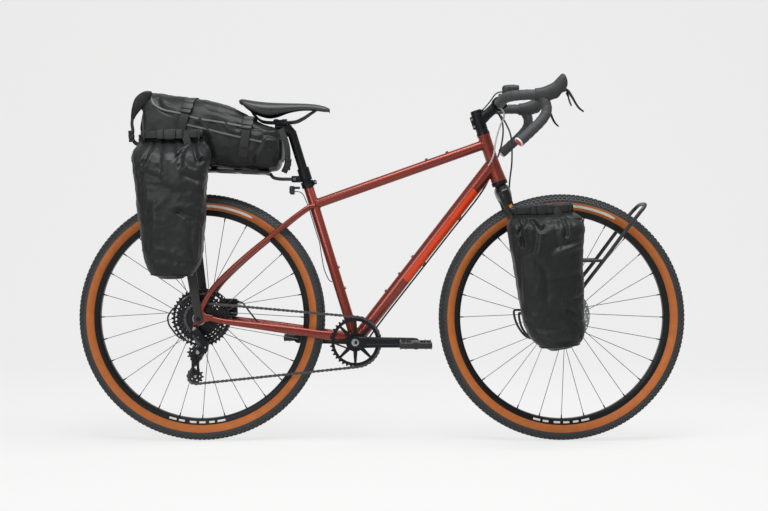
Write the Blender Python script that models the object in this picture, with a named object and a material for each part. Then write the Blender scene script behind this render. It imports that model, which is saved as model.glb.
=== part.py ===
"""Gravel bike with racks and roll-top bags, built as an assembly of named sub-parts.

Metres, +Z up. +X is forward, -Y is the drive side. The origin is on the ground, midway between the axles.
"""
import math

import bmesh
import bpy
from mathutils import Matrix, Quaternion, Vector

for old_object in list(bpy.data.objects):
    bpy.data.objects.remove(old_object, do_unlink=True)

# Clearance between pieces that touch on the real bike
GAP = 0.0003
EXTRA_CUT = 0.004

# Wheels
WHEELBASE = 1.053
TYRE_RADIUS = 0.361
TYRE_WIDTH = 0.050
TYRE_WALL = 0.003
BEAD_WIDTH = 0.0070
RIM_FLANGE_RADIUS = 0.317
RIM_BED_RADIUS = 0.306
RIM_INNER_RADIUS = 0.297
RIM_WIDTH = 0.030
RIM_WALL = 0.0026
WHEEL_SIDES = 28
SPOKES_PER_FLANGE = 14
SPOKE_CROSSES = 2
SPOKE_RADIUS = 0.0010
SPOKE_STAGGER = 0.0016
SPOKE_RIM_OFFSET = 0.0030
AXLE_RADIUS = 0.0060
FRONT_HUB_WIDTH = 0.100
REAR_HUB_WIDTH = 0.142
FRONT_FLANGE_RADIUS = 0.021
REAR_FLANGE_RADIUS = 0.026
FLANGE_THICKNESS = 0.003
FRONT_FLANGES = (-0.033, 0.022)
REAR_FLANGES = (-0.020, 0.034)
FRONT_SHELL_RADIUS = 0.012
REAR_SHELL_RADIUS = 0.016
ROTOR_THICKNESS = 0.0018
FRONT_ROTOR_RADIUS = 0.090
REAR_ROTOR_RADIUS = 0.080
FRONT_ROTOR_Y = 0.0395
REAR_ROTOR_Y = 0.0555
ROTOR_BAND = 0.014
ROTOR_BOSS_RADIUS = 0.0170
ROTOR_ARMS = 6
ROTOR_ARM_WIDTH = 0.008

# Frame geometry
BB_DROP = 0.069
CHAINSTAY_LENGTH = 0.4548
SEAT_ANGLE = math.radians(72.9)
HEAD_ANGLE = math.radians(71.6)
FORK_RAKE = 0.048
HEAD_TUBE_BASE = 0.436
HEAD_TUBE_LENGTH = 0.1435
HEAD_TUBE_TOP_RADIUS = 0.0180
HEAD_TUBE_BASE_RADIUS = 0.0225
HEAD_TUBE_WALL = 0.0022
HEAD_TUBE_FLARE = 0.040
TOP_TUBE_RADIUS = 0.0143
TOP_TUBE_ON_SEAT = 0.417
TOP_TUBE_ON_HEAD = 0.552
DOWN_TUBE_BB_RADIUS = 0.0190
DOWN_TUBE_HEAD_RADIUS = 0.0208
DOWN_TUBE_NARROWING = 0.0012
DOWN_TUBE_ON_HEAD = 0.490
SEAT_TUBE_RADIUS = 0.01475
SEAT_TUBE_LENGTH = 0.487
TUBE_WALL = 0.0012
BB_SHELL_RADIUS = 0.0205
BB_SHELL_BORE = 0.0172
BB_SHELL_WIDTH = 0.068
BB_CUP_RADIUS = 0.0220
BB_CUP_WIDTH = 0.0090
SPINDLE_RADIUS = 0.0120
DROPOUT_THICKNESS = 0.0060
DROPOUT_RADIUS = 0.0140
HANGER_DROP = 0.0290
HANGER_BACK = 0.0100
HANGER_RADIUS = 0.0085
BOSS_RADIUS = 0.0040
BOSS_HEIGHT = 0.0035
DOWN_TUBE_BOSSES = (0.1696, 0.2336, 0.2969)
SEAT_TUBE_BOSSES = (0.1570, 0.2210)
TOP_TUBE_BOSSES = (0.3550, 0.4190)

# Seatpost, collar and saddle
SEATPOST_RADIUS = 0.0136
SEATPOST_START = 0.330
SEATPOST_TOP = 0.650
CLAMP_SETBACK = 0.0289
CLAMP_RISE = 0.0182
COLLAR_DEPTH = 0.0165
COLLAR_WALL = 0.0035
SADDLE_TAIL_BACK = 0.118
SADDLE_SHELL = 0.006
RAIL_RADIUS = 0.0035
RAIL_SPREAD = 0.022

# Cockpit
STEERER_RADIUS = 0.0143
STEERER_BORE = 0.0113
STEERER_TOP = 0.638
STEM_BASE = 0.600
STEM_HEIGHT = 0.042
STEM_CLAMP_RADIUS = 0.0178
STEM_REACH = 0.070
STEM_BAR_HEIGHT = 0.650
BAR_CLAMP_RADIUS = 0.0159
BAR_GRIP_RADIUS = 0.0119
BAR_SIDES = 8
BAR_CLAMP_WIDTH = 0.046
FACEPLATE_WALL = 0.0055
TAPE_THICKNESS = 0.0030
TAPE_START = 0.064
SPACER_RADIUS = 0.0174
HEADSET_COVER_RADIUS = 0.0195
TOP_CAP_RADIUS = 0.0165
TOP_CAP_HEIGHT = 0.0125
LEVER_SLOT = 0.0096
SLOT_DEPTH = 0.040
SLOT_HEIGHT = 0.036
LEVER_PIN_RADIUS = 0.0020
LEVER_HUB_RADIUS = 0.0058
LIGHT_RISE = 0.0032
LIGHT_FOOT_SINK = 0.0062
LEAD_RADIUS = 0.0022

# Fork
CROWN_TOP = 0.4237
FORK_TIP_THICKNESS = 0.0085

# Drivetrain
CHAIN_PITCH = 0.0127
CHAIN_LINKS = 114
CHAIN_LINE = -0.0475
CHAIN_PLATE_HEIGHT = 0.0080
CHAIN_PLATE_THICKNESS = 0.0008
CHAIN_WIDTH = 0.0052
ROLLER_RADIUS = 0.0024
RING_TEETH = 36
RING_THICKNESS = 0.0024
RING_ARMS = 8
RING_ARM_WIDTH = 0.0075
RING_RIM_INNER = 0.0615
RING_HUB_RADIUS = 0.0245
COGS = (11, 13, 15, 17, 19, 22, 25, 28, 32, 36, 42)
DRIVEN_COG = 22
COG_THICKNESS = 0.0018
COG_SPACING = 0.00375
CASSETTE_CORE_RADIUS = 0.0200
FREEHUB_RADIUS = 0.0162
TOOTH_TIP = 0.0018
TOOTH_VALLEY = 0.0036
TOOTH_FLAT = 0.0008
PULLEY_TEETH = 11
PULLEY_THICKNESS = 0.0024
PULLEY_SPACING = 0.0665
PULLEY_BOLT_RADIUS = 0.0025
UPPER_PULLEY_BACK = 0.0145
UPPER_PULLEY_DROP = 0.1020
CAGE_PLATE = 0.0016
CAGE_INNER_WIDTH = 0.0128
CAGE_PIVOT_SHIFT = (0.012, 0.006)
CAGE_ANGLE_RANGE = (math.radians(-120.0), math.radians(-60.0))
CRANK_LENGTH = 0.1725
CRANK_THICKNESS = 0.0140
CRANK_INNER_Y = 0.0520
CRANK_FLARE = 0.0120
CRANK_BOSS_RADIUS = 0.0175
PEDAL_BOSS_RADIUS = 0.0135
PEDAL_AXLE_RADIUS = 0.0045
PEDAL_WIDTH = 0.0880
PEDAL_LENGTH = 0.0920
PEDAL_HEIGHT = 0.0180
PEDAL_OFFSET = 0.0130

# Racks, bags and lights
FRONT_RACK_TUBE = 0.0055
FRONT_STRUT_RADIUS = 0.0045
FRONT_RACK_Y = 0.0660
REAR_LEG_THICKNESS = 0.0050
DECK_THICKNESS = 0.0080
DECK_HALF_WIDTH = 0.0520
DECK_BACK = (-0.0935, 0.4340)
DECK_FRONT = (0.2005, 0.4220)
DECK_SLOTS = (0.0015, 0.0715, 0.1415)
RACK_ROD_HALF_WIDTH = 0.0060
RACK_ROD_HALF_HEIGHT = 0.0050
RACK_CLAMP_HEIGHT = 0.0380
HOSE_RADIUS = 0.0025
LIGHT_WIRE_RADIUS = 0.0013


# Side counts of round pieces. Pieces that share an axis share a count, so their gaps stay even
ROUND_SIDES = 16
TUBE_SIDES = 14
SHELL_SIDES = 16
AXLE_SIDES = 12


# Places worked out from the sizes above
X_AXIS = Vector((1.0, 0.0, 0.0))
Y_AXIS = Vector((0.0, 1.0, 0.0))
Z_AXIS = Vector((0.0, 0.0, 1.0))
REAR_AXLE = Vector((-WHEELBASE / 2, 0.0, TYRE_RADIUS))
FRONT_AXLE = Vector((WHEELBASE / 2, 0.0, TYRE_RADIUS))
BOTTOM_BRACKET = REAR_AXLE + Vector((math.sqrt(CHAINSTAY_LENGTH**2 - BB_DROP**2), 0.0, -BB_DROP))
SEAT_UP = Vector((-math.cos(SEAT_ANGLE), 0.0, math.sin(SEAT_ANGLE)))
HEAD_UP = Vector((-math.cos(HEAD_ANGLE), 0.0, math.sin(HEAD_ANGLE)))
HEAD_FORWARD = Vector((math.sin(HEAD_ANGLE), 0.0, math.cos(HEAD_ANGLE)))
HEAD_TUBE_TOP = HEAD_TUBE_BASE + HEAD_TUBE_LENGTH
AXLE_BORE = AXLE_RADIUS + GAP
BAR_CENTRE = FRONT_AXLE + HEAD_FORWARD * (STEM_REACH - FORK_RAKE) + HEAD_UP * STEM_BAR_HEIGHT


def head_point(along, forward=0.0):
    """A point at a distance up the steering axis from the foot of the rake, and forward of it."""
    return FRONT_AXLE + HEAD_FORWARD * (forward - FORK_RAKE) + HEAD_UP * along


def seat_point(along, forward=0.0):
    """A point at a distance up the seat tube from the bottom bracket, and forward of its axis."""
    return BOTTOM_BRACKET + SEAT_UP * along + Vector((SEAT_UP.z, 0.0, -SEAT_UP.x)) * forward


def mirrored(point):
    """The same point on the other side of the bike."""
    return Vector((point[0], -point[1], point[2]))


SEAT_TILT = Quaternion(Y_AXIS, SEAT_ANGLE - math.pi / 2)
HEAD_TILT = Quaternion(Y_AXIS, HEAD_ANGLE - math.pi / 2)


# Materials
def material(name, colour, roughness, metallic=0.0):
    """A Principled material, made once for each name."""
    made = bpy.data.materials.get(name)
    if made:
        return made
    made = bpy.data.materials.new(name)
    made.use_nodes = True
    shader = made.node_tree.nodes["Principled BSDF"]
    shader.inputs["Base Color"].default_value = (*colour, 1.0)
    shader.inputs["Roughness"].default_value = roughness
    shader.inputs["Metallic"].default_value = metallic
    return made


FRAME_PAINT = material("brick_red_paint", (0.30, 0.065, 0.045), 0.28, 0.35)
BLACK_PAINT = material("black_gloss_paint", (0.014, 0.014, 0.015), 0.25)
BLACK_METAL = material("black_anodised_aluminium", (0.03, 0.03, 0.032), 0.4, 0.8)
DARK_STEEL = material("dark_steel", (0.07, 0.07, 0.075), 0.35, 0.9)
BRIGHT_STEEL = material("bright_steel", (0.55, 0.55, 0.56), 0.3, 1.0)
RUBBER = material("black_rubber", (0.02, 0.02, 0.02), 0.8)
TYRE_RUBBER = material("tyre_rubber", (0.045, 0.045, 0.045), 0.85)
BAR_TAPE = material("grey_bar_tape", (0.06, 0.06, 0.06), 0.75)
BAG_FABRIC = material("coated_bag_fabric", (0.035, 0.035, 0.037), 0.55)
SADDLE_COVER = material("saddle_cover", (0.03, 0.03, 0.03), 0.5)
MATTE_PLASTIC = material("matte_black_plastic", (0.02, 0.02, 0.02), 0.6)


# Mesh helpers
def new_part(name, bm, finish, sharp=35.0):
    """An object from a closed bmesh, with its faces pointing out and its round faces smooth."""
    bmesh.ops.remove_doubles(bm, verts=bm.verts, dist=0.0000001)
    bmesh.ops.recalc_face_normals(bm, faces=bm.faces)
    mesh = bpy.data.meshes.new(name)
    bm.to_mesh(mesh)
    bm.free()
    mesh.materials.append(finish)
    mesh.shade_smooth()
    mesh.set_sharp_from_angle(angle=math.radians(sharp))
    part = bpy.data.objects.new(name, mesh)
    bpy.context.scene.collection.objects.link(part)
    return part


def combine(target, tools, operation):
    """Joins tools to a part, or cuts them from it, and deletes the tools."""
    for tool in tools:
        modifier = target.modifiers.new("shape", "BOOLEAN")
        modifier.operation = operation
        modifier.solver = "EXACT"
        modifier.object = tool
    depsgraph = bpy.context.evaluated_depsgraph_get()
    depsgraph.update()
    shaped = bpy.data.meshes.new_from_object(target.evaluated_get(depsgraph), depsgraph=depsgraph)
    target.modifiers.clear()
    target.data = shaped
    shaped.shade_smooth()
    shaped.set_sharp_from_angle(angle=math.radians(35.0))
    for tool in tools:
        bpy.data.objects.remove(tool, do_unlink=True)
    return target


def join(target, *tools):
    return combine(target, tools, "UNION")


def cut(target, *tools):
    return combine(target, tools, "DIFFERENCE")


def skin(bm, rings, closed=False, capped=True):
    """Faces between rings of equal count, with flat ends where the run is open."""
    loops = [[bm.verts.new(point) for point in ring] for ring in rings]
    count = len(loops[0])
    spans = len(loops) if closed else len(loops) - 1
    for index in range(spans):
        near = loops[index]
        far = loops[(index + 1) % len(loops)]
        for side in range(count):
            after = (side + 1) % count
            bm.faces.new((near[side], near[after], far[after], far[side]))
    if capped and not closed:
        bm.faces.new(loops[0])
        bm.faces.new(list(reversed(loops[-1])))
    return loops


def lofted(name, rings, finish, closed=False, sharp=35.0):
    bm = bmesh.new()
    skin(bm, rings, closed=closed)
    return new_part(name, bm, finish, sharp)


def oval(centre, across, upward, half_across, half_up, sides, power=2.0):
    """A ring of points on an oval; a power over 2 squares its corners."""
    points = []
    for index in range(sides):
        angle = 2 * math.pi * index / sides
        c = math.cos(angle)
        s = math.sin(angle)
        shift = across * math.copysign(abs(c) ** (2 / power), c) * half_across
        rise = upward * math.copysign(abs(s) ** (2 / power), s) * half_up
        points.append(Vector(centre) + shift + rise)
    return points


STRAIGHT_BEND = math.radians(7.0)


def smooth_path(points, steps):
    """Points on a smooth curve through hand-placed points. Only the bends are stepped."""
    points = [Vector(point) for point in points]
    padded = [points[0] * 2 - points[1]] + points + [points[-1] * 2 - points[-2]]
    path = []
    for index in range(1, len(padded) - 2):
        before, start, end, after = padded[index - 1 : index + 3]
        bend = (end - before).angle(after - start)
        count = steps if bend > STRAIGHT_BEND else 1
        for step in range(count):
            t = step / count
            path.append(
                0.5
                * (
                    start * 2
                    + (end - before) * t
                    + (before * 2 - start * 5 + end * 4 - after) * t**2
                    + (start * 3 - before - end * 3 + after) * t**3
                )
            )
    path.append(points[-1])
    return path


def frames_along(path, reference):
    """A tangent and two cross directions at each point of a path, turned as little as possible."""
    tangents = []
    for index in range(len(path)):
        before = path[max(index - 1, 0)]
        after = path[min(index + 1, len(path) - 1)]
        tangents.append((after - before).normalized())
    across = (reference - tangents[0] * reference.dot(tangents[0])).normalized()
    frames = []
    for index, tangent in enumerate(tangents):
        if index:
            turn = tangents[index - 1].rotation_difference(tangent)
            across = turn @ across
            across = (across - tangent * across.dot(tangent)).normalized()
        frames.append((path[index], across, tangent.cross(across)))
    return frames


def swept(name, path, half_across, half_up, finish, sides=12, bore=None, reference=Y_AXIS, power=2.0):
    """A tube of round or oval section along a path. Sizes are one value or one for each point."""
    frames = frames_along(path, reference)
    return tube_on(name, frames, half_across, half_up, finish, sides, bore, power)


def tube_on(name, frames, half_across, half_up, finish, sides=12, bore=None, power=2.0):
    """A tube on frames that are already set, so that two tubes can share them."""
    count = len(frames)
    widths = half_across if isinstance(half_across, list) else [half_across] * count
    heights = half_up if isinstance(half_up, list) else [half_up] * count
    outer = []
    inner = []
    for (centre, across, upward), width, height in zip(frames, widths, heights):
        outer.append(oval(centre, across, upward, width, height, sides, power))
        if bore:
            inner.append(oval(centre, across, upward, width - bore, height - bore, sides, power))
    if bore:
        return lofted(name, outer + list(reversed(inner)), finish, closed=True)
    return lofted(name, outer, finish)


def straight_path(start, end, pieces=1):
    start = Vector(start)
    end = Vector(end)
    return [start.lerp(end, index / pieces) for index in range(pieces + 1)]


def rod(name, start, end, radius, finish, sides=16, end_radius=None, bore=None):
    """A straight round bar or tube, tapered where an end radius is given."""
    path = straight_path(start, end)
    axis = (path[1] - path[0]).normalized()
    reference = Y_AXIS if abs(axis.dot(Y_AXIS)) < 0.9 else X_AXIS
    radii = [radius, radius if end_radius is None else end_radius]
    return swept(name, path, radii, list(radii), finish, sides=sides, bore=bore, reference=reference)


def turned(name, profile, origin, axis, finish, sides=24):
    """A ring-shaped solid from a closed outline of (radius, distance along the axis)."""
    axis = Vector(axis).normalized()
    reference = Y_AXIS if abs(axis.dot(Y_AXIS)) < 0.9 else X_AXIS
    across = (reference - axis * reference.dot(axis)).normalized()
    upward = axis.cross(across)
    rings = []
    for index in range(sides):
        angle = 2 * math.pi * index / sides
        outward = across * math.cos(angle) + upward * math.sin(angle)
        rings.append([Vector(origin) + outward * radius + axis * along for radius, along in profile])
    return lofted(name, rings, finish, closed=True)


def slab(name, outline, finish, y_from, y_to, centre=(0.0, 0.0)):
    """A plate in the side view: an outline of (x, z) points, thick from one y to the other."""
    rings = []
    for y in (y_from, y_to):
        rings.append([Vector((centre[0] + x, y, centre[1] + z)) for x, z in outline])
    return lofted(name, rings, finish)


def disc_outline(radius, sides, centre=(0.0, 0.0)):
    return [
        (centre[0] + radius * math.cos(2 * math.pi * index / sides),
         centre[1] + radius * math.sin(2 * math.pi * index / sides))
        for index in range(sides)
    ]


def block(name, centre, size, finish, turn=None, bevel=0.0):
    """A box with bevelled edges, turned about its centre."""
    bm = bmesh.new()
    bmesh.ops.create_cube(bm, size=1.0)
    bmesh.ops.scale(bm, vec=Vector(size), verts=bm.verts)
    if bevel:
        bmesh.ops.bevel(bm, geom=bm.edges[:], offset=bevel, segments=1, affect="EDGES")
    if turn:
        bmesh.ops.transform(bm, matrix=turn.to_matrix().to_4x4(), verts=bm.verts)
    bmesh.ops.translate(bm, vec=Vector(centre), verts=bm.verts)
    return new_part(name, bm, finish)


def cross_pin(name, centre, half_length, radius, finish, sides=16):
    """A round bar across the bike."""
    centre = Vector(centre)
    return rod(name, centre - Y_AXIS * half_length, centre + Y_AXIS * half_length, radius, finish, sides)


def side_rod(name, centre, y_from, y_to, radius, finish, sides=16):
    """A round bar across the bike between two side positions."""
    start = Vector((centre[0], y_from, centre[1]))
    end = Vector((centre[0], y_to, centre[1]))
    return rod(name, start, end, radius, finish, sides)


# Side positions of the frame ends
FORK_INNER_Y = FRONT_HUB_WIDTH / 2 + GAP
FORK_OUTER_Y = FORK_INNER_Y + FORK_TIP_THICKNESS
BB_OUTER_Y = BB_SHELL_WIDTH / 2 + GAP + BB_CUP_WIDTH


# Frame tubes, mitred against each other
def make_head_tube():
    start = HEAD_TUBE_BASE
    top = HEAD_TUBE_TOP
    base_r = HEAD_TUBE_BASE_RADIUS
    top_r = HEAD_TUBE_TOP_RADIUS
    wall = HEAD_TUBE_WALL
    profile = [
        (base_r, start),
        (base_r - 0.0015, start + 0.014),
        (top_r, start + HEAD_TUBE_FLARE + 0.030),
        (top_r, top - 0.006),
        (top_r + 0.0010, top - 0.004),
        (top_r + 0.0010, top),
        (top_r - wall, top),
        (top_r - wall, start + HEAD_TUBE_FLARE + 0.030),
        (base_r - wall, start + 0.014),
        (base_r - wall, start),
    ]
    return turned("head_tube", profile, head_point(0.0), HEAD_UP, FRAME_PAINT, sides=ROUND_SIDES)


def head_tube_cutter():
    profile_radius = HEAD_TUBE_TOP_RADIUS + GAP
    base_radius = HEAD_TUBE_BASE_RADIUS + GAP - 0.0015
    path = [
        head_point(HEAD_TUBE_BASE + 0.014),
        head_point(HEAD_TUBE_BASE + HEAD_TUBE_FLARE + 0.030),
        head_point(HEAD_TUBE_TOP + 0.010),
    ]
    radii = [base_radius, profile_radius, profile_radius]
    return swept("cutter", path, radii, list(radii), FRAME_PAINT, sides=ROUND_SIDES)


def seat_tube_cutter():
    return rod("cutter", seat_point(-0.010), seat_point(SEAT_TUBE_LENGTH), SEAT_TUBE_RADIUS + GAP,
               FRAME_PAINT, ROUND_SIDES)


def bb_shell_cutter():
    return cross_pin("cutter", BOTTOM_BRACKET, BB_SHELL_WIDTH / 2 + EXTRA_CUT, BB_SHELL_RADIUS + GAP,
                     FRAME_PAINT, SHELL_SIDES)


def boss(centre, outward, tube_radius):
    """A bottle boss with its bolt head, standing on a tube."""
    foot = centre + outward * (tube_radius - 0.0009)
    crest = centre + outward * (tube_radius + BOSS_HEIGHT)
    return rod("boss", foot, crest, BOSS_RADIUS, FRAME_PAINT, 8)


def make_top_tube():
    start = seat_point(TOP_TUBE_ON_SEAT)
    end = head_point(TOP_TUBE_ON_HEAD)
    tube = rod("top_tube", start, end, TOP_TUBE_RADIUS, FRAME_PAINT, TUBE_SIDES)
    along = (end - start).normalized()
    upward = Vector((-along.z, 0.0, along.x))
    join(tube, *[boss(start + along * place, upward, TOP_TUBE_RADIUS) for place in TOP_TUBE_BOSSES])
    cut(tube, head_tube_cutter(), seat_tube_cutter())
    bore_radius = TOP_TUBE_RADIUS - TUBE_WALL
    return cut(tube,
               rod("bore", start - along * 0.010, end + along * 0.010, bore_radius, FRAME_PAINT, TUBE_SIDES))


def make_down_tube():
    start = BOTTOM_BRACKET
    end = head_point(DOWN_TUBE_ON_HEAD)
    heights = [DOWN_TUBE_BB_RADIUS, DOWN_TUBE_HEAD_RADIUS]
    widths = [DOWN_TUBE_BB_RADIUS, HEAD_TUBE_TOP_RADIUS - DOWN_TUBE_NARROWING]
    tube = swept("down_tube", [start, end], widths, heights, FRAME_PAINT, sides=TUBE_SIDES)
    along = (end - start).normalized()
    upward = Vector((-along.z, 0.0, along.x))
    length = (end - start).length
    bosses = []
    for place in DOWN_TUBE_BOSSES:
        radius = DOWN_TUBE_BB_RADIUS + (DOWN_TUBE_HEAD_RADIUS - DOWN_TUBE_BB_RADIUS) * place / length
        bosses.append(boss(start + along * place, upward, radius))
    join(tube, *bosses)
    cut(tube, head_tube_cutter(), seat_tube_cutter(), bb_shell_cutter())
    bore_widths = [width - TUBE_WALL for width in widths]
    bore_heights = [height - TUBE_WALL for height in heights]
    bore_path = [start - along * 0.001, end + along * 0.001]
    return cut(tube, swept("bore", bore_path, bore_widths, bore_heights, FRAME_PAINT, sides=TUBE_SIDES))


def make_seat_tube():
    tube = rod("seat_tube", seat_point(0.0), seat_point(SEAT_TUBE_LENGTH), SEAT_TUBE_RADIUS, FRAME_PAINT,
               ROUND_SIDES)
    shell = cross_pin("shell", BOTTOM_BRACKET, BB_SHELL_WIDTH / 2, BB_SHELL_RADIUS, FRAME_PAINT, SHELL_SIDES)
    forward = Vector((SEAT_UP.z, 0.0, -SEAT_UP.x))
    bosses = [boss(seat_point(place), forward, SEAT_TUBE_RADIUS) for place in SEAT_TUBE_BOSSES]
    join(tube, shell, *bosses)
    post_bore = rod("bore", seat_point(0.0), seat_point(SEAT_TUBE_LENGTH + EXTRA_CUT), SEATPOST_RADIUS + GAP,
                    FRAME_PAINT, ROUND_SIDES)
    shell_bore = cross_pin("bore", BOTTOM_BRACKET, BB_SHELL_WIDTH / 2 + EXTRA_CUT, BB_SHELL_BORE,
                           FRAME_PAINT, SHELL_SIDES)
    return cut(tube, post_bore, shell_bore)


# Rear triangle
DROPOUT_INNER_Y = REAR_HUB_WIDTH / 2 + GAP
DROPOUT_OUTER_Y = DROPOUT_INNER_Y + DROPOUT_THICKNESS
DROPOUT_MIDDLE_Y = (DROPOUT_INNER_Y + DROPOUT_OUTER_Y) / 2
HANGER = REAR_AXLE + Vector((-HANGER_BACK, 0.0, -HANGER_DROP))
STAY_POINTS = (
    (0.018, 0.0290, 0.011),
    (-0.045, 0.0345, 0.013),
    (-0.078, 0.0370, 0.018),
    (-0.112, 0.0420, 0.0225),
    (-0.158, 0.0480, 0.030),
    (-0.225, 0.0560, 0.0395),
    (-0.303, 0.0630, 0.0505),
    (-0.373, 0.0685, 0.0600),
)
STAY_HALF_HEIGHTS = (0.0140, 0.0135, 0.0125, 0.0120, 0.0118, 0.0112, 0.0095, 0.0080)
STAY_HALF_WIDTHS = (0.0070, 0.0070, 0.0072, 0.0074, 0.0080, 0.0080, 0.0075, 0.0070)


def dropout_outline(side):
    """The plate round the axle, with lugs towards the chainstay and seatstay, and a hanger on the right."""
    radius = DROPOUT_RADIUS
    outline = [
        (0.040, -0.004), (0.040, 0.010), (0.020, 0.013), (0.0125, 0.024), (0.0085, 0.044),
        (-0.0060, 0.044), (-0.0085, 0.020), (-radius, 0.004), (-radius, -0.006),
    ]
    if side < 0:
        foot = -HANGER_DROP
        outline += [
            (-HANGER_BACK - HANGER_RADIUS, foot + 0.004),
            (-HANGER_BACK - HANGER_RADIUS * 0.7, foot - HANGER_RADIUS * 0.7),
            (-HANGER_BACK, foot - HANGER_RADIUS),
            (-HANGER_BACK + HANGER_RADIUS * 0.7, foot - HANGER_RADIUS * 0.7),
            (-HANGER_BACK + HANGER_RADIUS, foot + 0.003),
            (0.004, -radius),
        ]
    else:
        outline += [(-0.008, -radius), (0.006, -radius)]
    outline += [(0.014, -0.011)]
    return outline


def dropout_plate(name, side, grow=0.0):
    outline = dropout_outline(side)
    if grow:
        outline = [(x * (1 + 0.0004 / max(abs(x), 0.004)), z + math.copysign(grow, z)) for x, z in outline]
    inner = DROPOUT_INNER_Y - grow
    outer = DROPOUT_OUTER_Y + grow
    return slab(name, outline, FRAME_PAINT, side * inner, side * outer, (REAR_AXLE.x, REAR_AXLE.z))


def chainstay_tube(side, grow=0.0):
    """One stay, flattened where it meets the dropout plate."""
    points = [BOTTOM_BRACKET + Vector((x, side * y, z)) for x, y, z in STAY_POINTS]
    end = REAR_AXLE + Vector((0.026, side * DROPOUT_MIDDLE_Y, 0.002))
    path = points + [points[-1].lerp(end, 0.6), end]
    widths = [width + grow for width in STAY_HALF_WIDTHS + (0.0050, DROPOUT_THICKNESS / 2 - GAP)]
    heights = [height + grow for height in STAY_HALF_HEIGHTS + (0.0076, 0.0070)]
    return swept("stay", path, widths, heights, FRAME_PAINT, sides=8)


def make_chainstays():
    stays = [join(chainstay_tube(side), dropout_plate("dropout", side)) for side in (-1, 1)]
    bridge_at = BOTTOM_BRACKET + Vector((-0.052, 0.0, 0.015))
    bridge = cross_pin("bridge", bridge_at, 0.034, 0.0055, FRAME_PAINT, 8)
    both = join(stays[0], stays[1], bridge)
    both.name = "chainstays"
    axle_bore = cross_pin("bore", REAR_AXLE, DROPOUT_OUTER_Y + EXTRA_CUT, AXLE_BORE, FRAME_PAINT, AXLE_SIDES)
    cups = cross_pin("cutter", BOTTOM_BRACKET, BB_OUTER_Y + EXTRA_CUT, BB_CUP_RADIUS + GAP, FRAME_PAINT,
                     SHELL_SIDES)
    return cut(both, cups, seat_tube_cutter(), axle_bore)


SEATSTAY_POINTS = (
    (0.313, 0.020, 0.3225),
    (0.268, 0.031, 0.2895),
    (0.2136, 0.0435, 0.2450),
    (0.150, 0.0535, 0.1935),
    (0.0919, 0.0610, 0.1419),
    (0.0464, 0.0665, 0.0957),
    (0.0256, 0.0690, 0.0651),
    (0.0107, 0.0715, 0.0370),
)


def make_seatstays():
    stays = []
    for side in (-1, 1):
        points = [REAR_AXLE + Vector((x, side * y, z)) for x, y, z in SEATSTAY_POINTS]
        start = seat_point(0.412) + Vector((0.0, side * 0.011, 0.0))
        end = REAR_AXLE + Vector((0.0035, side * DROPOUT_MIDDLE_Y, 0.0190))
        path = [start] + points + [end]
        widths = [0.0068] * (len(path) - 3) + [0.0060, 0.0050, DROPOUT_THICKNESS / 2 - GAP]
        heights = [0.0075] * (len(path) - 1) + [0.0068]
        stays.append(swept("stay", path, widths, heights, FRAME_PAINT, sides=8))
    bridge_at = REAR_AXLE + Vector((0.262, 0.0, 0.285))
    bridge = cross_pin("bridge", bridge_at, 0.032, 0.0050, FRAME_PAINT, 8)
    both = join(stays[0], stays[1], bridge)
    both.name = "seatstays"
    cutters = [dropout_plate("cutter", side, grow=GAP) for side in (-1, 1)]
    axle_room = cross_pin("cutter", REAR_AXLE, DROPOUT_OUTER_Y + EXTRA_CUT, DROPOUT_RADIUS + GAP,
                          FRAME_PAINT, AXLE_SIDES)
    return cut(both, seat_tube_cutter(), axle_room, *cutters)


def make_bottom_bracket():
    inner = BB_SHELL_WIDTH / 2 + GAP
    outer = inner + BB_CUP_WIDTH
    sleeve = BB_SHELL_BORE - GAP
    bore = SPINDLE_RADIUS + GAP
    profile = [
        (bore, -outer), (BB_CUP_RADIUS - 0.001, -outer), (BB_CUP_RADIUS, -outer + 0.001),
        (BB_CUP_RADIUS, -inner),
        (sleeve, -inner), (sleeve, inner), (BB_CUP_RADIUS, inner), (BB_CUP_RADIUS, outer - 0.001),
        (BB_CUP_RADIUS - 0.001, outer), (bore, outer),
    ]
    return turned("bottom_bracket", profile, BOTTOM_BRACKET, Y_AXIS, BLACK_METAL, sides=SHELL_SIDES)


def make_headset_lower_cup():
    base = HEAD_TUBE_BASE
    outer = HEAD_TUBE_BASE_RADIUS + 0.0010
    press = HEAD_TUBE_BASE_RADIUS - HEAD_TUBE_WALL - GAP
    bore = press - 0.0022
    foot = CROWN_TOP + GAP
    profile = [
        (bore, foot), (outer - 0.0015, foot), (outer, foot + 0.0015), (outer, base - 0.0025),
        (outer - 0.0015, base - GAP), (press, base - GAP), (press, base + 0.008), (bore, base + 0.008),
    ]
    return turned("headset_lower_cup", profile, head_point(0.0), HEAD_UP, BLACK_METAL, sides=ROUND_SIDES)


# Seatpost, collar and saddle
def make_seat_collar():
    bore = SEAT_TUBE_RADIUS + GAP
    outer = bore + COLLAR_WALL
    base = SEAT_TUBE_LENGTH - COLLAR_DEPTH
    top = SEAT_TUBE_LENGTH + 0.0015
    profile = [
        (bore, base), (outer - 0.0008, base), (outer, base + 0.0008), (outer, top - 0.0008),
        (outer - 0.0008, top),
        (SEATPOST_RADIUS + GAP, top), (SEATPOST_RADIUS + GAP, SEAT_TUBE_LENGTH + GAP),
        (bore, SEAT_TUBE_LENGTH + GAP),
    ]
    collar = turned("seat_collar", profile, seat_point(0.0), SEAT_UP, BLACK_METAL, sides=ROUND_SIDES)
    middle = seat_point((base + top) / 2, outer + 0.0035)
    lug = block("lug", middle, (0.011, 0.016, 0.013), BLACK_METAL, SEAT_TILT, 0.001)
    bolt_at = seat_point((base + top) / 2, outer + 0.0065)
    bolt = cross_pin("bolt", bolt_at, 0.0125, 0.0040, BLACK_METAL, 8)
    return join(collar, lug, bolt)


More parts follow.
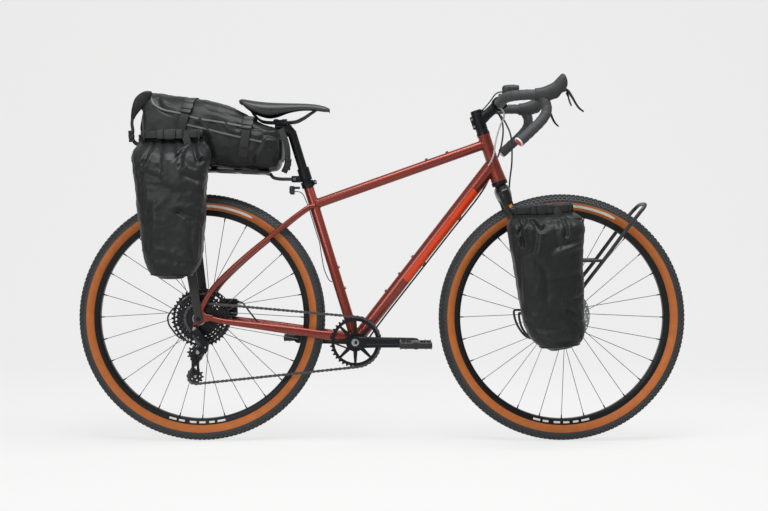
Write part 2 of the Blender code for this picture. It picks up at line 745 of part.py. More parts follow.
CLAMP_CENTRE = seat_point(SEATPOST_TOP) + Vector((-CLAMP_SETBACK, 0.0, CLAMP_RISE))
CRADLE_HEIGHT = 0.0115
HEAD_HEIGHT = 0.0180


def post_head(grow=0.0):
    """The block on top of the seatpost, set back under the rail clamp."""
    top = CLAMP_CENTRE.z - CRADLE_HEIGHT / 2 - GAP
    middle = Vector((CLAMP_CENTRE.x + 0.0110, 0.0, top - HEAD_HEIGHT / 2))
    size = (0.0480 + 2 * grow, 0.0300 + 2 * grow, HEAD_HEIGHT + 2 * grow)
    return block("head", middle, size, BLACK_METAL, None, 0.004)


def make_seatpost():
    post = rod("seatpost", seat_point(SEATPOST_START), seat_point(SEATPOST_TOP), SEATPOST_RADIUS,
               BLACK_METAL, ROUND_SIDES)
    return join(post, post_head())


def make_saddle_rails():
    """Two rails joined by the clamp that holds them on the seatpost head."""
    rails = []
    for side in (-1, 1):
        spread = side * RAIL_SPREAD
        points = [
            (-0.088, spread * 1.20, 0.0508), (-0.082, spread * 1.17, 0.030), (-0.064, spread * 1.10, 0.009),
            (-0.037, spread, 0.0), (0.035, spread, 0.0005), (0.062, spread * 0.85, 0.0095),
            (0.088, spread * 0.50, 0.0260), (0.107, spread * 0.31, 0.0385),
        ]
        path = [CLAMP_CENTRE + Vector(point) for point in points]
        rails.append(swept("rail", path, RAIL_RADIUS, RAIL_RADIUS, DARK_STEEL, sides=6))
    cradle = block("cradle", CLAMP_CENTRE, (0.040, 0.052, CRADLE_HEIGHT), BLACK_METAL, bevel=0.002)
    bolt = rod("bolt", CLAMP_CENTRE + Vector((0.0, 0.0, 0.004)), CLAMP_CENTRE + Vector((0.0, 0.0, 0.012)),
               0.0045,
               BLACK_METAL, 10)
    both = join(rails[0], rails[1], cradle, bolt)
    both.name = "saddle_rails"
    return both


SADDLE_STATIONS = (
    # distance along the saddle from its tail, half width, top above the rail clamp, depth of the wing, crown
    (0.000, 0.048, 0.0640, 0.009, 0.002),
    (0.012, 0.062, 0.0660, 0.020, 0.003),
    (0.040, 0.069, 0.0615, 0.033, 0.004),
    (0.075, 0.065, 0.0580, 0.040, 0.005),
    (0.105, 0.050, 0.0570, 0.037, 0.006),
    (0.140, 0.033, 0.0565, 0.026, 0.006),
    (0.180, 0.023, 0.0560, 0.019, 0.005),
    (0.220, 0.0195, 0.0535, 0.017, 0.005),
    (0.248, 0.0170, 0.0475, 0.014, 0.004),
    (0.262, 0.0100, 0.0405, 0.008, 0.003),
)


def make_saddle():
    """A shell that dips in the middle, with wings that hang on each side and a hollow underside."""
    rings = []
    for along, half, top, depth, crown in SADDLE_STATIONS:
        x = CLAMP_CENTRE.x - SADDLE_TAIL_BACK + along
        top += CLAMP_CENTRE.z
        edge = top - crown
        ring = [
            (0.0, top), (half * 0.45, top - crown * 0.2), (half * 0.8, edge - 0.002),
            (half, edge - depth * 0.45),
            (half * 0.97, top - depth), (half * 0.80, top - depth), (half * 0.72, edge - depth * 0.45),
            (half * 0.40, edge - SADDLE_SHELL), (0.0, top - SADDLE_SHELL - crown * 0.6),
        ]
        left = [(-y, z) for y, z in reversed(ring[1:-1])]
        rings.append([Vector((x, y, z)) for y, z in ring + left])
    return lofted("saddle", rings, SADDLE_COVER, sharp=50.0)


# Wheels
def make_tyre(name, axle):
    """A casing open towards the rim, with its beads inside the rim's flanges."""
    half = TYRE_WIDTH / 2
    wall = TYRE_WALL
    seat = RIM_WIDTH / 2 - RIM_WALL - GAP
    foot = RIM_BED_RADIUS + 0.0015
    profile = [
        (TYRE_RADIUS, 0.0), (TYRE_RADIUS - 0.0060, half * 0.70), (TYRE_RADIUS - 0.0230, half),
        (RIM_FLANGE_RADIUS + 0.0010, seat), (foot, seat),
        (foot, seat - BEAD_WIDTH), (TYRE_RADIUS - 0.0230, half - wall), (TYRE_RADIUS - 0.0060, 0.0),
    ]
    other = [(radius, -y) for radius, y in reversed(profile[1:-1])]
    return turned(name, profile + other, axle, Y_AXIS, TYRE_RUBBER, sides=WHEEL_SIDES)


def make_rim(name, axle):
    half = RIM_WIDTH / 2
    bed_half = half - RIM_WALL
    profile = [
        (RIM_FLANGE_RADIUS, half), (RIM_INNER_RADIUS, half * 0.6), (RIM_INNER_RADIUS, -half * 0.6),
        (RIM_FLANGE_RADIUS, -half), (RIM_FLANGE_RADIUS, -bed_half), (RIM_BED_RADIUS, -bed_half),
        (RIM_BED_RADIUS, bed_half), (RIM_FLANGE_RADIUS, bed_half),
    ]
    return turned(name, profile, axle, Y_AXIS, BLACK_METAL, sides=WHEEL_SIDES)


def facet_radius(radius, sides, turn):
    """Distance from the axis to the flats of a many-sided ring, at one direction round it."""
    facet = 2 * math.pi / sides
    return radius * math.cos(facet / 2) / math.cos(turn % facet - facet / 2)


def spoke_rods(axle, flange_radius, flanges):
    """Laced spokes: each flange feeds every second rim hole, leading and trailing spokes crossing."""
    rods = []
    pitch = 2 * math.pi / SPOKES_PER_FLANGE
    hole_radius = flange_radius - 0.0025
    for flange_index, flange_y in enumerate(flanges):
        side = -1 if flange_index == 0 else 1
        for hole in range(SPOKES_PER_FLANGE):
            turn = (hole + 0.5 * flange_index) * pitch
            lead = 1 if hole % 2 else -1
            rim_turn = turn + lead * SPOKE_CROSSES * pitch
            stagger = lead * SPOKE_STAGGER
            start = axle + Vector((hole_radius * math.cos(turn), flange_y + stagger,
                                   hole_radius * math.sin(turn)))
            end_radius = facet_radius(RIM_INNER_RADIUS, WHEEL_SIDES, rim_turn) - GAP
            rim_y = side * SPOKE_RIM_OFFSET + stagger
            end = axle + Vector((end_radius * math.cos(rim_turn), rim_y, end_radius * math.sin(rim_turn)))
            rods.append(rod("spoke", start, end, SPOKE_RADIUS, BRIGHT_STEEL, sides=3))
    return rods


def merged(name, parts, finish):
    """One object from several that don't touch each other, to join to a carrier in one step."""
    bm = bmesh.new()
    for part in parts:
        bm.from_mesh(part.data)
        bpy.data.objects.remove(part, do_unlink=True)
    mesh = bpy.data.meshes.new(name)
    bm.to_mesh(mesh)
    bm.free()
    mesh.materials.append(finish)
    whole = bpy.data.objects.new(name, mesh)
    bpy.context.scene.collection.objects.link(whole)
    return whole


def hub_profile(width, flanges, flange_radius, shell_radius, rotor_y):
    """The outline of a hollow hub shell: end caps, rotor boss, flanges and the barrel between them."""
    half = width / 2
    flange_half = FLANGE_THICKNESS / 2
    right, left = flanges
    boss = ROTOR_BOSS_RADIUS - GAP
    return [
        (AXLE_BORE, -half), (0.0085, -half), (shell_radius, right - 0.004),
        (flange_radius, right - flange_half), (flange_radius, right + flange_half),
        (shell_radius, right + 0.005),
        (shell_radius, left - 0.005), (flange_radius, left - flange_half),
        (flange_radius, left + flange_half),
        (boss, left + 0.004), (boss, rotor_y + ROTOR_THICKNESS), (0.0085, half), (AXLE_BORE, half),
    ]


def make_front_hub():
    profile = hub_profile(FRONT_HUB_WIDTH, FRONT_FLANGES, FRONT_FLANGE_RADIUS, FRONT_SHELL_RADIUS,
                          FRONT_ROTOR_Y)
    hub = turned("front_hub_spokes", profile, FRONT_AXLE, Y_AXIS, BLACK_METAL, sides=AXLE_SIDES)
    spokes = merged("spokes", spoke_rods(FRONT_AXLE, FRONT_FLANGE_RADIUS, FRONT_FLANGES), BRIGHT_STEEL)
    return join(hub, spokes)


CASSETTE_INNER_Y = CHAIN_LINE + COG_SPACING * (len(COGS) - 1 - COGS.index(DRIVEN_COG))
CASSETTE_OUTER_Y = CHAIN_LINE - COG_SPACING * COGS.index(DRIVEN_COG)


def make_rear_hub():
    half = REAR_HUB_WIDTH / 2
    right, left = REAR_FLANGES
    flange_half = FLANGE_THICKNESS / 2
    boss = ROTOR_BOSS_RADIUS - GAP
    shell = REAR_SHELL_RADIUS
    flange = REAR_FLANGE_RADIUS
    profile = [
        (AXLE_BORE, -half), (0.0100, -half), (FREEHUB_RADIUS - GAP, CASSETTE_OUTER_Y - 0.001),
        (FREEHUB_RADIUS - GAP, CASSETTE_INNER_Y + 0.003), (flange, right - flange_half),
        (flange, right + flange_half),
        (shell, right + 0.006), (shell, left - 0.006), (flange, left - flange_half),
        (flange, left + flange_half),
        (boss, left + 0.004), (boss, REAR_ROTOR_Y + ROTOR_THICKNESS), (0.0100, half), (AXLE_BORE, half),
    ]
    hub = turned("rear_hub_spokes", profile, REAR_AXLE, Y_AXIS, BLACK_METAL, sides=AXLE_SIDES)
    spokes = merged("spokes", spoke_rods(REAR_AXLE, REAR_FLANGE_RADIUS, REAR_FLANGES), BRIGHT_STEEL)
    return join(hub, spokes)


def make_rotor(name, axle, radius, y):
    """A brake disc: a band, slanted arms and a carrier ring round the hub's boss."""
    low = y - ROTOR_THICKNESS / 2
    high = y + ROTOR_THICKNESS / 2
    centre = (axle.x, axle.z)
    disc = slab(name, disc_outline(radius, 24), BRIGHT_STEEL, low, high, centre)
    bore_sides = 14
    bore = ROTOR_BOSS_RADIUS / math.cos(math.pi / bore_sides)
    cutters = [side_rod("bore", centre, low - EXTRA_CUT, high + EXTRA_CUT, bore, BRIGHT_STEEL, bore_sides)]
    inner = ROTOR_BOSS_RADIUS + 0.007
    outer = radius - ROTOR_BAND
    for arm in range(ROTOR_ARMS):
        window = []
        for ring_radius, twist in ((inner, 0.0), (outer, 0.35)):
            start = 2 * math.pi * arm / ROTOR_ARMS + ROTOR_ARM_WIDTH / ring_radius / 2 + twist
            end = 2 * math.pi * (arm + 1) / ROTOR_ARMS - ROTOR_ARM_WIDTH / ring_radius / 2 + twist
            turns = [start + (end - start) * step / 2 for step in range(3)]
            if ring_radius == outer:
                turns.reverse()
            window += [(ring_radius * math.cos(turn), ring_radius * math.sin(turn)) for turn in turns]
        cutters.append(slab("window", window, BRIGHT_STEEL, low - EXTRA_CUT, high + EXTRA_CUT, centre))
    return cut(disc, *cutters)


def make_front_axle():
    reach = FORK_OUTER_Y
    axle = side_rod("front_axle", (FRONT_AXLE.x, FRONT_AXLE.z), -reach - 0.001, reach + 0.001, AXLE_RADIUS,
                    DARK_STEEL, AXLE_SIDES)
    head = side_rod("head", (FRONT_AXLE.x, FRONT_AXLE.z), reach + GAP, reach + 0.006, 0.0090, DARK_STEEL,
                    AXLE_SIDES)
    return join(axle, head)


def make_rear_axle():
    right = -DROPOUT_OUTER_Y - REAR_LEG_THICKNESS - 0.0015
    left = DROPOUT_OUTER_Y + REAR_LEG_THICKNESS + 2 * GAP
    axle = side_rod("rear_axle", (REAR_AXLE.x, REAR_AXLE.z), right, left + 0.001, AXLE_RADIUS, DARK_STEEL,
                    AXLE_SIDES)
    head = side_rod("head", (REAR_AXLE.x, REAR_AXLE.z), left, left + 0.006, 0.0095, DARK_STEEL, AXLE_SIDES)
    return join(axle, head)


# Fork and front brake
BLADE_STATIONS = (
    # up the steering axis, forward of it, half the spread, half depth, half width
    (0.405, 0.0000, 0.0415, 0.0150, 0.0085),
    (0.345, 0.0005, 0.0432, 0.0150, 0.0085),
    (0.280, 0.0025, 0.0465, 0.0145, 0.0082),
    (0.200, 0.0085, 0.0505, 0.0130, 0.0078),
    (0.120, 0.0195, 0.0535, 0.0110, 0.0072),
    (0.060, 0.0320, 0.0545, 0.0098, 0.0066),
    (0.016, 0.0440, 0.0545, 0.0090, 0.0036),
)
CROWN_STATIONS = (
    # side position, half depth, base, top
    (0.000, 0.0228, 0.3790, CROWN_TOP),
    (0.014, 0.0226, 0.3785, CROWN_TOP - 0.0004),
    (0.026, 0.0212, 0.3750, 0.4205),
    (0.036, 0.0185, 0.3660, 0.4150),
    (0.044, 0.0160, 0.3600, 0.4080),
    (0.0495, 0.0110, 0.3620, 0.3970),
)
FORK_TIP_OUTLINE = (
    (0.0165, 0.0245), (0.0075, 0.0225), (-0.0030, 0.0280), (-0.0150, 0.0290), (-0.0200, 0.0180),
    (-0.0130, 0.0040), (-0.0125, -0.0050), (-0.0070, -0.0118), (0.0035, -0.0128), (0.0110, -0.0070),
    (0.0140, 0.0020), (0.0200, 0.0120), (0.0200, 0.0210),
)
FRONT_RACK_EYE = FRONT_AXLE + Vector((0.0120, 0.0, 0.0170))


def fork_blade(side, grow=0.0):
    path = []
    for along, forward, spread, depth, width in BLADE_STATIONS:
        path.append(head_point(along, forward) + Y_AXIS * side * spread)
    widths = [station[4] + grow for station in BLADE_STATIONS]
    depths = [station[3] + grow for station in BLADE_STATIONS]
    return swept("blade", path, widths, depths, BLACK_PAINT, sides=8)


def make_fork():
    """Tapered steerer, crown, two blades and the tips that hold the axle."""
    steps = [(-y, depth, base, top) for y, depth, base, top in reversed(CROWN_STATIONS[1:])]
    rings = []
    for y, depth, base, top in steps + list(CROWN_STATIONS):
        centre = head_point((base + top) / 2) + Y_AXIS * y
        rings.append(oval(centre, HEAD_FORWARD, HEAD_UP, depth, (top - base) / 2, 10, 3.0))
    fork = lofted("fork", rings, BLACK_PAINT)
    inner_taper = HEAD_TUBE_BASE + 0.064
    crown_race = STEERER_RADIUS + 0.0031
    levels = (CROWN_TOP - 0.020, HEAD_TUBE_BASE + 0.010, inner_taper, STEERER_TOP)
    radii = [crown_race, crown_race, STEERER_RADIUS, STEERER_RADIUS]
    pieces = [swept("steerer", [head_point(level) for level in levels], radii, list(radii), BLACK_PAINT,
                    sides=ROUND_SIDES)]
    for side in (-1, 1):
        pieces.append(fork_blade(side))
        pieces.append(slab("tip", FORK_TIP_OUTLINE, BLACK_PAINT, side * FORK_INNER_Y, side * FORK_OUTER_Y,
                           (FRONT_AXLE.x, FRONT_AXLE.z)))
    join(fork, *pieces)
    axle_bore = cross_pin("bore", FRONT_AXLE, FORK_OUTER_Y + EXTRA_CUT, AXLE_BORE, BLACK_PAINT, AXLE_SIDES)
    steerer_bore = rod("bore", head_point(CROWN_TOP - 0.010), head_point(STEERER_TOP + EXTRA_CUT),
                       STEERER_BORE,
                       BLACK_PAINT, ROUND_SIDES)
    return cut(fork, axle_bore, steerer_bore)


def caliper(name, centre, size, turn, axle, rotor_radius, rotor_y, keep_clear, hose_start, hose_end):
    """A caliper body with a slot round the disc, shaped against the tube that carries it."""
    body = block(name, centre, size, BLACK_METAL, turn, 0.003)
    entry = rod("entry", hose_start, hose_end, 0.0042, BLACK_METAL, 8)
    join(body, entry)
    slot = side_rod("slot", (axle.x, axle.z), rotor_y - 0.0018, rotor_y + 0.0018, rotor_radius + 0.003,
                    BLACK_METAL, 32)
    return cut(body, slot, keep_clear)


FRONT_CALIPER_AT = head_point(0.080, -0.0015) + Y_AXIS * FRONT_ROTOR_Y
FRONT_HOSE_END = head_point(0.1125, -0.0060) + Y_AXIS * 0.0480
REAR_CALIPER_AT = REAR_AXLE + Vector((0.0695, REAR_ROTOR_Y, 0.0250))
REAR_HOSE_END = REAR_AXLE + Vector((0.1010, 0.0600, 0.0410))


def make_front_caliper():
    return caliper("front_brake_caliper", FRONT_CALIPER_AT, (0.030, 0.027, 0.056), HEAD_TILT, FRONT_AXLE,
                   FRONT_ROTOR_RADIUS, FRONT_ROTOR_Y, fork_blade(1, GAP), FRONT_CALIPER_AT, FRONT_HOSE_END)


def make_rear_caliper():
    return caliper("rear_brake_caliper", REAR_CALIPER_AT, (0.054, 0.027, 0.052), None, REAR_AXLE,
                   REAR_ROTOR_RADIUS, REAR_ROTOR_Y, chainstay_tube(1, GAP),
                   REAR_HOSE_END + Vector((-0.020, 0.0, 0.0)), REAR_HOSE_END)


# Cockpit
def make_headset_spacers():
    bore = STEERER_RADIUS + GAP
    base = HEAD_TUBE_TOP + GAP
    cover = base + 0.008
    top = STEM_BASE - GAP
    profile = [
        (bore, base), (HEADSET_COVER_RADIUS - 0.0005, base), (HEADSET_COVER_RADIUS, base + 0.001),
        (HEADSET_COVER_RADIUS - 0.0012, cover), (SPACER_RADIUS, cover), (SPACER_RADIUS, top), (bore, top),
    ]
    return turned("headset_spacers", profile, head_point(0.0), HEAD_UP, BLACK_METAL, sides=ROUND_SIDES)


def make_stem():
    """Steerer clamp, a rising arm and the bar clamp with its faceplate bolts."""
    top = STEM_BASE + STEM_HEIGHT
    stem = rod("stem", head_point(STEM_BASE), head_point(top), STEM_CLAMP_RADIUS, BLACK_METAL, ROUND_SIDES)
    clamp_radius = BAR_CLAMP_RADIUS + FACEPLATE_WALL
    arm_path = [head_point(STEM_BASE + STEM_HEIGHT * 0.5),
                BAR_CENTRE.lerp(head_point(STEM_BASE + 0.020), 0.35),
                BAR_CENTRE]
    arm = swept("arm", arm_path, [0.0150, 0.0145, 0.0165], [0.0190, 0.0160, 0.0170], BLACK_METAL, sides=10)
    clamp = cross_pin("clamp", BAR_CENTRE, BAR_CLAMP_WIDTH / 2, clamp_radius, BLACK_METAL, ROUND_SIDES)
    pieces = [arm, clamp]
    for along in (STEM_BASE + 0.010, top - 0.010):
        pieces.append(cross_pin("bolt", head_point(along, -0.0190), 0.0115, 0.0042, BLACK_METAL, 8))
    pieces.append(block("lug", head_point(STEM_BASE + STEM_HEIGHT / 2, -0.0180),
                        (0.010, 0.015, STEM_HEIGHT - 0.004),
                        BLACK_METAL, HEAD_TILT, 0.001))
    outward = HEAD_FORWARD.lerp(HEAD_UP, 0.18).normalized()
    across = Vector((-outward.z, 0.0, outward.x))
    for side in (-1, 1):
        for level in (-1, 1):
            foot = BAR_CENTRE + across * level * 0.0145 + Y_AXIS * side * 0.0165 + outward * 0.008
            pieces.append(rod("bolt", foot, foot + outward * 0.0140, 0.0036, BLACK_METAL, 6))
    join(stem, *pieces)
    steerer_bore = rod("bore", head_point(STEM_BASE - EXTRA_CUT), head_point(top + EXTRA_CUT),
                       STEERER_RADIUS + GAP,
                       BLACK_METAL, ROUND_SIDES)
    bar_bore = cross_pin("bore", BAR_CENTRE, BAR_CLAMP_WIDTH / 2 + EXTRA_CUT, BAR_CLAMP_RADIUS + GAP,
                         BLACK_METAL, ROUND_SIDES)
    cap_seat = rod("seat", head_point(top), head_point(top + 0.020), TOP_CAP_RADIUS + GAP, BLACK_METAL,
                   ROUND_SIDES)
    return cut(stem, steerer_bore, bar_bore, cap_seat)


def make_top_cap():
    base = STEM_BASE + STEM_HEIGHT + GAP
    top = base + TOP_CAP_HEIGHT
    path = [head_point(base), head_point(top - 0.0025), head_point(top)]
    radii = [TOP_CAP_RADIUS, TOP_CAP_RADIUS, TOP_CAP_RADIUS - 0.003]
    cap = swept("top_cap", path, radii, list(radii), BLACK_METAL, sides=ROUND_SIDES)
    bolt = rod("bolt", head_point(top - 0.003), head_point(top + 0.0012), 0.0045, DARK_STEEL, 6)
    return join(cap, bolt)


BAR_OFFSETS = (
    # forward, out to the side, up
    (0.0000, 0.0350, 0.0000), (0.0000, 0.0640, 0.0002), (0.0000, 0.1250, 0.0010), (0.0040, 0.1620, 0.0022),
    (0.0180, 0.1900, 0.0040), (0.0450, 0.2050, 0.0060), (0.0800, 0.2110, 0.0060), (0.0970, 0.2140, 0.0000),
    (0.1080, 0.2175, -0.0135), (0.1125, 0.2210, -0.0310), (0.1090, 0.2270, -0.0490),
    (0.0960, 0.2345, -0.0680),
    (0.0700, 0.2450, -0.0940), (0.0330, 0.2585, -0.1280),
)


def bar_frames():
    """Frames along the whole bar, from its right end to its left end."""
    right = [BAR_CENTRE + Vector((x, -y, z)) for x, y, z in reversed(BAR_OFFSETS)]
    left = [mirrored(point) for point in reversed(right)]
    return frames_along(right + left, Z_AXIS)


def bar_radius(frame):
    return BAR_CLAMP_RADIUS if abs(frame[0].y) < 0.050 else BAR_GRIP_RADIUS


def make_handlebar():
    frames = bar_frames()
    radii = [bar_radius(frame) for frame in frames]
    return tube_on("handlebar", frames, radii, list(radii), BLACK_METAL, sides=BAR_SIDES)


def taped_frames(side):
    return [frame for frame in bar_frames() if frame[0].y * side > TAPE_START - 0.0001]


def make_bar_tape(name, side):
    frames = taped_frames(side)
    outer = BAR_GRIP_RADIUS + TAPE_THICKNESS
    return tube_on(name, frames, outer, outer, BAR_TAPE, sides=BAR_SIDES, bore=TAPE_THICKNESS - GAP)


def tape_cutter(side):
    frames = [frame for frame in taped_frames(side) if frame[0].x > BAR_CENTRE.x + 0.040]
    radius = BAR_GRIP_RADIUS + TAPE_THICKNESS + GAP
    return tube_on("cutter", frames, radius, radius, BAR_TAPE, sides=BAR_SIDES)


HOOD_STATIONS = (
    # forward, out to the side and up from the middle of the bar, half height, half width
    (0.0818, 0.2112, 0.0059, 0.0182, 0.0182),
    (0.0978, 0.2130, 0.0068, 0.0192, 0.0186),
    (0.1158, 0.2150, 0.0098, 0.0225, 0.0188),
    (0.1318, 0.2165, 0.0168, 0.0240, 0.0180),
    (0.1448, 0.2190, 0.0258, 0.0285, 0.0175),
    (0.1548, 0.2205, 0.0368, 0.0265, 0.0165),
    (0.1628, 0.2215, 0.0393, 0.0215, 0.0140),
    (0.1683, 0.2220, 0.0378, 0.0120, 0.0095),
)
LEVER_PIVOT = BAR_CENTRE + Vector((0.1578, 0.2220, 0.0193))


def lever_pivot(side):
    return Vector((LEVER_PIVOT.x, side * LEVER_PIVOT.y, LEVER_PIVOT.z))


def make_lever_body(name, side):
    """A hood that wraps the bar, rises to a horn and carries the lever on a pin in a slot."""
    rings = []
    for x, y, z, half_height, half_width in HOOD_STATIONS:
        centre = BAR_CENTRE + Vector((x, side * y, z))
        rings.append(oval(centre, Y_AXIS, Z_AXIS, half_width, half_height, 12, 2.3))
    body = lofted(name, rings, RUBBER)
    pivot = lever_pivot(side)
    chin = block("chin", pivot + Vector((-0.006, 0.0, 0.004)), (0.028, 0.0235, 0.026), RUBBER,
                 Quaternion(Y_AXIS, -0.35), 0.005)
    join(body, chin)
    slot_tilt = Quaternion(Y_AXIS, -0.35)
    room = LEVER_HUB_RADIUS + 0.0008
    slot_centre = pivot + slot_tilt @ Vector((SLOT_DEPTH / 2 - room, 0.0, room - SLOT_HEIGHT / 2))
    slot = block("slot", slot_centre, (SLOT_DEPTH, LEVER_SLOT, SLOT_HEIGHT), RUBBER, slot_tilt)
    cut(body, tape_cutter(side), slot)
    pin = cross_pin("pin", pivot, LEVER_SLOT / 2 + 0.002, LEVER_PIN_RADIUS, RUBBER, 8)
    return join(body, pin)


def make_brake_lever(name, side):
    """A curved blade with a bored hub on the pin of the lever body."""
    pivot = lever_pivot(side)
    half = LEVER_SLOT / 2 - GAP
    hub = cross_pin(name, pivot, half, LEVER_HUB_RADIUS, BLACK_METAL, 10)
    points = (
        (0.0030, 0.0000, 0.0000), (0.0120, 0.0002, -0.0030), (0.0185, 0.0035, -0.0115),
        (0.0255, 0.0100, -0.0250),
        (0.0325, 0.0155, -0.0395), (0.0405, 0.0205, -0.0525), (0.0510, 0.0250, -0.0620),
    )
    path = [pivot + Vector((x, side * y, z)) for x, y, z in points]
    widths = [0.0042, 0.0042, 0.0050, 0.0060, 0.0060, 0.0056, 0.0040]
    heights = [0.0045, 0.0042, 0.0040, 0.0034, 0.0030, 0.0028, 0.0022]
    blade = swept("blade", path, widths, heights, BLACK_METAL, sides=8)
    join(hub, blade)
    bore = cross_pin("bore", pivot, half + EXTRA_CUT, LEVER_PIN_RADIUS + GAP, BLACK_METAL, 8)
    return cut(hub, bore)


PADDLE_PIVOT = mirrored(LEVER_PIVOT) + Vector((0.0126, -0.0070, -0.0124))


def make_shift_paddle():
    """A thin plate behind the right brake lever, swinging inboard on its own pivot."""
    hinge = PADDLE_PIVOT
    name = "shift_paddle"
    arm = rod(name, hinge + Vector((-0.0040, 0.0000, 0.0030)), hinge + Vector((0.0020, 0.0045, -0.0080)),
              0.0032,
              BLACK_METAL, 8)
    path = [hinge + Vector((0.0010, 0.0040, -0.0060)), hinge + Vector((0.0035, 0.0050, -0.0160)),
            hinge + Vector((0.0075, 0.0050, -0.0270)), hinge + Vector((0.0105, 0.0045, -0.0330))]
    plate = swept("plate", path, [0.0050, 0.0105, 0.0110, 0.0060], [0.0018, 0.0016, 0.0015, 0.0012],
                  BLACK_METAL, sides=10)
    return join(arm, plate)


LIGHT_STATIONS = (
    # forward of the middle of the bar, half width, half height
    (0.0108, 0.0120, 0.0095), (0.0138, 0.0170, 0.0140), (0.0238, 0.0195, 0.0160), (0.0458, 0.0200, 0.0162),
    (0.0568, 0.0190, 0.0152), (0.0588, 0.0180, 0.0142), (0.0588, 0.0155, 0.0120), (0.0558, 0.0150, 0.0115),
)
LIGHT_HALF_HEIGHT = max(tall for _forward, _half, tall in LIGHT_STATIONS)
LIGHT_FOOT_BASE = BAR_CENTRE.z + BAR_CLAMP_RADIUS + FACEPLATE_WALL + GAP
LIGHT_HEIGHT = LIGHT_FOOT_BASE + LIGHT_RISE + LIGHT_HALF_HEIGHT


def make_headlight():
    """A lamp on a foot over the bar clamp, with its lead running back to the top cap."""
    rings = [oval(Vector((BAR_CENTRE.x + x, 0.0, LIGHT_HEIGHT)), Y_AXIS, Z_AXIS, half, tall, 12, 3.0)
             for x, half, tall in LIGHT_STATIONS]
    lamp = lofted("headlight", rings, MATTE_PLASTIC)
    foot_top = LIGHT_HEIGHT - LIGHT_HALF_HEIGHT + LIGHT_FOOT_SINK
    foot_at = Vector((BAR_CENTRE.x + 0.0098, 0.0, (foot_top + LIGHT_FOOT_BASE) / 2))
    foot = block("foot", foot_at, (0.0200, 0.0160, foot_top - LIGHT_FOOT_BASE), MATTE_PLASTIC, None, 0.001)
    cap_front = head_point(STEM_BASE + STEM_HEIGHT + 0.007, TOP_CAP_RADIUS + 0.0028)
    lead_points = [
        cap_front, BAR_CENTRE + Vector((-0.0362, 0.0, -0.0047)),
        BAR_CENTRE + Vector((-0.0232, 0.0020, 0.0113)),
        Vector((BAR_CENTRE.x - 0.0112, 0.0020, LIGHT_HEIGHT - 0.0128)),
        Vector((BAR_CENTRE.x + 0.0008, 0.0, LIGHT_HEIGHT - 0.0053)),
        Vector((BAR_CENTRE.x + 0.0158, 0.0, LIGHT_HEIGHT - 0.0038)),
    ]
    lead = swept("lead", smooth_path(lead_points, 2), LEAD_RADIUS, LEAD_RADIUS, MATTE_PLASTIC, sides=6)
    return join(lamp, foot, lead)


# Drivetrain
def wheel_radius(teeth):
    """Radius at which one tooth takes one chain pitch of arc."""
    return teeth * CHAIN_PITCH / (2 * math.pi)


UPPER_PULLEY = REAR_AXLE - Vector((UPPER_PULLEY_BACK, 0.0, UPPER_PULLEY_DROP))
CAGE_PIVOT = UPPER_PULLEY + Vector((CAGE_PIVOT_SHIFT[0], 0.0, CAGE_PIVOT_SHIFT[1]))


def lower_pulley_at(angle):
    return UPPER_PULLEY + Vector((math.cos(angle), 0.0, math.sin(angle))) * PULLEY_SPACING


def chain_runs(angle):
    """The chain's wraps in order, starting on the ring: (centre, radius, way round), entry and exit."""
    stops = (
        (BOTTOM_BRACKET, wheel_radius(RING_TEETH), -1),
        (lower_pulley_at(angle), wheel_radius(PULLEY_TEETH), -1),
        (UPPER_PULLEY, wheel_radius(PULLEY_TEETH), 1),
        (REAR_AXLE, wheel_radius(DRIVEN_COG), -1),
    )
    leaving = []
    arriving = []
    for index, (start, start_radius, start_way) in enumerate(stops):
        end, end_radius, end_way = stops[(index + 1) % len(stops)]
        across = end.x - start.x
        up = end.z - start.z
        apart = math.hypot(across, up)
        heading = math.atan2(up,
                             across) - math.asin((end_way * end_radius - start_way * start_radius) / apart)
        side = Vector((-math.sin(heading), 0.0, math.cos(heading)))
        leaving.append(start - side * start_way * start_radius)
        arriving.append(end - side * end_way * end_radius)
    return [(stop, arriving[index - 1], leaving[index]) for index, stop in enumerate(stops)]


def turn_of(centre, point):
    return math.atan2(point.z - centre.z, point.x - centre.x)


def chain_pieces(angle):
    """Wraps and straights in order, each with its length."""
    runs = chain_runs(angle)
    pieces = []
    for index, ((centre, radius, way), entry, leave) in enumerate(runs):
        start = turn_of(centre, entry)
        swing = (way * (turn_of(centre, leave) - start)) % (2 * math.pi)
        pieces.append(("wrap", centre, radius, way, start, swing * radius))
        following = runs[(index + 1) % len(runs)][1]
        pieces.append(("straight", leave, following, None, None, (following - leave).length))
    return pieces


def chain_length(angle):
    return sum(piece[-1] for piece in chain_pieces(angle))


def solved_cage_angle():
    """The cage angle at which the chain is a whole number of links long."""
    low, high = CAGE_ANGLE_RANGE
    target = CHAIN_LINKS * CHAIN_PITCH
    for _ in range(50):
        middle = (low + high) / 2
        if (chain_length(middle) - target) * (chain_length(low) - target) <= 0:
            high = middle
        else:
            low = middle
    return (low + high) / 2


def chain_point(pieces, distance):
    for kind, first, second, way, start, length in pieces:
        if distance <= length:
            if kind == "straight":
                return first.lerp(second, distance / length)
            angle = start + way * distance / second
            return first + Vector((math.cos(angle), 0.0, math.sin(angle))) * second
        distance -= length
    return chain_point(pieces, distance)


CAGE_ANGLE = solved_cage_angle()
LOWER_PULLEY = lower_pulley_at(CAGE_ANGLE)
CHAIN_PIECES = chain_pieces(CAGE_ANGLE)
ROLLERS = [chain_point(CHAIN_PIECES, index * CHAIN_PITCH) for index in range(CHAIN_LINKS)]


def on_straight(distance):
    """Whether a distance along the chain lies on one of its straight runs."""
    for piece in CHAIN_PIECES:
        if distance <= piece[-1]:
            return piece[0] == "straight"
        distance -= piece[-1]
    return False


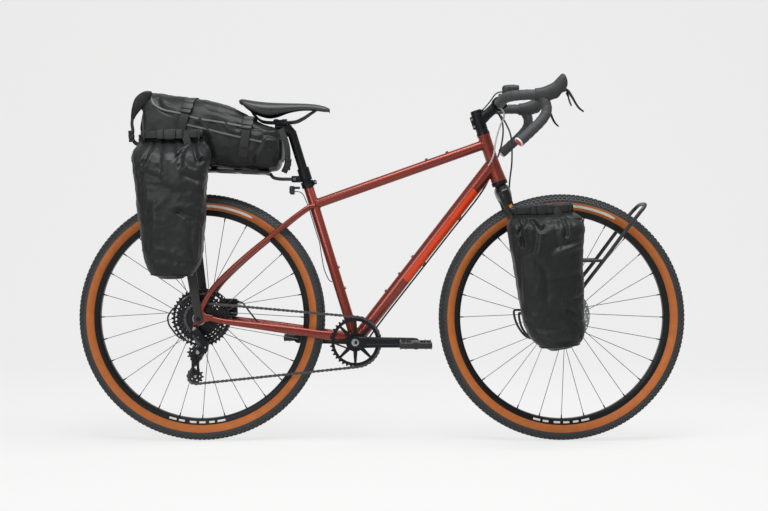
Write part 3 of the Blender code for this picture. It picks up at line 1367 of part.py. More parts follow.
def chain_frame(distance):
    """A point on the chain's line with its direction and the direction square to it."""
    step = CHAIN_PITCH / 8
    total = CHAIN_LINKS * CHAIN_PITCH
    before = chain_point(CHAIN_PIECES, (distance - step) % total)
    after = chain_point(CHAIN_PIECES, (distance + step) % total)
    forward = (after - before).normalized()
    return chain_point(CHAIN_PIECES, distance % total), forward, Vector((-forward.z, 0.0, forward.x))


def chain_segments():
    """Pairs of (pin, joint) distances. On straight runs one segment spans up to three links."""
    segments = []
    index = 0
    while index < CHAIN_LINKS:
        pin = index * CHAIN_PITCH
        span = 1
        for longer in (2, 3):
            reach = [pin + (step - 0.5) * CHAIN_PITCH for step in range(longer + 1)]
            if index + longer <= CHAIN_LINKS and all(on_straight(distance) for distance in reach):
                span = longer
        segments.append((pin, pin + (span - 0.5) * CHAIN_PITCH))
        index += span
    return segments


def make_chain():
    """Two loops of side plates, bridged by pins with their rollers."""
    bm = bmesh.new()
    half = CHAIN_PLATE_HEIGHT / 2
    outer_y = CHAIN_WIDTH / 2
    inner_y = outer_y - CHAIN_PLATE_THICKNESS
    segments = chain_segments()
    loops = []
    for side in (-1, 1):
        loop = []
        for _pin, joint in segments:
            centre, _forward, up = chain_frame(joint)
            corners = ((-1, inner_y), (1, inner_y), (1, outer_y), (-1, outer_y))
            loop.append([bm.verts.new(centre + up * half * level + Y_AXIS * (CHAIN_LINE + side * y))
                         for level, y in corners])
        loops.append(loop)
    for index, (pin, _joint) in enumerate(segments):
        centre, forward, up = chain_frame(pin)
        turns = (-forward - up, -forward + up, forward + up, forward - up)
        rollers = []
        for side, loop in zip((-1, 1), loops):
            near = loop[index - 1]
            far = loop[index]
            for start in (1, 2, 3):
                end = (start + 1) % 4
                bm.faces.new((near[start], near[end], far[end], far[start]))
            middle = centre + Y_AXIS * (CHAIN_LINE + side * inner_y)
            roller = [bm.verts.new(middle + turn * ROLLER_RADIUS / math.sqrt(2)) for turn in turns]
            plate = [near[0], near[1], far[1], far[0]]
            for corner in range(4):
                following = (corner + 1) % 4
                bm.faces.new((plate[corner], plate[following], roller[following], roller[corner]))
            rollers.append(roller)
        for corner in range(4):
            following = (corner + 1) % 4
            bm.faces.new((rollers[0][corner], rollers[0][following], rollers[1][following],
                          rollers[1][corner]))
    return new_part("chain", bm, DARK_STEEL)


def valley_turn(centre, radius):
    """The angle of a tooth valley that meets a roller in the middle of the wrap."""
    wrapped = [roller for roller in ROLLERS if abs((roller - centre).length - radius) < 0.0001]
    return turn_of(centre, wrapped[len(wrapped) // 2])


def toothed_outline(teeth, start, tips_per_tooth=2):
    """A ring of teeth with a valley at the start angle."""
    radius = wheel_radius(teeth)
    outline = []
    for tooth in range(teeth):
        valley = start + 2 * math.pi * tooth / teeth
        outline.append(((radius - TOOTH_VALLEY) * math.cos(valley),
                        (radius - TOOTH_VALLEY) * math.sin(valley)))
        crest = valley + math.pi / teeth
        half = TOOTH_FLAT / radius if tips_per_tooth == 2 else 0.0
        for shift in ((-half, half) if tips_per_tooth == 2 else (0.0,)):
            outline.append(((radius + TOOTH_TIP) * math.cos(crest + shift),
                            (radius + TOOTH_TIP) * math.sin(crest + shift)))
    return outline


def ring_window(inner, outer, start, end, steps=3):
    near = [start[0] + (end[0] - start[0]) * step / steps for step in range(steps + 1)]
    far = [start[1] + (end[1] - start[1]) * step / steps for step in range(steps + 1)]
    window = [(inner * math.cos(turn), inner * math.sin(turn)) for turn in near]
    return window + [(outer * math.cos(turn), outer * math.sin(turn)) for turn in reversed(far)]


def make_chainring():
    centre = (BOTTOM_BRACKET.x, BOTTOM_BRACKET.z)
    low = CHAIN_LINE - RING_THICKNESS / 2
    high = CHAIN_LINE + RING_THICKNESS / 2
    start = valley_turn(BOTTOM_BRACKET, wheel_radius(RING_TEETH))
    ring = slab("chainring", toothed_outline(RING_TEETH, start, tips_per_tooth=1), BLACK_METAL, low, high,
                centre)
    cutters = [side_rod("bore", centre, low - EXTRA_CUT, high + EXTRA_CUT, SPINDLE_RADIUS + GAP, BLACK_METAL,
                        SHELL_SIDES)]
    share = 2 * math.pi / RING_ARMS
    for arm in range(RING_ARMS):
        inner_half = RING_ARM_WIDTH / RING_HUB_RADIUS / 2
        outer_half = RING_ARM_WIDTH / RING_RIM_INNER / 2
        starts = (arm * share + inner_half, arm * share + outer_half)
        ends = ((arm + 1) * share - inner_half, (arm + 1) * share - outer_half)
        window = ring_window(RING_HUB_RADIUS, RING_RIM_INNER, starts, ends)
        cutters.append(slab("window", window, BLACK_METAL, low - EXTRA_CUT, high + EXTRA_CUT, centre))
    return cut(ring, *cutters)


def core_ring(bm, radius, y):
    """A ring of points on the cassette's core."""
    ring = []
    for step in range(AXLE_SIDES):
        turn = 2 * math.pi * step / AXLE_SIDES
        ring.append(bm.verts.new(REAR_AXLE + Vector((radius * math.cos(turn), y, radius * math.sin(turn)))))
    return ring


def fan_to_teeth(bm, teeth, ring):
    """Faces from a core ring out to the tips and valleys of a cog, both in order of angle."""
    count = len(teeth)
    shares = [round(count * step / AXLE_SIDES) for step in range(AXLE_SIDES + 1)]
    for step in range(AXLE_SIDES):
        after = (step + 1) % AXLE_SIDES
        middle = (shares[step] + shares[step + 1]) // 2
        for index in range(shares[step], shares[step + 1]):
            near = ring[step] if index < middle else ring[after]
            bm.faces.new((teeth[index], teeth[(index + 1) % count], near))
        bm.faces.new((teeth[middle % count], ring[after], ring[step]))


def join_rings(bm, near, far):
    for step in range(len(near)):
        after = (step + 1) % len(near)
        bm.faces.new((near[step], near[after], far[after], far[step]))


def make_cassette():
    """Eleven cogs on one bored core, the smallest at the outside. Each cog thins towards its teeth."""
    phase = valley_turn(REAR_AXLE, wheel_radius(DRIVEN_COG))
    bore = FREEHUB_RADIUS + GAP
    bm = bmesh.new()
    first = core_ring(bm, bore, CASSETTE_OUTER_Y - COG_THICKNESS)
    ring = core_ring(bm, CASSETTE_CORE_RADIUS - 0.0015, CASSETTE_OUTER_Y - COG_THICKNESS)
    join_rings(bm, first, ring)
    for index, count in enumerate(COGS):
        y = CASSETTE_OUTER_Y + COG_SPACING * index
        radius = CASSETTE_CORE_RADIUS if count > COGS[0] else CASSETTE_CORE_RADIUS - 0.0015
        near = core_ring(bm, radius, y - COG_THICKNESS / 2)
        far = core_ring(bm, radius, y + COG_THICKNESS / 2)
        step_angle = math.pi / count
        begin = (phase % (2 * step_angle)) / (2 * step_angle)
        outline = toothed_outline(count, (begin - 1.0) * 2 * step_angle, tips_per_tooth=1)
        teeth = [bm.verts.new(REAR_AXLE + Vector((x, y, z))) for x, z in outline]
        join_rings(bm, ring, near)
        fan_to_teeth(bm, teeth, near)
        fan_to_teeth(bm, teeth, far)
        ring = far
    last = core_ring(bm, CASSETTE_CORE_RADIUS, CASSETTE_INNER_Y + COG_THICKNESS)
    inside = core_ring(bm, bore, CASSETTE_INNER_Y + COG_THICKNESS)
    join_rings(bm, ring, last)
    join_rings(bm, last, inside)
    join_rings(bm, inside, first)
    return new_part("cassette", bm, DARK_STEEL)


def make_pulley(name, centre):
    radius = wheel_radius(PULLEY_TEETH)
    start = valley_turn(centre, radius)
    low = CHAIN_LINE - PULLEY_THICKNESS / 2
    high = CHAIN_LINE + PULLEY_THICKNESS / 2
    middle = (centre.x, centre.z)
    pulley = slab(name, toothed_outline(PULLEY_TEETH, start, tips_per_tooth=1), MATTE_PLASTIC, low, high,
                  middle)
    hub = side_rod("hub", middle, low - 0.0020, high + 0.0020, 0.0070, MATTE_PLASTIC, 10)
    join(pulley, hub)
    bore = side_rod("bore", middle, low - EXTRA_CUT, high + EXTRA_CUT, PULLEY_BOLT_RADIUS + GAP,
                    MATTE_PLASTIC, 10)
    return cut(pulley, bore)


def capsule_outline(start, end, start_radius, end_radius, steps=3):
    """An outline round two circles, as (x, z) points."""
    heading = math.atan2(end.z - start.z, end.x - start.x)
    outline = []
    for centre, radius, first in ((end, end_radius, heading - math.pi / 2),
                                  (start, start_radius, heading + math.pi / 2)):
        for step in range(steps + 1):
            angle = first + math.pi * step / steps
            outline.append((centre.x + radius * math.cos(angle), centre.z + radius * math.sin(angle)))
    return outline


def make_cage():
    """Two plates joined by the pulley bolts, with a pivot collar and a tail tab on the outer one."""
    half = CAGE_INNER_WIDTH / 2
    inner = CHAIN_LINE + half
    outer = CHAIN_LINE - half
    plate = slab("derailleur_cage", capsule_outline(UPPER_PULLEY, LOWER_PULLEY, 0.0105, 0.0100), DARK_STEEL,
                 inner, inner + CAGE_PLATE)
    far = slab("plate", capsule_outline(UPPER_PULLEY, LOWER_PULLEY, 0.0105, 0.0100), DARK_STEEL,
               outer - CAGE_PLATE, outer)
    lobe = slab("lobe", capsule_outline(CAGE_PIVOT, UPPER_PULLEY.lerp(LOWER_PULLEY, 0.5), 0.0120, 0.0070),
                DARK_STEEL,
                outer - CAGE_PLATE, outer)
    collar = side_rod("collar", (CAGE_PIVOT.x, CAGE_PIVOT.z), outer - CAGE_PLATE - 0.0022, outer - 0.0004,
                      0.0080,
                      DARK_STEEL, 14)
    pieces = [far, lobe, collar]
    for pulley in (UPPER_PULLEY, LOWER_PULLEY):
        pieces.append(side_rod("bolt", (pulley.x, pulley.z), outer - CAGE_PLATE - 0.0012,
                               inner + CAGE_PLATE + 0.0012,
                               PULLEY_BOLT_RADIUS, DARK_STEEL, 8))
    return join(plate, *pieces)


KNUCKLE_INNER_Y = -(DROPOUT_OUTER_Y + GAP)
CAGE_COLLAR_Y = CHAIN_LINE - CAGE_INNER_WIDTH / 2 - CAGE_PLATE - 0.0022


def make_rear_derailleur():
    """Upper knuckle on the hanger, the link body, and the knuckle that carries the cage."""
    upper = side_rod("rear_derailleur", (HANGER.x, HANGER.z), KNUCKLE_INNER_Y, KNUCKLE_INNER_Y - 0.0145,
                     0.0110,
                     BLACK_METAL, 14)
    lower = side_rod("knuckle", (CAGE_PIVOT.x, CAGE_PIVOT.z), CAGE_COLLAR_Y - GAP, CAGE_COLLAR_Y - 0.0240,
                     0.0135,
                     BLACK_METAL, 14)
    points = [HANGER + Vector((0.000, -0.0870, -0.002)), HANGER + Vector((0.0140, -0.0880, -0.0200)),
              HANGER + Vector((0.0270, -0.0850, -0.0410)), HANGER + Vector((0.0245, -0.0770, -0.0600)),
              CAGE_PIVOT + Vector((0.004, -0.0700, 0.001))]
    link = swept("link", smooth_path(points, 2), 0.0085, 0.0105, BLACK_METAL, sides=8, power=3.0)
    guide = rod("guide", HANGER + Vector((-0.004, -0.0840, -0.0040)),
                HANGER + Vector((-0.0225, -0.0860, -0.0300)), 0.0050,
                BLACK_METAL, 8)
    return join(upper, lower, link, guide)


CRANK_PATH = (
    # along the arm, outward from the arm's root, half thickness, half height
    (-0.004, 0.0000, 0.0070, 0.0170),
    (0.020, 0.0006, 0.0070, 0.0168),
    (0.060, 0.0030, 0.0068, 0.0155),
    (0.110, 0.0075, 0.0066, 0.0148),
    (0.150, 0.0110, 0.0066, 0.0146),
    (0.172, 0.0120, 0.0066, 0.0140),
)


def make_crank(name, side):
    """An arm with its pedal axle. The right arm carries the spindle, the left arm clamps on it."""
    way = -side
    root_y = CRANK_INNER_Y + CRANK_THICKNESS / 2
    centre = (BOTTOM_BRACKET.x, BOTTOM_BRACKET.z)
    path = []
    for along, outward, _thick, _tall in CRANK_PATH:
        path.append(BOTTOM_BRACKET + Vector((way * along, side * (root_y + outward), 0.0)))
    arm = swept(name, path, [step[2] for step in CRANK_PATH], [step[3] for step in CRANK_PATH], BLACK_METAL,
                sides=10,
                power=2.8)
    outer = root_y + CRANK_THICKNESS / 2
    boss_inner = RING_OUTER_Y + GAP if side < 0 else BB_OUTER_Y + 3 * GAP
    end_x = BOTTOM_BRACKET.x + way * CRANK_LENGTH
    end_y = root_y + CRANK_FLARE
    pieces = [
        side_rod("boss", centre, side * boss_inner, side * outer, CRANK_BOSS_RADIUS, BLACK_METAL,
                 SHELL_SIDES),
        side_rod("end", (end_x, centre[1]), side * (end_y - 0.0068), side * (end_y + 0.0068),
                 PEDAL_BOSS_RADIUS,
                 BLACK_METAL, 14),
        side_rod("axle", (end_x, centre[1]), side * end_y, side * (PEDAL_AXLE_END), PEDAL_AXLE_RADIUS,
                 BLACK_METAL, 10),
    ]
    if side < 0:
        pieces.append(side_rod("spindle", centre, -boss_inner, SPINDLE_END, SPINDLE_RADIUS, BLACK_METAL,
                               SHELL_SIDES))
        return join(arm, *pieces)
    join(arm, *pieces)
    socket = side_rod("socket", centre, BB_OUTER_Y - EXTRA_CUT, SPINDLE_END + GAP, SPINDLE_RADIUS + GAP,
                      BLACK_METAL, SHELL_SIDES)
    return cut(arm, socket)


RING_OUTER_Y = -(CHAIN_LINE - RING_THICKNESS / 2)
SPINDLE_END = 0.0620
PEDAL_INNER_Y = CRANK_INNER_Y + CRANK_THICKNESS / 2 + CRANK_FLARE + PEDAL_OFFSET
PEDAL_AXLE_END = PEDAL_INNER_Y + 0.0810


def make_pedal(name, side):
    """A platform with two windows and a barrel bored for its axle."""
    x = BOTTOM_BRACKET.x - side * CRANK_LENGTH
    z = BOTTOM_BRACKET.z
    inner = PEDAL_INNER_Y
    outer = inner + PEDAL_WIDTH
    middle = Vector((x, side * (inner + outer) / 2, z))
    pedal = block(name, middle, (PEDAL_LENGTH, PEDAL_WIDTH, PEDAL_HEIGHT), BLACK_METAL, None, 0.004)
    windows = []
    for way in (-1, 1):
        windows.append(block("window", middle + X_AXIS * way * 0.0265, (0.0270, 0.0640, 0.0400), BLACK_METAL))
    cut(pedal, *windows)
    barrel = side_rod("barrel", (x, z), side * (inner - 0.0030), side * outer, 0.0105, BLACK_METAL, 14)
    join(pedal, barrel)
    bore = side_rod("bore", (x, z), side * (inner - 0.0030 - EXTRA_CUT), side * (PEDAL_AXLE_END + GAP),
                    PEDAL_AXLE_RADIUS + GAP, BLACK_METAL, 10)
    return cut(pedal, bore)


# Racks, each measured from its own axle
FRONT_RACK_SIDE = (
    (0.0312, -0.0660, 0.0485), (0.0513, -0.0660, 0.0882), (0.1121, -0.0660, 0.1672),
    (0.1709, -0.0660, 0.2462),
    (0.2135, -0.0660, 0.3010), (0.2275, -0.0620, 0.3175), (0.2345, -0.0520, 0.3260),
    (0.2375, -0.0350, 0.3300),
)
FRONT_RACK_TOP = (0.2383, 0.0, 0.3310)
STRUT_POINTS = ((0.1121, -0.0660, 0.1672), (-0.0265, -0.0640, 0.1655), (-0.0885, -0.0550, 0.1650))
FRONT_EYE_OUTER_Y = FORK_OUTER_Y + GAP + 0.0125


def make_front_rack():
    """One hoop from tip to tip over the wheel, with a strut to each blade."""
    foot = FRONT_RACK_EYE + Y_AXIS * -FRONT_RACK_Y
    right = [foot] + [FRONT_AXLE + Vector(point) for point in FRONT_RACK_SIDE]
    left = [mirrored(point) for point in reversed(right)]
    top = FRONT_AXLE + Vector(FRONT_RACK_TOP)
    hoop = swept("front_rack", right + [top] + left, FRONT_RACK_TUBE, FRONT_RACK_TUBE, BLACK_PAINT, sides=6)
    pieces = []
    for side in (-1, 1):
        points = [FRONT_AXLE + Vector((x, -side * y, z)) for x, y, z in STRUT_POINTS]
        strut = swept("strut", points, FRONT_STRUT_RADIUS, FRONT_STRUT_RADIUS, BLACK_PAINT, sides=6)
        pieces.append(cut(strut, fork_blade(side, GAP)))
        eye = (FRONT_RACK_EYE.x, FRONT_RACK_EYE.z)
        pieces.append(side_rod("eye", eye, side * (FORK_OUTER_Y + GAP), side * FRONT_EYE_OUTER_Y, 0.0075,
                               BLACK_PAINT, 10))
    return join(hoop, *pieces)


LEG_POINTS = (
    # back, up, side position, half width of the strap
    (0.0000, 0.0000, 0.0801, 0.0110),
    (-0.0025, 0.0150, 0.0801, 0.0110),
    (-0.0265, 0.1740, 0.0801, 0.0160),
    (-0.0535, 0.3540, 0.0801, 0.0220),
    (-0.0595, 0.3890, 0.0770, 0.0225),
    (-0.0630, 0.4170, 0.0600, 0.0225),
    (-0.0640, 0.4290, 0.0480, 0.0225),
)


def rack_leg(side, grow=0.0):
    path = [REAR_AXLE + Vector((x, side * y, z)) for x, z, y, _half in LEG_POINTS]
    halves = [point[3] + grow for point in LEG_POINTS]
    return swept("leg", path, REAR_LEG_THICKNESS / 2 + grow, halves, BLACK_PAINT, sides=8, power=5.0)


def deck_height(x):
    """The deck's middle height at a distance along the bike."""
    share = (x - REAR_AXLE.x - DECK_BACK[0]) / (DECK_FRONT[0] - DECK_BACK[0])
    return REAR_AXLE.z + DECK_BACK[1] + (DECK_FRONT[1] - DECK_BACK[1]) * share


def make_rear_rack():
    """A slotted deck on two strap legs, with a rod forward to the seatpost clamp."""
    slope = math.atan2(DECK_BACK[1] - DECK_FRONT[1], DECK_FRONT[0] - DECK_BACK[0])
    turn = Quaternion(Y_AXIS, slope)
    length = DECK_FRONT[0] - DECK_BACK[0]
    middle_x = REAR_AXLE.x + (DECK_FRONT[0] + DECK_BACK[0]) / 2
    middle = Vector((middle_x, 0.0, deck_height(middle_x)))
    deck = block("rear_rack", middle, (length, DECK_HALF_WIDTH * 2, DECK_THICKNESS), BLACK_PAINT, turn,
                 0.0015)
    slots = []
    for slot_x in DECK_SLOTS:
        x = REAR_AXLE.x + slot_x
        centre = Vector((x, 0.0, deck_height(x)))
        slots.append(block("slot", centre, (0.052, 0.076, 0.020), BLACK_PAINT, turn))
    cut(deck, *slots)
    pieces = []
    for side in (-1, 1):
        leg = rack_leg(side)
        foot_y = LEG_POINTS[0][2]
        half = REAR_LEG_THICKNESS / 2
        eye = side_rod("eye", (REAR_AXLE.x, REAR_AXLE.z), side * (foot_y - half), side * (foot_y + half),
                       0.0125,
                       BLACK_PAINT, 14)
        pieces.append(join(leg, eye))
    nose = REAR_AXLE + Vector((DECK_FRONT[0], 0.0, DECK_FRONT[1]))
    stay = [nose + Vector((-0.0140, 0.0, deck_height(nose.x - 0.0140) - nose.z - 0.0010)),
            nose + Vector((-0.0010, 0.0, -0.0040)), nose + Vector((0.0080, 0.0, -0.0130)),
            nose + Vector((0.0260, 0.0, -0.0170)), RACK_ROD_END - X_AXIS * 0.0210, RACK_ROD_END]
    pieces.append(swept("stay", stay, RACK_ROD_HALF_WIDTH, RACK_ROD_HALF_HEIGHT, BLACK_PAINT, sides=8))
    join(deck, *pieces)
    bore = cross_pin("bore", REAR_AXLE, 0.100, AXLE_BORE, BLACK_PAINT, AXLE_SIDES)
    return cut(deck, bore)


RACK_CLAMP_BASE = SEAT_TUBE_LENGTH + 0.0040
RACK_CLAMP_TOP = RACK_CLAMP_BASE + RACK_CLAMP_HEIGHT
RACK_CLAMP_AT = seat_point(RACK_CLAMP_BASE + 0.008)
RACK_ROD_END = RACK_CLAMP_AT - Vector((0.0230, 0.0, 0.0035))


def make_rack_clamp():
    """A band round the seatpost with a lug behind it that holds the end of the rack's rod."""
    bore = SEATPOST_RADIUS + GAP
    outer = bore + 0.0038
    profile = [
        (bore, RACK_CLAMP_BASE), (outer - 0.0008, RACK_CLAMP_BASE), (outer, RACK_CLAMP_BASE + 0.0008),
        (outer, RACK_CLAMP_TOP - 0.0008), (outer - 0.0008, RACK_CLAMP_TOP), (bore, RACK_CLAMP_TOP),
    ]
    band = turned("rack_seatpost_clamp", profile, seat_point(0.0), SEAT_UP, BLACK_METAL, sides=ROUND_SIDES)
    lug_at = RACK_ROD_END - X_AXIS * 0.0062
    lug = block("lug", lug_at, (0.0240, 0.0200, 0.0190), BLACK_METAL, None, 0.0015)
    bolt = cross_pin("bolt", lug_at + Vector((-0.003, 0.0, 0.0)), 0.0130, 0.0035, BLACK_METAL, 6)
    join(band, lug, bolt)
    hole = swept("hole", [RACK_ROD_END - X_AXIS * 0.0500, RACK_ROD_END + X_AXIS * GAP],
                 RACK_ROD_HALF_WIDTH + GAP,
                 RACK_ROD_HALF_HEIGHT + GAP, BLACK_METAL, sides=8)
    return cut(band, hole)


# Bags
DUFFEL_STATIONS = (
    # forward of the rear axle, half width, base above the deck, top above the rear axle
    (-0.1635, 0.0700, 0.0620, 0.5990),
    (-0.1575, 0.0880, 0.0260, 0.6290),
    (-0.1375, 0.0950, 0.0050, 0.6380),
    (-0.0935, 0.0970, 0.0006, 0.6400),
    (-0.0075, 0.0970, 0.0006, 0.6380),
    (0.0665, 0.0960, 0.0006, 0.6220),
    (0.1265, 0.0940, 0.0006, 0.6000),
    (0.1545, 0.0920, 0.0006, 0.5740),
    (0.1815, 0.0880, 0.0006, 0.5630),
    (0.2145, 0.0800, 0.0040, 0.5570),
    (0.2305, 0.0660, 0.0180, 0.5450),
    (0.2345, 0.0480, 0.0380, 0.5250),
)


def make_duffel():
    """A stuffed roll-top bag lying along the rack deck."""
    rings = []
    for forward, half, lift, rise in DUFFEL_STATIONS:
        x = REAR_AXLE.x + forward
        top = REAR_AXLE.z + rise
        base = deck_height(x) + DECK_THICKNESS / 2 + lift
        rings.append(oval(Vector((x, 0.0, (base + top) / 2)), Y_AXIS, Z_AXIS, half, (top - base) / 2, 14,
                          3.2))
    bag = lofted("duffel_bag", rings, BAG_FABRIC, sharp=60.0)
    return cut(bag, post_head(GAP * 3))


def bag_rings(stations, axle, sides=12, power=5.0):
    """Level rings of a hanging bag; each may slope from its back edge to its front edge."""
    rings = []
    for back, front, back_z, front_z, inner, outer in stations:
        centre = axle + Vector(((back + front) / 2, (inner + outer) / 2, (back_z + front_z) / 2))
        run = Vector(((front - back) / 2, 0.0, (front_z - back_z) / 2))
        rings.append(oval(centre, run, Y_AXIS, 1.0, (inner - outer) / 2, sides, power))
    return rings


REAR_BAG_STATIONS = (
    # from the rear axle: back, front, height at the back, height at the front; inner side, outer side
    (-0.1035, -0.0235, 0.1260, 0.1250, -0.1080, -0.2120),
    (-0.1185, -0.0005, 0.1350, 0.1340, -0.0970, -0.2250),
    (-0.1235, 0.0075, 0.1590, 0.1570, -0.0930, -0.2310),
    (-0.1375, 0.0127, 0.2250, 0.2250, -0.0930, -0.2310),
    (-0.1460, 0.0215, 0.2870, 0.2870, -0.0930, -0.2300),
    (-0.1550, 0.0255, 0.3870, 0.3840, -0.0930, -0.2260),
    (-0.1595, 0.0295, 0.4340, 0.4240, -0.0960, -0.2080),
    (-0.1635, 0.0335, 0.4750, 0.4590, -0.1060, -0.1800),
    (-0.1665, 0.0355, 0.5030, 0.4850, -0.1080, -0.1600),
    (-0.1655, 0.0365, 0.5350, 0.5120, -0.1090, -0.1570),
)
FRONT_BAG_STATIONS = (
    # the same, from the front axle
    (-0.0665, 0.0115, -0.0780, -0.0780, -0.1020, -0.2040),
    (-0.0845, 0.0245, -0.0690, -0.0690, -0.0900, -0.2160),
    (-0.1145, 0.0325, -0.0390, -0.0450, -0.0850, -0.2210),
    (-0.1399, 0.0345, 0.0640, 0.0540, -0.0850, -0.2210),
    (-0.1570, 0.0340, 0.1740, 0.1740, -0.0850, -0.2200),
    (-0.1695, 0.0330, 0.2440, 0.2440, -0.0850, -0.2130),
    (-0.1715, 0.0315, 0.2830, 0.2830, -0.0900, -0.1900),
    (-0.1695, 0.0295, 0.3030, 0.3030, -0.0930, -0.1650),
    (-0.1685, 0.0285, 0.3290, 0.3290, -0.0950, -0.1560),
)


REAR_HOOKS = (
    # forward of the rear axle, above it, width, width of the mouth
    (-0.0513, 0.3390, 0.052, 0.036), (-0.0348, 0.2290, 0.044, 0.026),
)
FRONT_HOOKS = (-0.0615, -0.0065)


def hook(centre, size):
    return block("hook", centre, size, BLACK_METAL, None, 0.001)


def make_rear_pannier():
    """A roll-top bag with two hooks that close round the right leg of the rear rack."""
    bag = lofted("rear_pannier", bag_rings(REAR_BAG_STATIONS, REAR_AXLE), BAG_FABRIC, sharp=60.0)
    hooks = []
    tools = [rack_leg(-1, GAP)]
    for x, height, width, mouth in REAR_HOOKS:
        hooks.append(hook(REAR_AXLE + Vector((x, -0.0855, height)), (width, 0.0200, 0.016)))
        mouth_at = REAR_AXLE + Vector((x, -0.0750, height))
        tools.append(block("slot", mouth_at, (mouth, 0.0080, 0.030), BLACK_METAL))
    join(bag, *hooks)
    return cut(bag, *tools)


def make_front_pannier():
    """A roll-top bag with hooks over the strut and hoop of the front rack."""
    bag = lofted("front_pannier", bag_rings(FRONT_BAG_STATIONS, FRONT_AXLE), BAG_FABRIC, sharp=60.0)
    pieces = []
    for x in FRONT_HOOKS:
        pieces.append(hook(FRONT_AXLE + Vector((x, -0.0770, 0.1670)), (0.018, 0.0260, 0.024)))
    join(bag, *pieces)
    points = [FRONT_AXLE + Vector(point) for point in STRUT_POINTS]
    radius = FRONT_STRUT_RADIUS + GAP
    strut = swept("cutter", points, radius, radius, BLACK_METAL, sides=6)
    mouth_at = FRONT_AXLE + Vector((-0.0345, -0.0650, 0.1590))
    mouth = block("mouth", mouth_at, (0.120, 0.0094, 0.0130), BLACK_METAL)
    return cut(bag, strut, mouth)


# Rear light and the cords
def make_rear_light():
    collar = seat_point(SEAT_TUBE_LENGTH - COLLAR_DEPTH / 2)
    lamp = block("rear_light", collar + Vector((-0.0461, 0.0, -0.0167)), (0.0150, 0.0380, 0.0250),
                 MATTE_PLASTIC, None, 0.003)
    arm = block("arm", collar + Vector((-0.0321, 0.0, -0.0097)), (0.0230, 0.0100, 0.0070), MATTE_PLASTIC,
                None, 0.001)
    join(lamp, arm)
    outer = SEAT_TUBE_RADIUS + GAP + COLLAR_WALL + GAP
    start = seat_point(SEAT_TUBE_LENGTH - 0.047)
    end = seat_point(SEAT_TUBE_LENGTH + 0.033)
    return cut(lamp, rod("cutter", start, end, outer, MATTE_PLASTIC, ROUND_SIDES))


LIGHT_WIRE = (
    (-0.2562, -0.0060, 0.7290), (-0.2480, -0.0055, 0.7290), (-0.2380, -0.0040, 0.7265),
    (-0.2305, -0.0020, 0.7190),
    (-0.2245, 0.0000, 0.7060), (-0.2158, 0.0000, 0.6850), (-0.2087, 0.0000, 0.6620),
    (-0.1897, 0.0000, 0.6000),
    (-0.1829, 0.0000, 0.5780), (-0.1770, 0.0000, 0.5400), (-0.1690, 0.0000, 0.5000),
    (-0.1560, 0.0000, 0.4710),
    (-0.1462, 0.0000, 0.4640),
)
SHIFT_FRONT = (
    (0.3423, -0.0670, 0.9671), (0.3500, -0.0580, 0.9600), (0.3540, -0.0440, 0.9440),
    (0.3440, -0.0370, 0.9200),
    (0.3320, -0.0365, 0.8800), (0.3260, -0.0335, 0.8400), (0.3190, -0.0265, 0.8180),
    (0.3111, -0.0183, 0.8039),
)
SHIFT_REAR = (
    (-0.5084, -0.0702, 0.4307), (-0.5300, -0.0725, 0.4310), (-0.5560, -0.0745, 0.4240),
    (-0.5820, -0.0760, 0.4050),
    (-0.6040, -0.0800, 0.3850), (-0.6140, -0.0840, 0.3655), (-0.6100, -0.0865, 0.3450),
    (-0.6000, -0.0865, 0.3300),
    (-0.5905, -0.0865, 0.3173), (-0.5780, -0.0860, 0.3070), (-0.5635, -0.0859, 0.3017),
)
FRONT_HOSE = (
    (0.3423, 0.0740, 0.9671), (0.3540, 0.0690, 0.9590), (0.3700, 0.0560, 0.9320), (0.3840, 0.0460, 0.8900),
    (0.3860, 0.0460, 0.8200),
    (0.3800, 0.0520, 0.7600), (0.3800, 0.0600, 0.7000), (0.3960, 0.0620, 0.6300), (0.4230, 0.0660, 0.5500),
    (0.4290, 0.0620, 0.5050), (0.4325, 0.0545, 0.4780), (0.4347, 0.0510, 0.4615), (0.4396, 0.0481, 0.4511),
)
REAR_HOSE = (
    (0.3423, 0.0665, 0.9671), (0.3490, 0.0600, 0.9600), (0.3580, 0.0470, 0.9360), (0.3590, 0.0400, 0.9000),
    (0.3520, 0.0370, 0.8600), (0.3380, 0.0320, 0.8200),
    (0.3170, 0.0220, 0.7690), (0.2830, 0.0090, 0.7130), (0.2000, 0.0030, 0.6085), (0.1000, 0.0020, 0.4800),
    (0.0200, 0.0020, 0.3780), (-0.0280, 0.0030, 0.3140), (-0.0560, 0.0080, 0.2740), (-0.0860, 0.0180, 0.2640),
    (-0.1250, 0.0300, 0.2750), (-0.1700, 0.0420, 0.2910), (-0.2400, 0.0500, 0.3060),
    (-0.3100, 0.0560, 0.3160),
    (-0.3400, 0.0545, 0.3200), (-0.3600, 0.0490, 0.3330), (-0.3760, 0.0480, 0.3510),
    (-0.3930, 0.0500, 0.3720),
    (-0.4090, 0.0560, 0.3920), (-0.4180, 0.0595, 0.4005), (-0.4250, 0.0600, 0.4020),
)


def make_cord(name, points, radius, steps, sides=5):
    return swept(name, smooth_path(points, steps), radius, radius, RUBBER, sides=sides)


# Assembly: the moving groups hang from empties on their axes
def carried(name, pivot, parts):
    """Parents parts to an empty on their axis and leaves them where they are."""
    axis = bpy.data.objects.new(name, None)
    bpy.context.scene.collection.objects.link(axis)
    axis.location = Vector(pivot)
    bpy.context.view_layer.update()
    for part in parts:
        part.parent = axis
        part.matrix_parent_inverse = axis.matrix_world.inverted()
    return axis


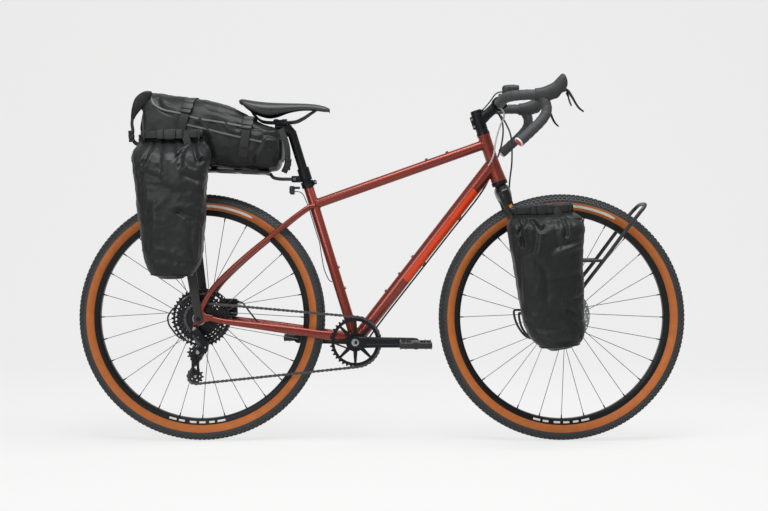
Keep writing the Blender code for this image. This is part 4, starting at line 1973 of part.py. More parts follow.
def make_frame_group():
    make_head_tube()
    make_top_tube()
    make_down_tube()
    make_seat_tube()
    make_chainstays()
    make_seatstays()
    make_bottom_bracket()
    make_headset_lower_cup()
    make_seat_collar()
    make_seatpost()
    make_saddle_rails()
    make_saddle()
    make_rear_rack()
    make_rack_clamp()
    make_duffel()
    make_rear_pannier()
    make_rear_light()
    make_rear_axle()
    make_rear_caliper()
    make_rear_derailleur()
    make_chain()
    make_cord("rear_light_wire", LIGHT_WIRE, LIGHT_WIRE_RADIUS, 2)
    make_cord("shift_housing_front", SHIFT_FRONT, HOSE_RADIUS, 2)
    make_cord("shift_housing_rear", SHIFT_REAR, HOSE_RADIUS, 2)
    make_cord("rear_brake_hose", REAR_HOSE, HOSE_RADIUS, 2)


def make_steering_group():
    fixed = [
        make_fork(), make_headset_spacers(), make_stem(), make_top_cap(), make_handlebar(),
        make_bar_tape("bar_tape_right", -1), make_bar_tape("bar_tape_left", 1),
        make_lever_body("lever_body_right", -1), make_lever_body("lever_body_left", 1),
        make_headlight(), make_front_rack(), make_front_pannier(), make_front_caliper(),
        make_cord("front_brake_hose", FRONT_HOSE, HOSE_RADIUS, 2), make_front_axle(),
    ]
    carried("steering_axis", head_point(HEAD_TUBE_BASE), fixed)
    carried("right_lever_axis", lever_pivot(-1), [make_brake_lever("brake_lever_right", -1)])
    carried("left_lever_axis", lever_pivot(1), [make_brake_lever("brake_lever_left", 1)])
    carried("paddle_axis", PADDLE_PIVOT, [make_shift_paddle()])
    wheel = [
        make_front_hub(), make_rim("front_rim", FRONT_AXLE), make_tyre("front_tyre", FRONT_AXLE),
        make_rotor("front_brake_rotor", FRONT_AXLE, FRONT_ROTOR_RADIUS, FRONT_ROTOR_Y),
    ]
    carried("front_wheel_axis", FRONT_AXLE, wheel)


def make_drive_groups():
    wheel = [
        make_rear_hub(), make_rim("rear_rim", REAR_AXLE), make_tyre("rear_tyre", REAR_AXLE),
        make_rotor("rear_brake_rotor", REAR_AXLE, REAR_ROTOR_RADIUS, REAR_ROTOR_Y),
    ]
    carried("rear_wheel_axis", REAR_AXLE, wheel)
    carried("cassette_axis", REAR_AXLE, [make_cassette()])
    carried("crank_axis", BOTTOM_BRACKET,
            [make_crank("crank_right", -1), make_crank("crank_left", 1), make_chainring()])
    for name, side in (("pedal_right", -1), ("pedal_left", 1)):
        pedal_axis = BOTTOM_BRACKET + X_AXIS * -side * CRANK_LENGTH
        carried(name + "_axis", pedal_axis + Y_AXIS * side * PEDAL_INNER_Y, [make_pedal(name, side)])
    carried("cage_axis", CAGE_PIVOT, [make_cage()])
    carried("upper_pulley_axis", UPPER_PULLEY, [make_pulley("upper_pulley", UPPER_PULLEY)])
    carried("lower_pulley_axis", LOWER_PULLEY, [make_pulley("lower_pulley", LOWER_PULLEY)])


make_frame_group()
make_steering_group()
make_drive_groups()
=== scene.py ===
# %% [markdown]
# # A gravel bike with racks and roll-top bags
# This notebook dresses a finished mechanical model. The solids, their sizes and their joints are already
# there, in metres, with +X forward, -Y the drive side and +Z up. Each cell makes one piece or one finish of
# the real bike, says what it is, and makes it ride on the body that carries it.

# %% Load the mechanical model
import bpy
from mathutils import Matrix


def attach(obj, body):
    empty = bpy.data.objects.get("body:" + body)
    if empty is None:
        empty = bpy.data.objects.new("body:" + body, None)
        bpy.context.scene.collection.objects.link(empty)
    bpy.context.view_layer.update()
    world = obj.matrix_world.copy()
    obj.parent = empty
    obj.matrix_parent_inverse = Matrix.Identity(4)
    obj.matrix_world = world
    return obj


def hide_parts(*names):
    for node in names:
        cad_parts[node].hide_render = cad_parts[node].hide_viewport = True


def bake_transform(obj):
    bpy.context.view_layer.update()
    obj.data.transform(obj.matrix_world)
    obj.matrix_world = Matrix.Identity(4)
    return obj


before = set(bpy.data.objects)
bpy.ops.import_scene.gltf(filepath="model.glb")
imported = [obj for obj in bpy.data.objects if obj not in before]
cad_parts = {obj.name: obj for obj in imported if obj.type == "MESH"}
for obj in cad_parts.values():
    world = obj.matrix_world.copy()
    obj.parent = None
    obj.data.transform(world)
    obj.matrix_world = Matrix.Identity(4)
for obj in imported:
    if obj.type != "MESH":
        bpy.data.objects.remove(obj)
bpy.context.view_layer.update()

import math

import bmesh
import bpy
import numpy as np
from mathutils import Matrix, Quaternion, Vector, noise

scene = bpy.context.scene
X_AXIS = Vector((1.0, 0.0, 0.0))
Y_AXIS = Vector((0.0, 1.0, 0.0))
Z_AXIS = Vector((0.0, 0.0, 1.0))

# %% [markdown]
# ## The camera
# The photograph looks square at the drive side from a little above the hubs. Its lens is long, and its
# frame sits low, which a small vertical shift gives without tilting the wheels.

# %% Camera
PHOTO_SIZE = (768, 511)
HORIZON_ROW = 230.0
MIDDLE_COLUMN = 384.0
MIDDLE_ROW = 255.5
CAMERA_PLACE = Vector((0.006, -3.700, 0.6164))
METRES_PER_PIXEL = 0.002935
LENS = 59.09

camera_data = bpy.data.cameras.new("camera")
camera_data.lens = LENS
camera_data.sensor_width = 36.0
camera_data.shift_y = (HORIZON_ROW - MIDDLE_ROW) / PHOTO_SIZE[0]
camera = bpy.data.objects.new("camera", camera_data)
camera.location = CAMERA_PLACE
camera.rotation_euler = (math.radians(90.0), 0.0, 0.0)
scene.collection.objects.link(camera)
scene.camera = camera


def seen_at(column, row, y):
    """The place at a side distance y that the photograph shows in a column and row."""
    spread = METRES_PER_PIXEL * (y - CAMERA_PLACE.y) / -CAMERA_PLACE.y
    x = CAMERA_PLACE.x + (column - MIDDLE_COLUMN) * spread
    z = CAMERA_PLACE.z + (HORIZON_ROW - row) * spread
    return Vector((x, y, z))


print("camera at", tuple(camera.location))

# %% [markdown]
# ## Shapes
# Nearly every part of a bike is a tube along a path, a turned ring, a flat plate with holes or a small
# block. A few helpers make these from rings of points, so that each cell below can say only what is special
# about its piece. Curves between given points use the Catmull-Rom rule, which passes through every
# point.

# %% Paths and rings
def smooth_rows(rows, steps):
    """Rows of numbers with smooth ones between them. A row may be a point or a whole station of a shape."""
    rows = np.array([tuple(row) for row in rows], dtype=float)
    padded = np.vstack([2 * rows[0] - rows[1], rows, 2 * rows[-1] - rows[-2]])
    made = []
    for a, b, c, d in zip(padded, padded[1:], padded[2:], padded[3:]):
        for step in range(steps):
            t = step / steps
            made.append(0.5 * (2 * b + (c - a) * t + (2 * a - 5 * b + 4 * c - d) * t**2
                               + (3 * b - a - 3 * c + d) * t**3))
    made.append(rows[-1])
    return made


def smooth_path(points, steps=8):
    return [Vector(row) for row in smooth_rows(points, steps)]


def column(rows, index):
    """One size of each station, as a list."""
    return [float(row[index]) for row in rows]


def eased(share):
    """A share from 0 to 1 that starts and ends softly."""
    return share * share * (3 - 2 * share)


def on_circle(radius, turn):
    """A point at a distance and a turn from the middle."""
    return (radius * math.cos(turn), radius * math.sin(turn))


def squared(value, power):
    """A sine or cosine pushed outward: round at power 2, squarer as the power grows."""
    return math.copysign(abs(value) ** (2 / power), value)


def mirrored(point):
    """The same point on the other side of the bike."""
    return Vector((point[0], -point[1], point[2]))


def frames_along(path, reference=Y_AXIS):
    """A centre, an across and an up direction at each point, turning as little as they can."""
    frames = []
    across = Vector(reference)
    for index, point in enumerate(path):
        before = path[max(index - 1, 0)]
        after = path[min(index + 1, len(path) - 1)]
        tangent = (after - before).normalized()
        across = (across - tangent * across.dot(tangent)).normalized()
        frames.append((point, across, tangent.cross(across)))
    return frames


def oval(centre, across, upward, half_across, half_up, sides, power=2.0):
    """A ring of points: round at power 2, squarer as the power grows."""
    ring = []
    for step in range(sides):
        turn = 2 * math.pi * step / sides
        wide = squared(math.cos(turn), power) * half_across
        tall = squared(math.sin(turn), power) * half_up
        ring.append(centre + across * wide + upward * tall)
    return ring


def loft(bm, rings, closed=False, caps=True):
    """Faces between rings of points, closed into a loop or capped at both ends."""
    rows = [[bm.verts.new(point) for point in ring] for ring in rings]
    pairs = list(zip(rows, rows[1:]))
    if closed:
        pairs.append((rows[-1], rows[0]))
    for near, far in pairs:
        for index in range(len(near)):
            following = (index + 1) % len(near)
            bm.faces.new((near[index], near[following], far[following], far[index]))
    if caps and not closed:
        bm.faces.new(rows[0])
        bm.faces.new(rows[-1])


def web(bm, rows):
    """Faces between rows of points that form an open sheet."""
    grid = [[bm.verts.new(point) for point in row] for row in rows]
    for near, far in zip(grid, grid[1:]):
        for place in range(len(near) - 1):
            bm.faces.new((near[place], near[place + 1], far[place + 1], far[place]))


# %% Tubes, rods and turned rings
def each(value, count):
    """A list of sizes from one size or a list."""
    return list(value) if isinstance(value, (list, tuple)) else [value] * count


def tube(bm, path, half_across, half_up=None, sides=24, power=2.0, reference=Y_AXIS, rounded=False):
    """A round or oval tube along a path, with domed ends where asked."""
    path = [Vector(point) for point in path]
    widths = each(half_across, len(path))
    heights = each(half_up, len(path)) if half_up is not None else widths
    rings = []
    for (centre, across, upward), width, height in zip(frames_along(path, reference), widths, heights):
        rings.append(oval(centre, across, upward, width, height, sides, power))
    if rounded:
        for place, outward in ((0, (path[0] - path[1]).normalized()),
                               (-1, (path[-1] - path[-2]).normalized())):
            centre = path[place]
            size = min(widths[place], heights[place])
            edge = rings[place]
            for turn in (30, 60, 80):
                share = math.cos(math.radians(turn))
                reach = math.sin(math.radians(turn)) * size * 0.8
                dome = [centre + (point - centre) * share + outward * reach for point in edge]
                rings.insert(0, dome) if place == 0 else rings.append(dome)
    loft(bm, rings)


def rod(bm, start, end, radius, sides=24, end_radius=None, chamfer=0.0004):
    """A straight bar with a fine chamfer at both ends."""
    start = Vector(start)
    end = Vector(end)
    along = (end - start).normalized()
    far = radius if end_radius is None else end_radius
    path = [start, start + along * chamfer, end - along * chamfer, end]
    reference = Y_AXIS if abs(along.y) < 0.9 else X_AXIS
    tube(bm, path, [radius - chamfer, radius, far, far - chamfer], sides=sides, reference=reference)


def turned(bm, profile, origin, axis, sides=48, hollow=True):
    """A turned piece from (radius, place on the axis): a ring-shaped outline, or a solid's outer side."""
    axis = Vector(axis).normalized()
    reference = Y_AXIS if abs(axis.dot(Y_AXIS)) < 0.9 else X_AXIS
    across = (reference - axis * reference.dot(axis)).normalized()
    upward = axis.cross(across)
    if not hollow:
        rings = [oval(Vector(origin) + axis * along, across, upward, radius, radius, sides) for radius,
                 along in profile]
        loft(bm, rings)
        return
    rings = []
    for step in range(sides):
        turn = 2 * math.pi * step / sides
        outward = across * math.cos(turn) + upward * math.sin(turn)
        rings.append([Vector(origin) + outward * radius + axis * along for radius, along in profile])
    loft(bm, rings, closed=True)


def sleeve(inner, outer, low, high, chamfer, rise=None):
    """The outline of a turned sleeve, chamfered at both ends of its outer side."""
    rise = chamfer if rise is None else rise
    return [(inner, low), (outer - chamfer, low), (outer, low + rise), (outer, high - rise),
            (outer - chamfer, high),
            (inner, high)]


def side_turned(bm, centre, profile, sides=40):
    """A turned piece on an axis across the bike."""
    turned(bm, profile, Vector((centre.x, 0.0, centre.z)), Y_AXIS, sides)


def socket_bolt(bm, place, direction, radius, height, key=0.55):
    """A bolt head with a hexagonal key socket, standing on a surface."""
    direction = Vector(direction).normalized()
    reference = Y_AXIS if abs(direction.y) < 0.9 else X_AXIS
    across = (reference - direction * reference.dot(direction)).normalized()
    upward = direction.cross(across)
    place = Vector(place)
    levels = ((radius, 0.0, 2.0), (radius, height * 0.85, 2.0), (radius * 0.88, height, 2.0),
              (radius * key, height, 2.6), (radius * key, height * 0.4, 2.6))
    rings = [oval(place + direction * along, across, upward, size, size, 12, power) for size, along,
             power in levels]
    loft(bm, rings)


# %% Plates, blocks and straps
def block(bm, centre, size, turn=None, bevel=0.001, segments=2):
    """A box with rounded edges, turned about its centre."""
    spin = turn.to_matrix().to_4x4() if turn else Matrix()
    place = Matrix.Translation(Vector(centre)) @ spin @ Matrix.Diagonal((*size, 1.0))
    verts = bmesh.ops.create_cube(bm, size=1.0, matrix=place)["verts"]
    edges = list({edge for vert in verts for edge in vert.link_edges})
    bmesh.ops.bevel(bm, geom=edges, offset=bevel, segments=segments, affect="EDGES", profile=0.5)


def plate(bm, outlines, y_from, y_to, centre=(0.0, 0.0), bevel=0.0003):
    """A flat plate in the side view: the first outline of (x, z) points, with the rest as holes in it."""
    low, high = sorted((y_from, y_to))
    curve = bpy.data.curves.new("plate", "CURVE")
    curve.dimensions = "2D"
    curve.fill_mode = "BOTH"
    curve.extrude = (high - low) / 2 - bevel
    curve.bevel_depth = bevel
    curve.bevel_resolution = 0
    curve.offset = -bevel
    for outline in outlines:
        spline = curve.splines.new("POLY")
        spline.points.add(len(outline) - 1)
        for point, (x, z) in zip(spline.points, outline):
            point.co = (x, z, 0.0, 1.0)
        spline.use_cyclic_u = True
    carrier = bpy.data.objects.new("plate", curve)
    mesh = bpy.data.meshes.new_from_object(carrier)
    mesh.transform(Matrix.Translation((centre[0], (low + high) / 2,
                                       centre[1])) @ Matrix.Rotation(math.pi / 2, 4, "X"))
    first = len(bm.verts)
    bm.from_mesh(mesh)
    bm.verts.ensure_lookup_table()
    bmesh.ops.remove_doubles(bm, verts=bm.verts[first:], dist=0.000002)
    bpy.data.objects.remove(carrier)
    bpy.data.curves.remove(curve)
    bpy.data.meshes.remove(mesh)


def circle(radius, sides=32, centre=(0.0, 0.0), phase=0.0):
    """A round outline for a plate or a hole in one."""
    turns = [2 * math.pi * (step + phase) / sides for step in range(sides)]
    return [(centre[0] + radius * math.cos(turn), centre[1] + radius * math.sin(turn)) for turn in turns]


def capsule(start, end, start_radius, end_radius, steps=10):
    """A round-ended outline about two points of the side view."""
    heading = math.atan2(end[1] - start[1], end[0] - start[0])
    outline = []
    for middle, radius, first in ((end, end_radius, heading - math.pi / 2),
                                  (start, start_radius, heading + math.pi / 2)):
        for step in range(steps + 1):
            turn = first + math.pi * step / steps
            outline.append((middle[0] + radius * math.cos(turn), middle[1] + radius * math.sin(turn)))
    return outline


def ribbon(bm, path, outward, width, thickness):
    """A flat strap along a path: one outward direction at each point says which way its face looks."""
    rings = []
    for index, point in enumerate(path):
        before = path[max(index - 1, 0)]
        after = path[min(index + 1, len(path) - 1)]
        along = (after - before).normalized()
        face = (outward[index] - along * outward[index].dot(along)).normalized()
        rings.append(oval(point, along.cross(face), face, width / 2, thickness / 2, 12, 6.0))
    loft(bm, rings)


def piece(name, bm, finish, body, stands_for=(), sharp=38.0):
    """Turns a mesh under construction into a finished piece that rides on a body."""
    bmesh.ops.recalc_face_normals(bm, faces=bm.faces)
    mesh = bpy.data.meshes.new(name)
    bm.to_mesh(mesh)
    bm.free()
    mesh.materials.append(finish)
    mesh.shade_smooth()
    mesh.set_sharp_from_angle(angle=math.radians(sharp))
    made = bpy.data.objects.new(name, mesh)
    scene.collection.objects.link(made)
    if body:
        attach(made, body)
    if stands_for:
        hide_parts(*stands_for)
    print(name, len(mesh.polygons), "faces on", body)
    return made


# %% [markdown]
# ## Finishes
# Every finish starts from the real material and how its surface was made. Colours are written as sRGB hex
# values, as a paint chart or a screen shows them, and one function turns them to the linear values that a
# shader works in. Patterns are placed in object coordinates, which are metres here, so a pattern's scale is
# one over its real size.

# %% Colour and node helpers
MM = 0.001


def linear(hex_colour):
    """The linear colour of an sRGB hex value."""
    shares = [int(hex_colour[place:place + 2], 16) / 255 for place in (1, 3, 5)]
    bright = [share / 12.92 if share <= 0.04045 else ((share + 0.055) / 1.055) ** 2.4 for share in shares]
    return bright + [1.0]


def add(tree, kind, inputs=None, **settings):
    """Adds one node with its settings. An input takes a value or the socket that feeds it."""
    made = tree.nodes.new(kind)
    for key, value in settings.items():
        setattr(made, key, value)
    for key, value in (inputs or {}).items():
        if isinstance(value, bpy.types.NodeSocket):
            tree.links.new(value, made.inputs[key])
        else:
            made.inputs[key].default_value = value
    return made


def blank_finish(name, values):
    """A material with its shader's fixed values set, and its object coordinates ready for patterns."""
    made = bpy.data.materials.new(name)
    made.use_nodes = True
    tree = made.node_tree
    shader = tree.nodes["Principled BSDF"]
    for key, value in values.items():
        shader.inputs[key].default_value = value
    place = add(tree, "ShaderNodeTexCoord").outputs["Object"]
    return made, tree, shader, place


def surface(name, shade, light, patch_mm, values, grain_mm=0.5, relief_mm=0.05, rough=None):
    """A finish with soft patches of two colours, a fine grained relief and, where given, uneven gloss."""
    made, tree, shader, place = blank_finish(name, values)
    patches = add(tree, "ShaderNodeTexNoise", {"Vector": place, "Scale": 1 / (patch_mm * MM), "Detail": 4.0})
    colour = add(tree, "ShaderNodeMix", {0: patches.outputs["Fac"], 6: linear(shade), 7: linear(light)},
                 data_type="RGBA")
    tree.links.new(colour.outputs[2], shader.inputs["Base Color"])
    grain = add(tree, "ShaderNodeTexNoise", {"Vector": place, "Scale": 1 / (grain_mm * MM), "Detail": 2.0})
    relief = add(tree, "ShaderNodeBump",
                 {"Height": grain.outputs["Fac"], "Distance": relief_mm * MM, "Strength": 0.6})
    tree.links.new(relief.outputs["Normal"], shader.inputs["Normal"])
    if rough:
        gloss = add(tree, "ShaderNodeMapRange",
                    {"Value": patches.outputs["Fac"], "To Min": rough[0], "To Max": rough[1]})
        tree.links.new(gloss.outputs["Result"], shader.inputs["Roughness"])
    return made


# %% [markdown]
# ### Paints
# The frame wears a metallic stove enamel: a brick-red base coat full of fine aluminium flakes under a clear
# coat. That gives a deep red that lifts to pink where a lamp shines on it. The fork and racks wear black
# enamel, smooth and wet on the fork and a little dusty on the racks. The decal is a printed film under the
# same clear coat.

# %% Frame enamel, fork enamel and decal film
FLAKE_SIZE_MM = 0.9      # real flakes are near 0.05 mm; drawn coarser, so that they show


def metallic_enamel(name, shade, light, flake):
    made, tree, shader, place = blank_finish(name, {
        "Metallic": 0.60, "Roughness": 0.36, "Coat Weight": 0.45, "Coat Roughness": 0.12, "Coat IOR": 1.5})
    depth = add(tree, "ShaderNodeTexNoise", {"Vector": place, "Scale": 1 / (90 * MM), "Detail": 3.0})
    base = add(tree, "ShaderNodeMix", {0: depth.outputs["Fac"], 6: linear(shade), 7: linear(light)},
               data_type="RGBA")
    flakes = add(tree, "ShaderNodeTexVoronoi", {"Vector": place, "Scale": 1 / (FLAKE_SIZE_MM * MM)})
    glint = add(tree, "ShaderNodeMapRange",
                {"Value": flakes.outputs["Color"], "From Min": 0.74, "To Max": 0.30})
    colour = add(tree, "ShaderNodeMix", {0: glint.outputs["Result"], 6: base.outputs[2], 7: linear(flake)},
                 data_type="RGBA")
    tree.links.new(colour.outputs[2], shader.inputs["Base Color"])
    peel = add(tree, "ShaderNodeTexNoise", {"Vector": place, "Scale": 1 / (4 * MM)})
    relief = add(tree, "ShaderNodeBump",
                 {"Height": peel.outputs["Fac"], "Distance": 0.03 * MM, "Strength": 0.5})
    tree.links.new(relief.outputs["Normal"], shader.inputs["Normal"])
    return made


brick_enamel = metallic_enamel("brick_red_metallic_enamel", "#702114", "#862F1E",
                               "#DC9078")
decal_film = surface("orange_red_decal_film", "#D83404", "#E8480A", 30.0, {
    "Roughness": 0.36, "Specular IOR Level": 0.35, "Coat Weight": 0.2, "Coat Roughness": 0.1}, 2.0, 0.02)
amber_film = surface("amber_decal_film", "#D98A12", "#E89A20", 10.0, {"Roughness": 0.35},
                     1.0, 0.01)
gloss_black = surface("black_stove_enamel", "#0A0B0C", "#101113", 60.0, {
    "Roughness": 0.34, "Specular IOR Level": 0.35, "Coat Weight": 0.2, "Coat Roughness": 0.1}, 4.0, 0.03)
rack_black = surface("satin_black_powder_coat", "#101112", "#1A1B1C", 25.0, {
    "Roughness": 0.42, "Coat Weight": 0.15, "Coat Roughness": 0.2}, 0.8, 0.06, (0.34, 0.52))
print("paints", [made.name for made in (brick_enamel, decal_film, gloss_black, rack_black)])

# %% [markdown]
# ### Metals
# The cranks, hubs, stem, seatpost and derailleur are aluminium, bead-blasted and anodised black: dark and
# soft, with a metal's bright edge under a lamp. Chain and cogs are steel with a dull, oiled grey. Rotors
# and spokes are stainless steel, the rotors with round grinding marks.

# %% Aluminium and steel
anodised_black = surface("dyed_anodised_aluminium", "#17181A", "#242528", 18.0, {
    "Metallic": 0.75, "Roughness": 0.38}, 0.6, 0.03, (0.32, 0.46))
rim_anodised = surface("black_anodised_rim", "#121315", "#1B1C1E", 30.0, {
    "Metallic": 0.6, "Roughness": 0.36}, 0.8, 0.03, (0.32, 0.44))
bolt_steel = surface("zinc_plated_bolt_steel", "#8B8C8E", "#B2B3B5", 4.0, {
    "Metallic": 1.0, "Roughness": 0.28}, 0.4, 0.02)
oiled_steel = surface("oiled_chain_steel", "#3A3A3C", "#6A6A6B", 5.0, {
    "Metallic": 1.0, "Roughness": 0.36}, 0.5, 0.04, (0.28, 0.48))
cog_steel = surface("black_nickel_cog_steel", "#1B1B1D", "#38383A", 8.0, {
    "Metallic": 0.9, "Roughness": 0.34}, 0.5, 0.04, (0.28, 0.44))
spoke_steel = surface("drawn_stainless_spoke", "#5D5F62", "#7D7F82", 12.0, {
    "Metallic": 1.0, "Roughness": 0.30}, 1.0, 0.02)
rail_steel = surface("black_saddle_rail_steel", "#232426", "#303133", 10.0, {
    "Metallic": 0.8, "Roughness": 0.32}, 0.6, 0.02)


def ground_steel(name, shade, light, centre, pitch_mm):
    """Steel with round grinding marks about a hub."""
    made, tree, shader, place = blank_finish(name, {"Metallic": 1.0, "Roughness": 0.27})
    shifted = add(tree, "ShaderNodeVectorMath", {0: place, 1: tuple(centre)}, operation="SUBTRACT")
    rings = add(tree, "ShaderNodeTexWave",
                {"Vector": shifted.outputs["Vector"], "Scale": 0.16 / (pitch_mm * MM),
                "Distortion": 0.8}, wave_type="RINGS", rings_direction="Y")
    colour = add(tree, "ShaderNodeMix", {0: rings.outputs["Fac"], 6: linear(shade), 7: linear(light)},
                 data_type="RGBA")
    tree.links.new(colour.outputs[2], shader.inputs["Base Color"])
    relief = add(tree, "ShaderNodeBump",
                 {"Height": rings.outputs["Fac"], "Distance": 0.02 * MM, "Strength": 0.4})
    tree.links.new(relief.outputs["Normal"], shader.inputs["Normal"])
    return made


# %% [markdown]
# ### Rubbers, tape and plastics
# The tread is carbon-black rubber, matt and a little dusty. The sidewall is bare cotton and nylon casing
# dipped in tan rubber, so its fine cords show as diagonal lines. Bar tape is foamed cork blend with a soft
# grain. Hoods are silicone rubber. Small plastics are glass-filled nylon, moulded with a fine spark-eroded
# texture.

# %% Rubber, tape and moulded plastic
tread_rubber = surface("carbon_black_tread_rubber", "#232527", "#3B3E40", 9.0, {
    "Roughness": 0.60, "Specular IOR Level": 0.5}, 1.2, 0.25, (0.46, 0.72))
hood_rubber = surface("silicone_hood_rubber", "#242526", "#303132", 12.0, {
    "Roughness": 0.62}, 0.9, 0.08, (0.55, 0.70))
hose_rubber = surface("black_hose_jacket", "#151618", "#202123", 15.0, {
    "Roughness": 0.42, "IOR": 1.49}, 0.8, 0.03)
grey_housing = surface("light_grey_cable_housing", "#A9ABAD", "#BFC1C2", 20.0, {
    "Roughness": 0.40, "IOR": 1.49}, 0.8, 0.03)
moulded_nylon = surface("moulded_black_nylon", "#101112", "#1B1C1D", 9.0, {
    "Roughness": 0.50, "IOR": 1.53}, 0.5, 0.05, (0.44, 0.58))
red_plug = surface("red_end_plug_plastic", "#B01A22", "#CC2A30", 6.0, {
    "Roughness": 0.38, "IOR": 1.49}, 0.5, 0.03)
white_print = surface("blank_white_print", "#D9D6CF", "#E8E6E1", 12.0, {"Roughness": 0.6},
                      0.8, 0.02)
clear_lens = surface("clear_lamp_lens", "#C9CDD0", "#DDE0E2", 4.0, {
    "Roughness": 0.08, "IOR": 1.585, "Transmission Weight": 0.35}, 1.5, 0.05)
red_lens = surface("red_lamp_lens", "#7C0D10", "#A3161A", 3.0, {
    "Roughness": 0.12, "IOR": 1.585}, 1.2, 0.10)
CORD_SPACING_MM = 1.6    # a casing has a cord each 0.4 mm; drawn four times coarser, so that it shows


def casing_finish(name, centre):
    """Tan rubber over diagonal casing cords, drawn about a wheel's hub."""
    made, tree, shader, place = blank_finish(name,
                                             {"Roughness": 0.62, "Specular IOR Level": 0.35})
    shifted = add(tree, "ShaderNodeVectorMath", {0: place, 1: tuple(centre)}, operation="SUBTRACT")
    patches = add(tree, "ShaderNodeTexNoise", {"Vector": place, "Scale": 1 / (22 * MM), "Detail": 5.0})
    colour = add(tree, "ShaderNodeMix",
                 {0: patches.outputs["Fac"], 6: linear("#A85A26"), 7: linear("#C37236")},
                 data_type="RGBA")
    cords = add(tree, "ShaderNodeTexWave",
                {"Vector": shifted.outputs["Vector"], "Scale": 0.16 / (CORD_SPACING_MM * MM),
                "Distortion": 1.5, "Detail": 2.0}, wave_type="BANDS", bands_direction="DIAGONAL")
    tree.links.new(colour.outputs[2], shader.inputs["Base Color"])
    relief = add(tree, "ShaderNodeBump",
                 {"Height": cords.outputs["Fac"], "Distance": 0.12 * MM, "Strength": 0.5})
    tree.links.new(relief.outputs["Normal"], shader.inputs["Normal"])
    return made


bar_tape = surface("cork_blend_bar_tape", "#2E2F31", "#434446", 5.0, {
    "Roughness": 0.66}, 1.1, 0.18, (0.58, 0.76))

# %% [markdown]
# ### Bag fabric, webbing and saddle cover
# The bags are nylon weave with a thermoplastic coating, welded at its seams. The coating fills the weave,
# so the cloth is smooth with a low, waxy sheen, lighter where it is rubbed or stretched. The straps are
# woven polyester webbing with ribs across. The saddle has a stitched synthetic cover with a fine leather
# grain.

# %% Coated fabric, webbing and saddle cover
WEAVE_MM = 2.2           # the threads are 0.5 mm apart; drawn coarser, so that the weave shows


def coated_fabric(name, shade, light, sheen):
    made, tree, shader, place = blank_finish(name, {
        "Roughness": 0.45, "Specular IOR Level": 0.28, "Sheen Weight": sheen, "Sheen Roughness": 0.40,
        "Sheen Tint": linear("#C8CACC")})
    cloud = add(tree, "ShaderNodeTexNoise",
                {"Vector": place, "Scale": 1 / (70 * MM), "Detail": 6.0, "Roughness": 0.6})
    spread = add(tree, "ShaderNodeMapRange",
                 {"Value": cloud.outputs["Fac"], "From Min": 0.30, "From Max": 0.72})
    colour = add(tree, "ShaderNodeMix", {0: spread.outputs["Result"], 6: linear(shade), 7: linear(light)},
                 data_type="RGBA")
    tree.links.new(colour.outputs[2], shader.inputs["Base Color"])
    gloss = add(tree, "ShaderNodeMapRange", {"Value": cloud.outputs["Fac"], "To Min": 0.52, "To Max": 0.36})
    tree.links.new(gloss.outputs["Result"], shader.inputs["Roughness"])
    warp = add(tree, "ShaderNodeTexWave", {"Vector": place, "Scale": 0.16 / (WEAVE_MM * MM)},
               bands_direction="X")
    weft = add(tree, "ShaderNodeTexWave", {"Vector": place, "Scale": 0.16 / (WEAVE_MM * MM)},
               bands_direction="Z")
    weave = add(tree, "ShaderNodeMath", {0: warp.outputs["Fac"], 1: weft.outputs["Fac"]},
                operation="MULTIPLY")
    relief = add(tree, "ShaderNodeBump",
                 {"Height": weave.outputs["Value"], "Distance": 0.10 * MM, "Strength": 0.35})
    rumple = add(tree, "ShaderNodeTexNoise", {"Vector": place, "Scale": 1 / (16 * MM), "Detail": 3.0})
    soft = add(tree, "ShaderNodeBump",
               {"Height": rumple.outputs["Fac"], "Distance": 0.9 * MM, "Strength": 0.5,
               "Normal": relief.outputs["Normal"]})
    tree.links.new(soft.outputs["Normal"], shader.inputs["Normal"])
    return made


bag_fabric = coated_fabric("coated_nylon_bag_fabric", "#151617", "#212223", 0.04)
roll_fabric = coated_fabric("coated_nylon_roll_fabric", "#111213", "#1B1C1D", 0.03)
seam_tape = surface("welded_seam_tape", "#4E4F50", "#626364", 12.0, {
    "Roughness": 0.42}, 1.0, 0.05)
webbing = surface("woven_polyester_webbing", "#0E0F10", "#17181A", 6.0, {
    "Roughness": 0.62, "Sheen Weight": 0.12}, 1.4, 0.20)
saddle_cover = surface("grained_saddle_cover", "#141516", "#1F2021", 20.0, {
    "Roughness": 0.44, "Coat Weight": 0.1, "Coat Roughness": 0.3}, 1.3, 0.10, (0.38, 0.50))

# %% [markdown]
# ## Cords
# Five thin cords lie along the bike: two brake hoses, the shift housing in two stretches and the lead of
# the rear lamp. Each follows the route that its solid has. The two that pass the headset are fixed in
# place and ride on no body.

# %% Cord routes
HOSE_RADIUS = 0.0025
LEAD_RADIUS = 0.0013
LIGHT_WIRE = (
    (-0.2562, -0.0060, 0.7290), (-0.2480, -0.0055, 0.7290), (-0.2380, -0.0040, 0.7265),
    (-0.2305, -0.0020, 0.7190),
    (-0.2245, 0.0000, 0.7060), (-0.2158, 0.0000, 0.6850), (-0.2087, 0.0000, 0.6620),
    (-0.1897, 0.0000, 0.6000),
    (-0.1829, 0.0000, 0.5780), (-0.1770, 0.0000, 0.5400), (-0.1690, 0.0000, 0.5000),
    (-0.1560, 0.0000, 0.4710),
    (-0.1462, 0.0000, 0.4640),
)
SHIFT_FRONT = (
    (0.3423, -0.0670, 0.9671), (0.3500, -0.0580, 0.9600), (0.3540, -0.0440, 0.9440),
    (0.3440, -0.0370, 0.9200),
    (0.3320, -0.0365, 0.8800), (0.3260, -0.0335, 0.8400), (0.3190, -0.0265, 0.8180),
    (0.3111, -0.0183, 0.8039),
)
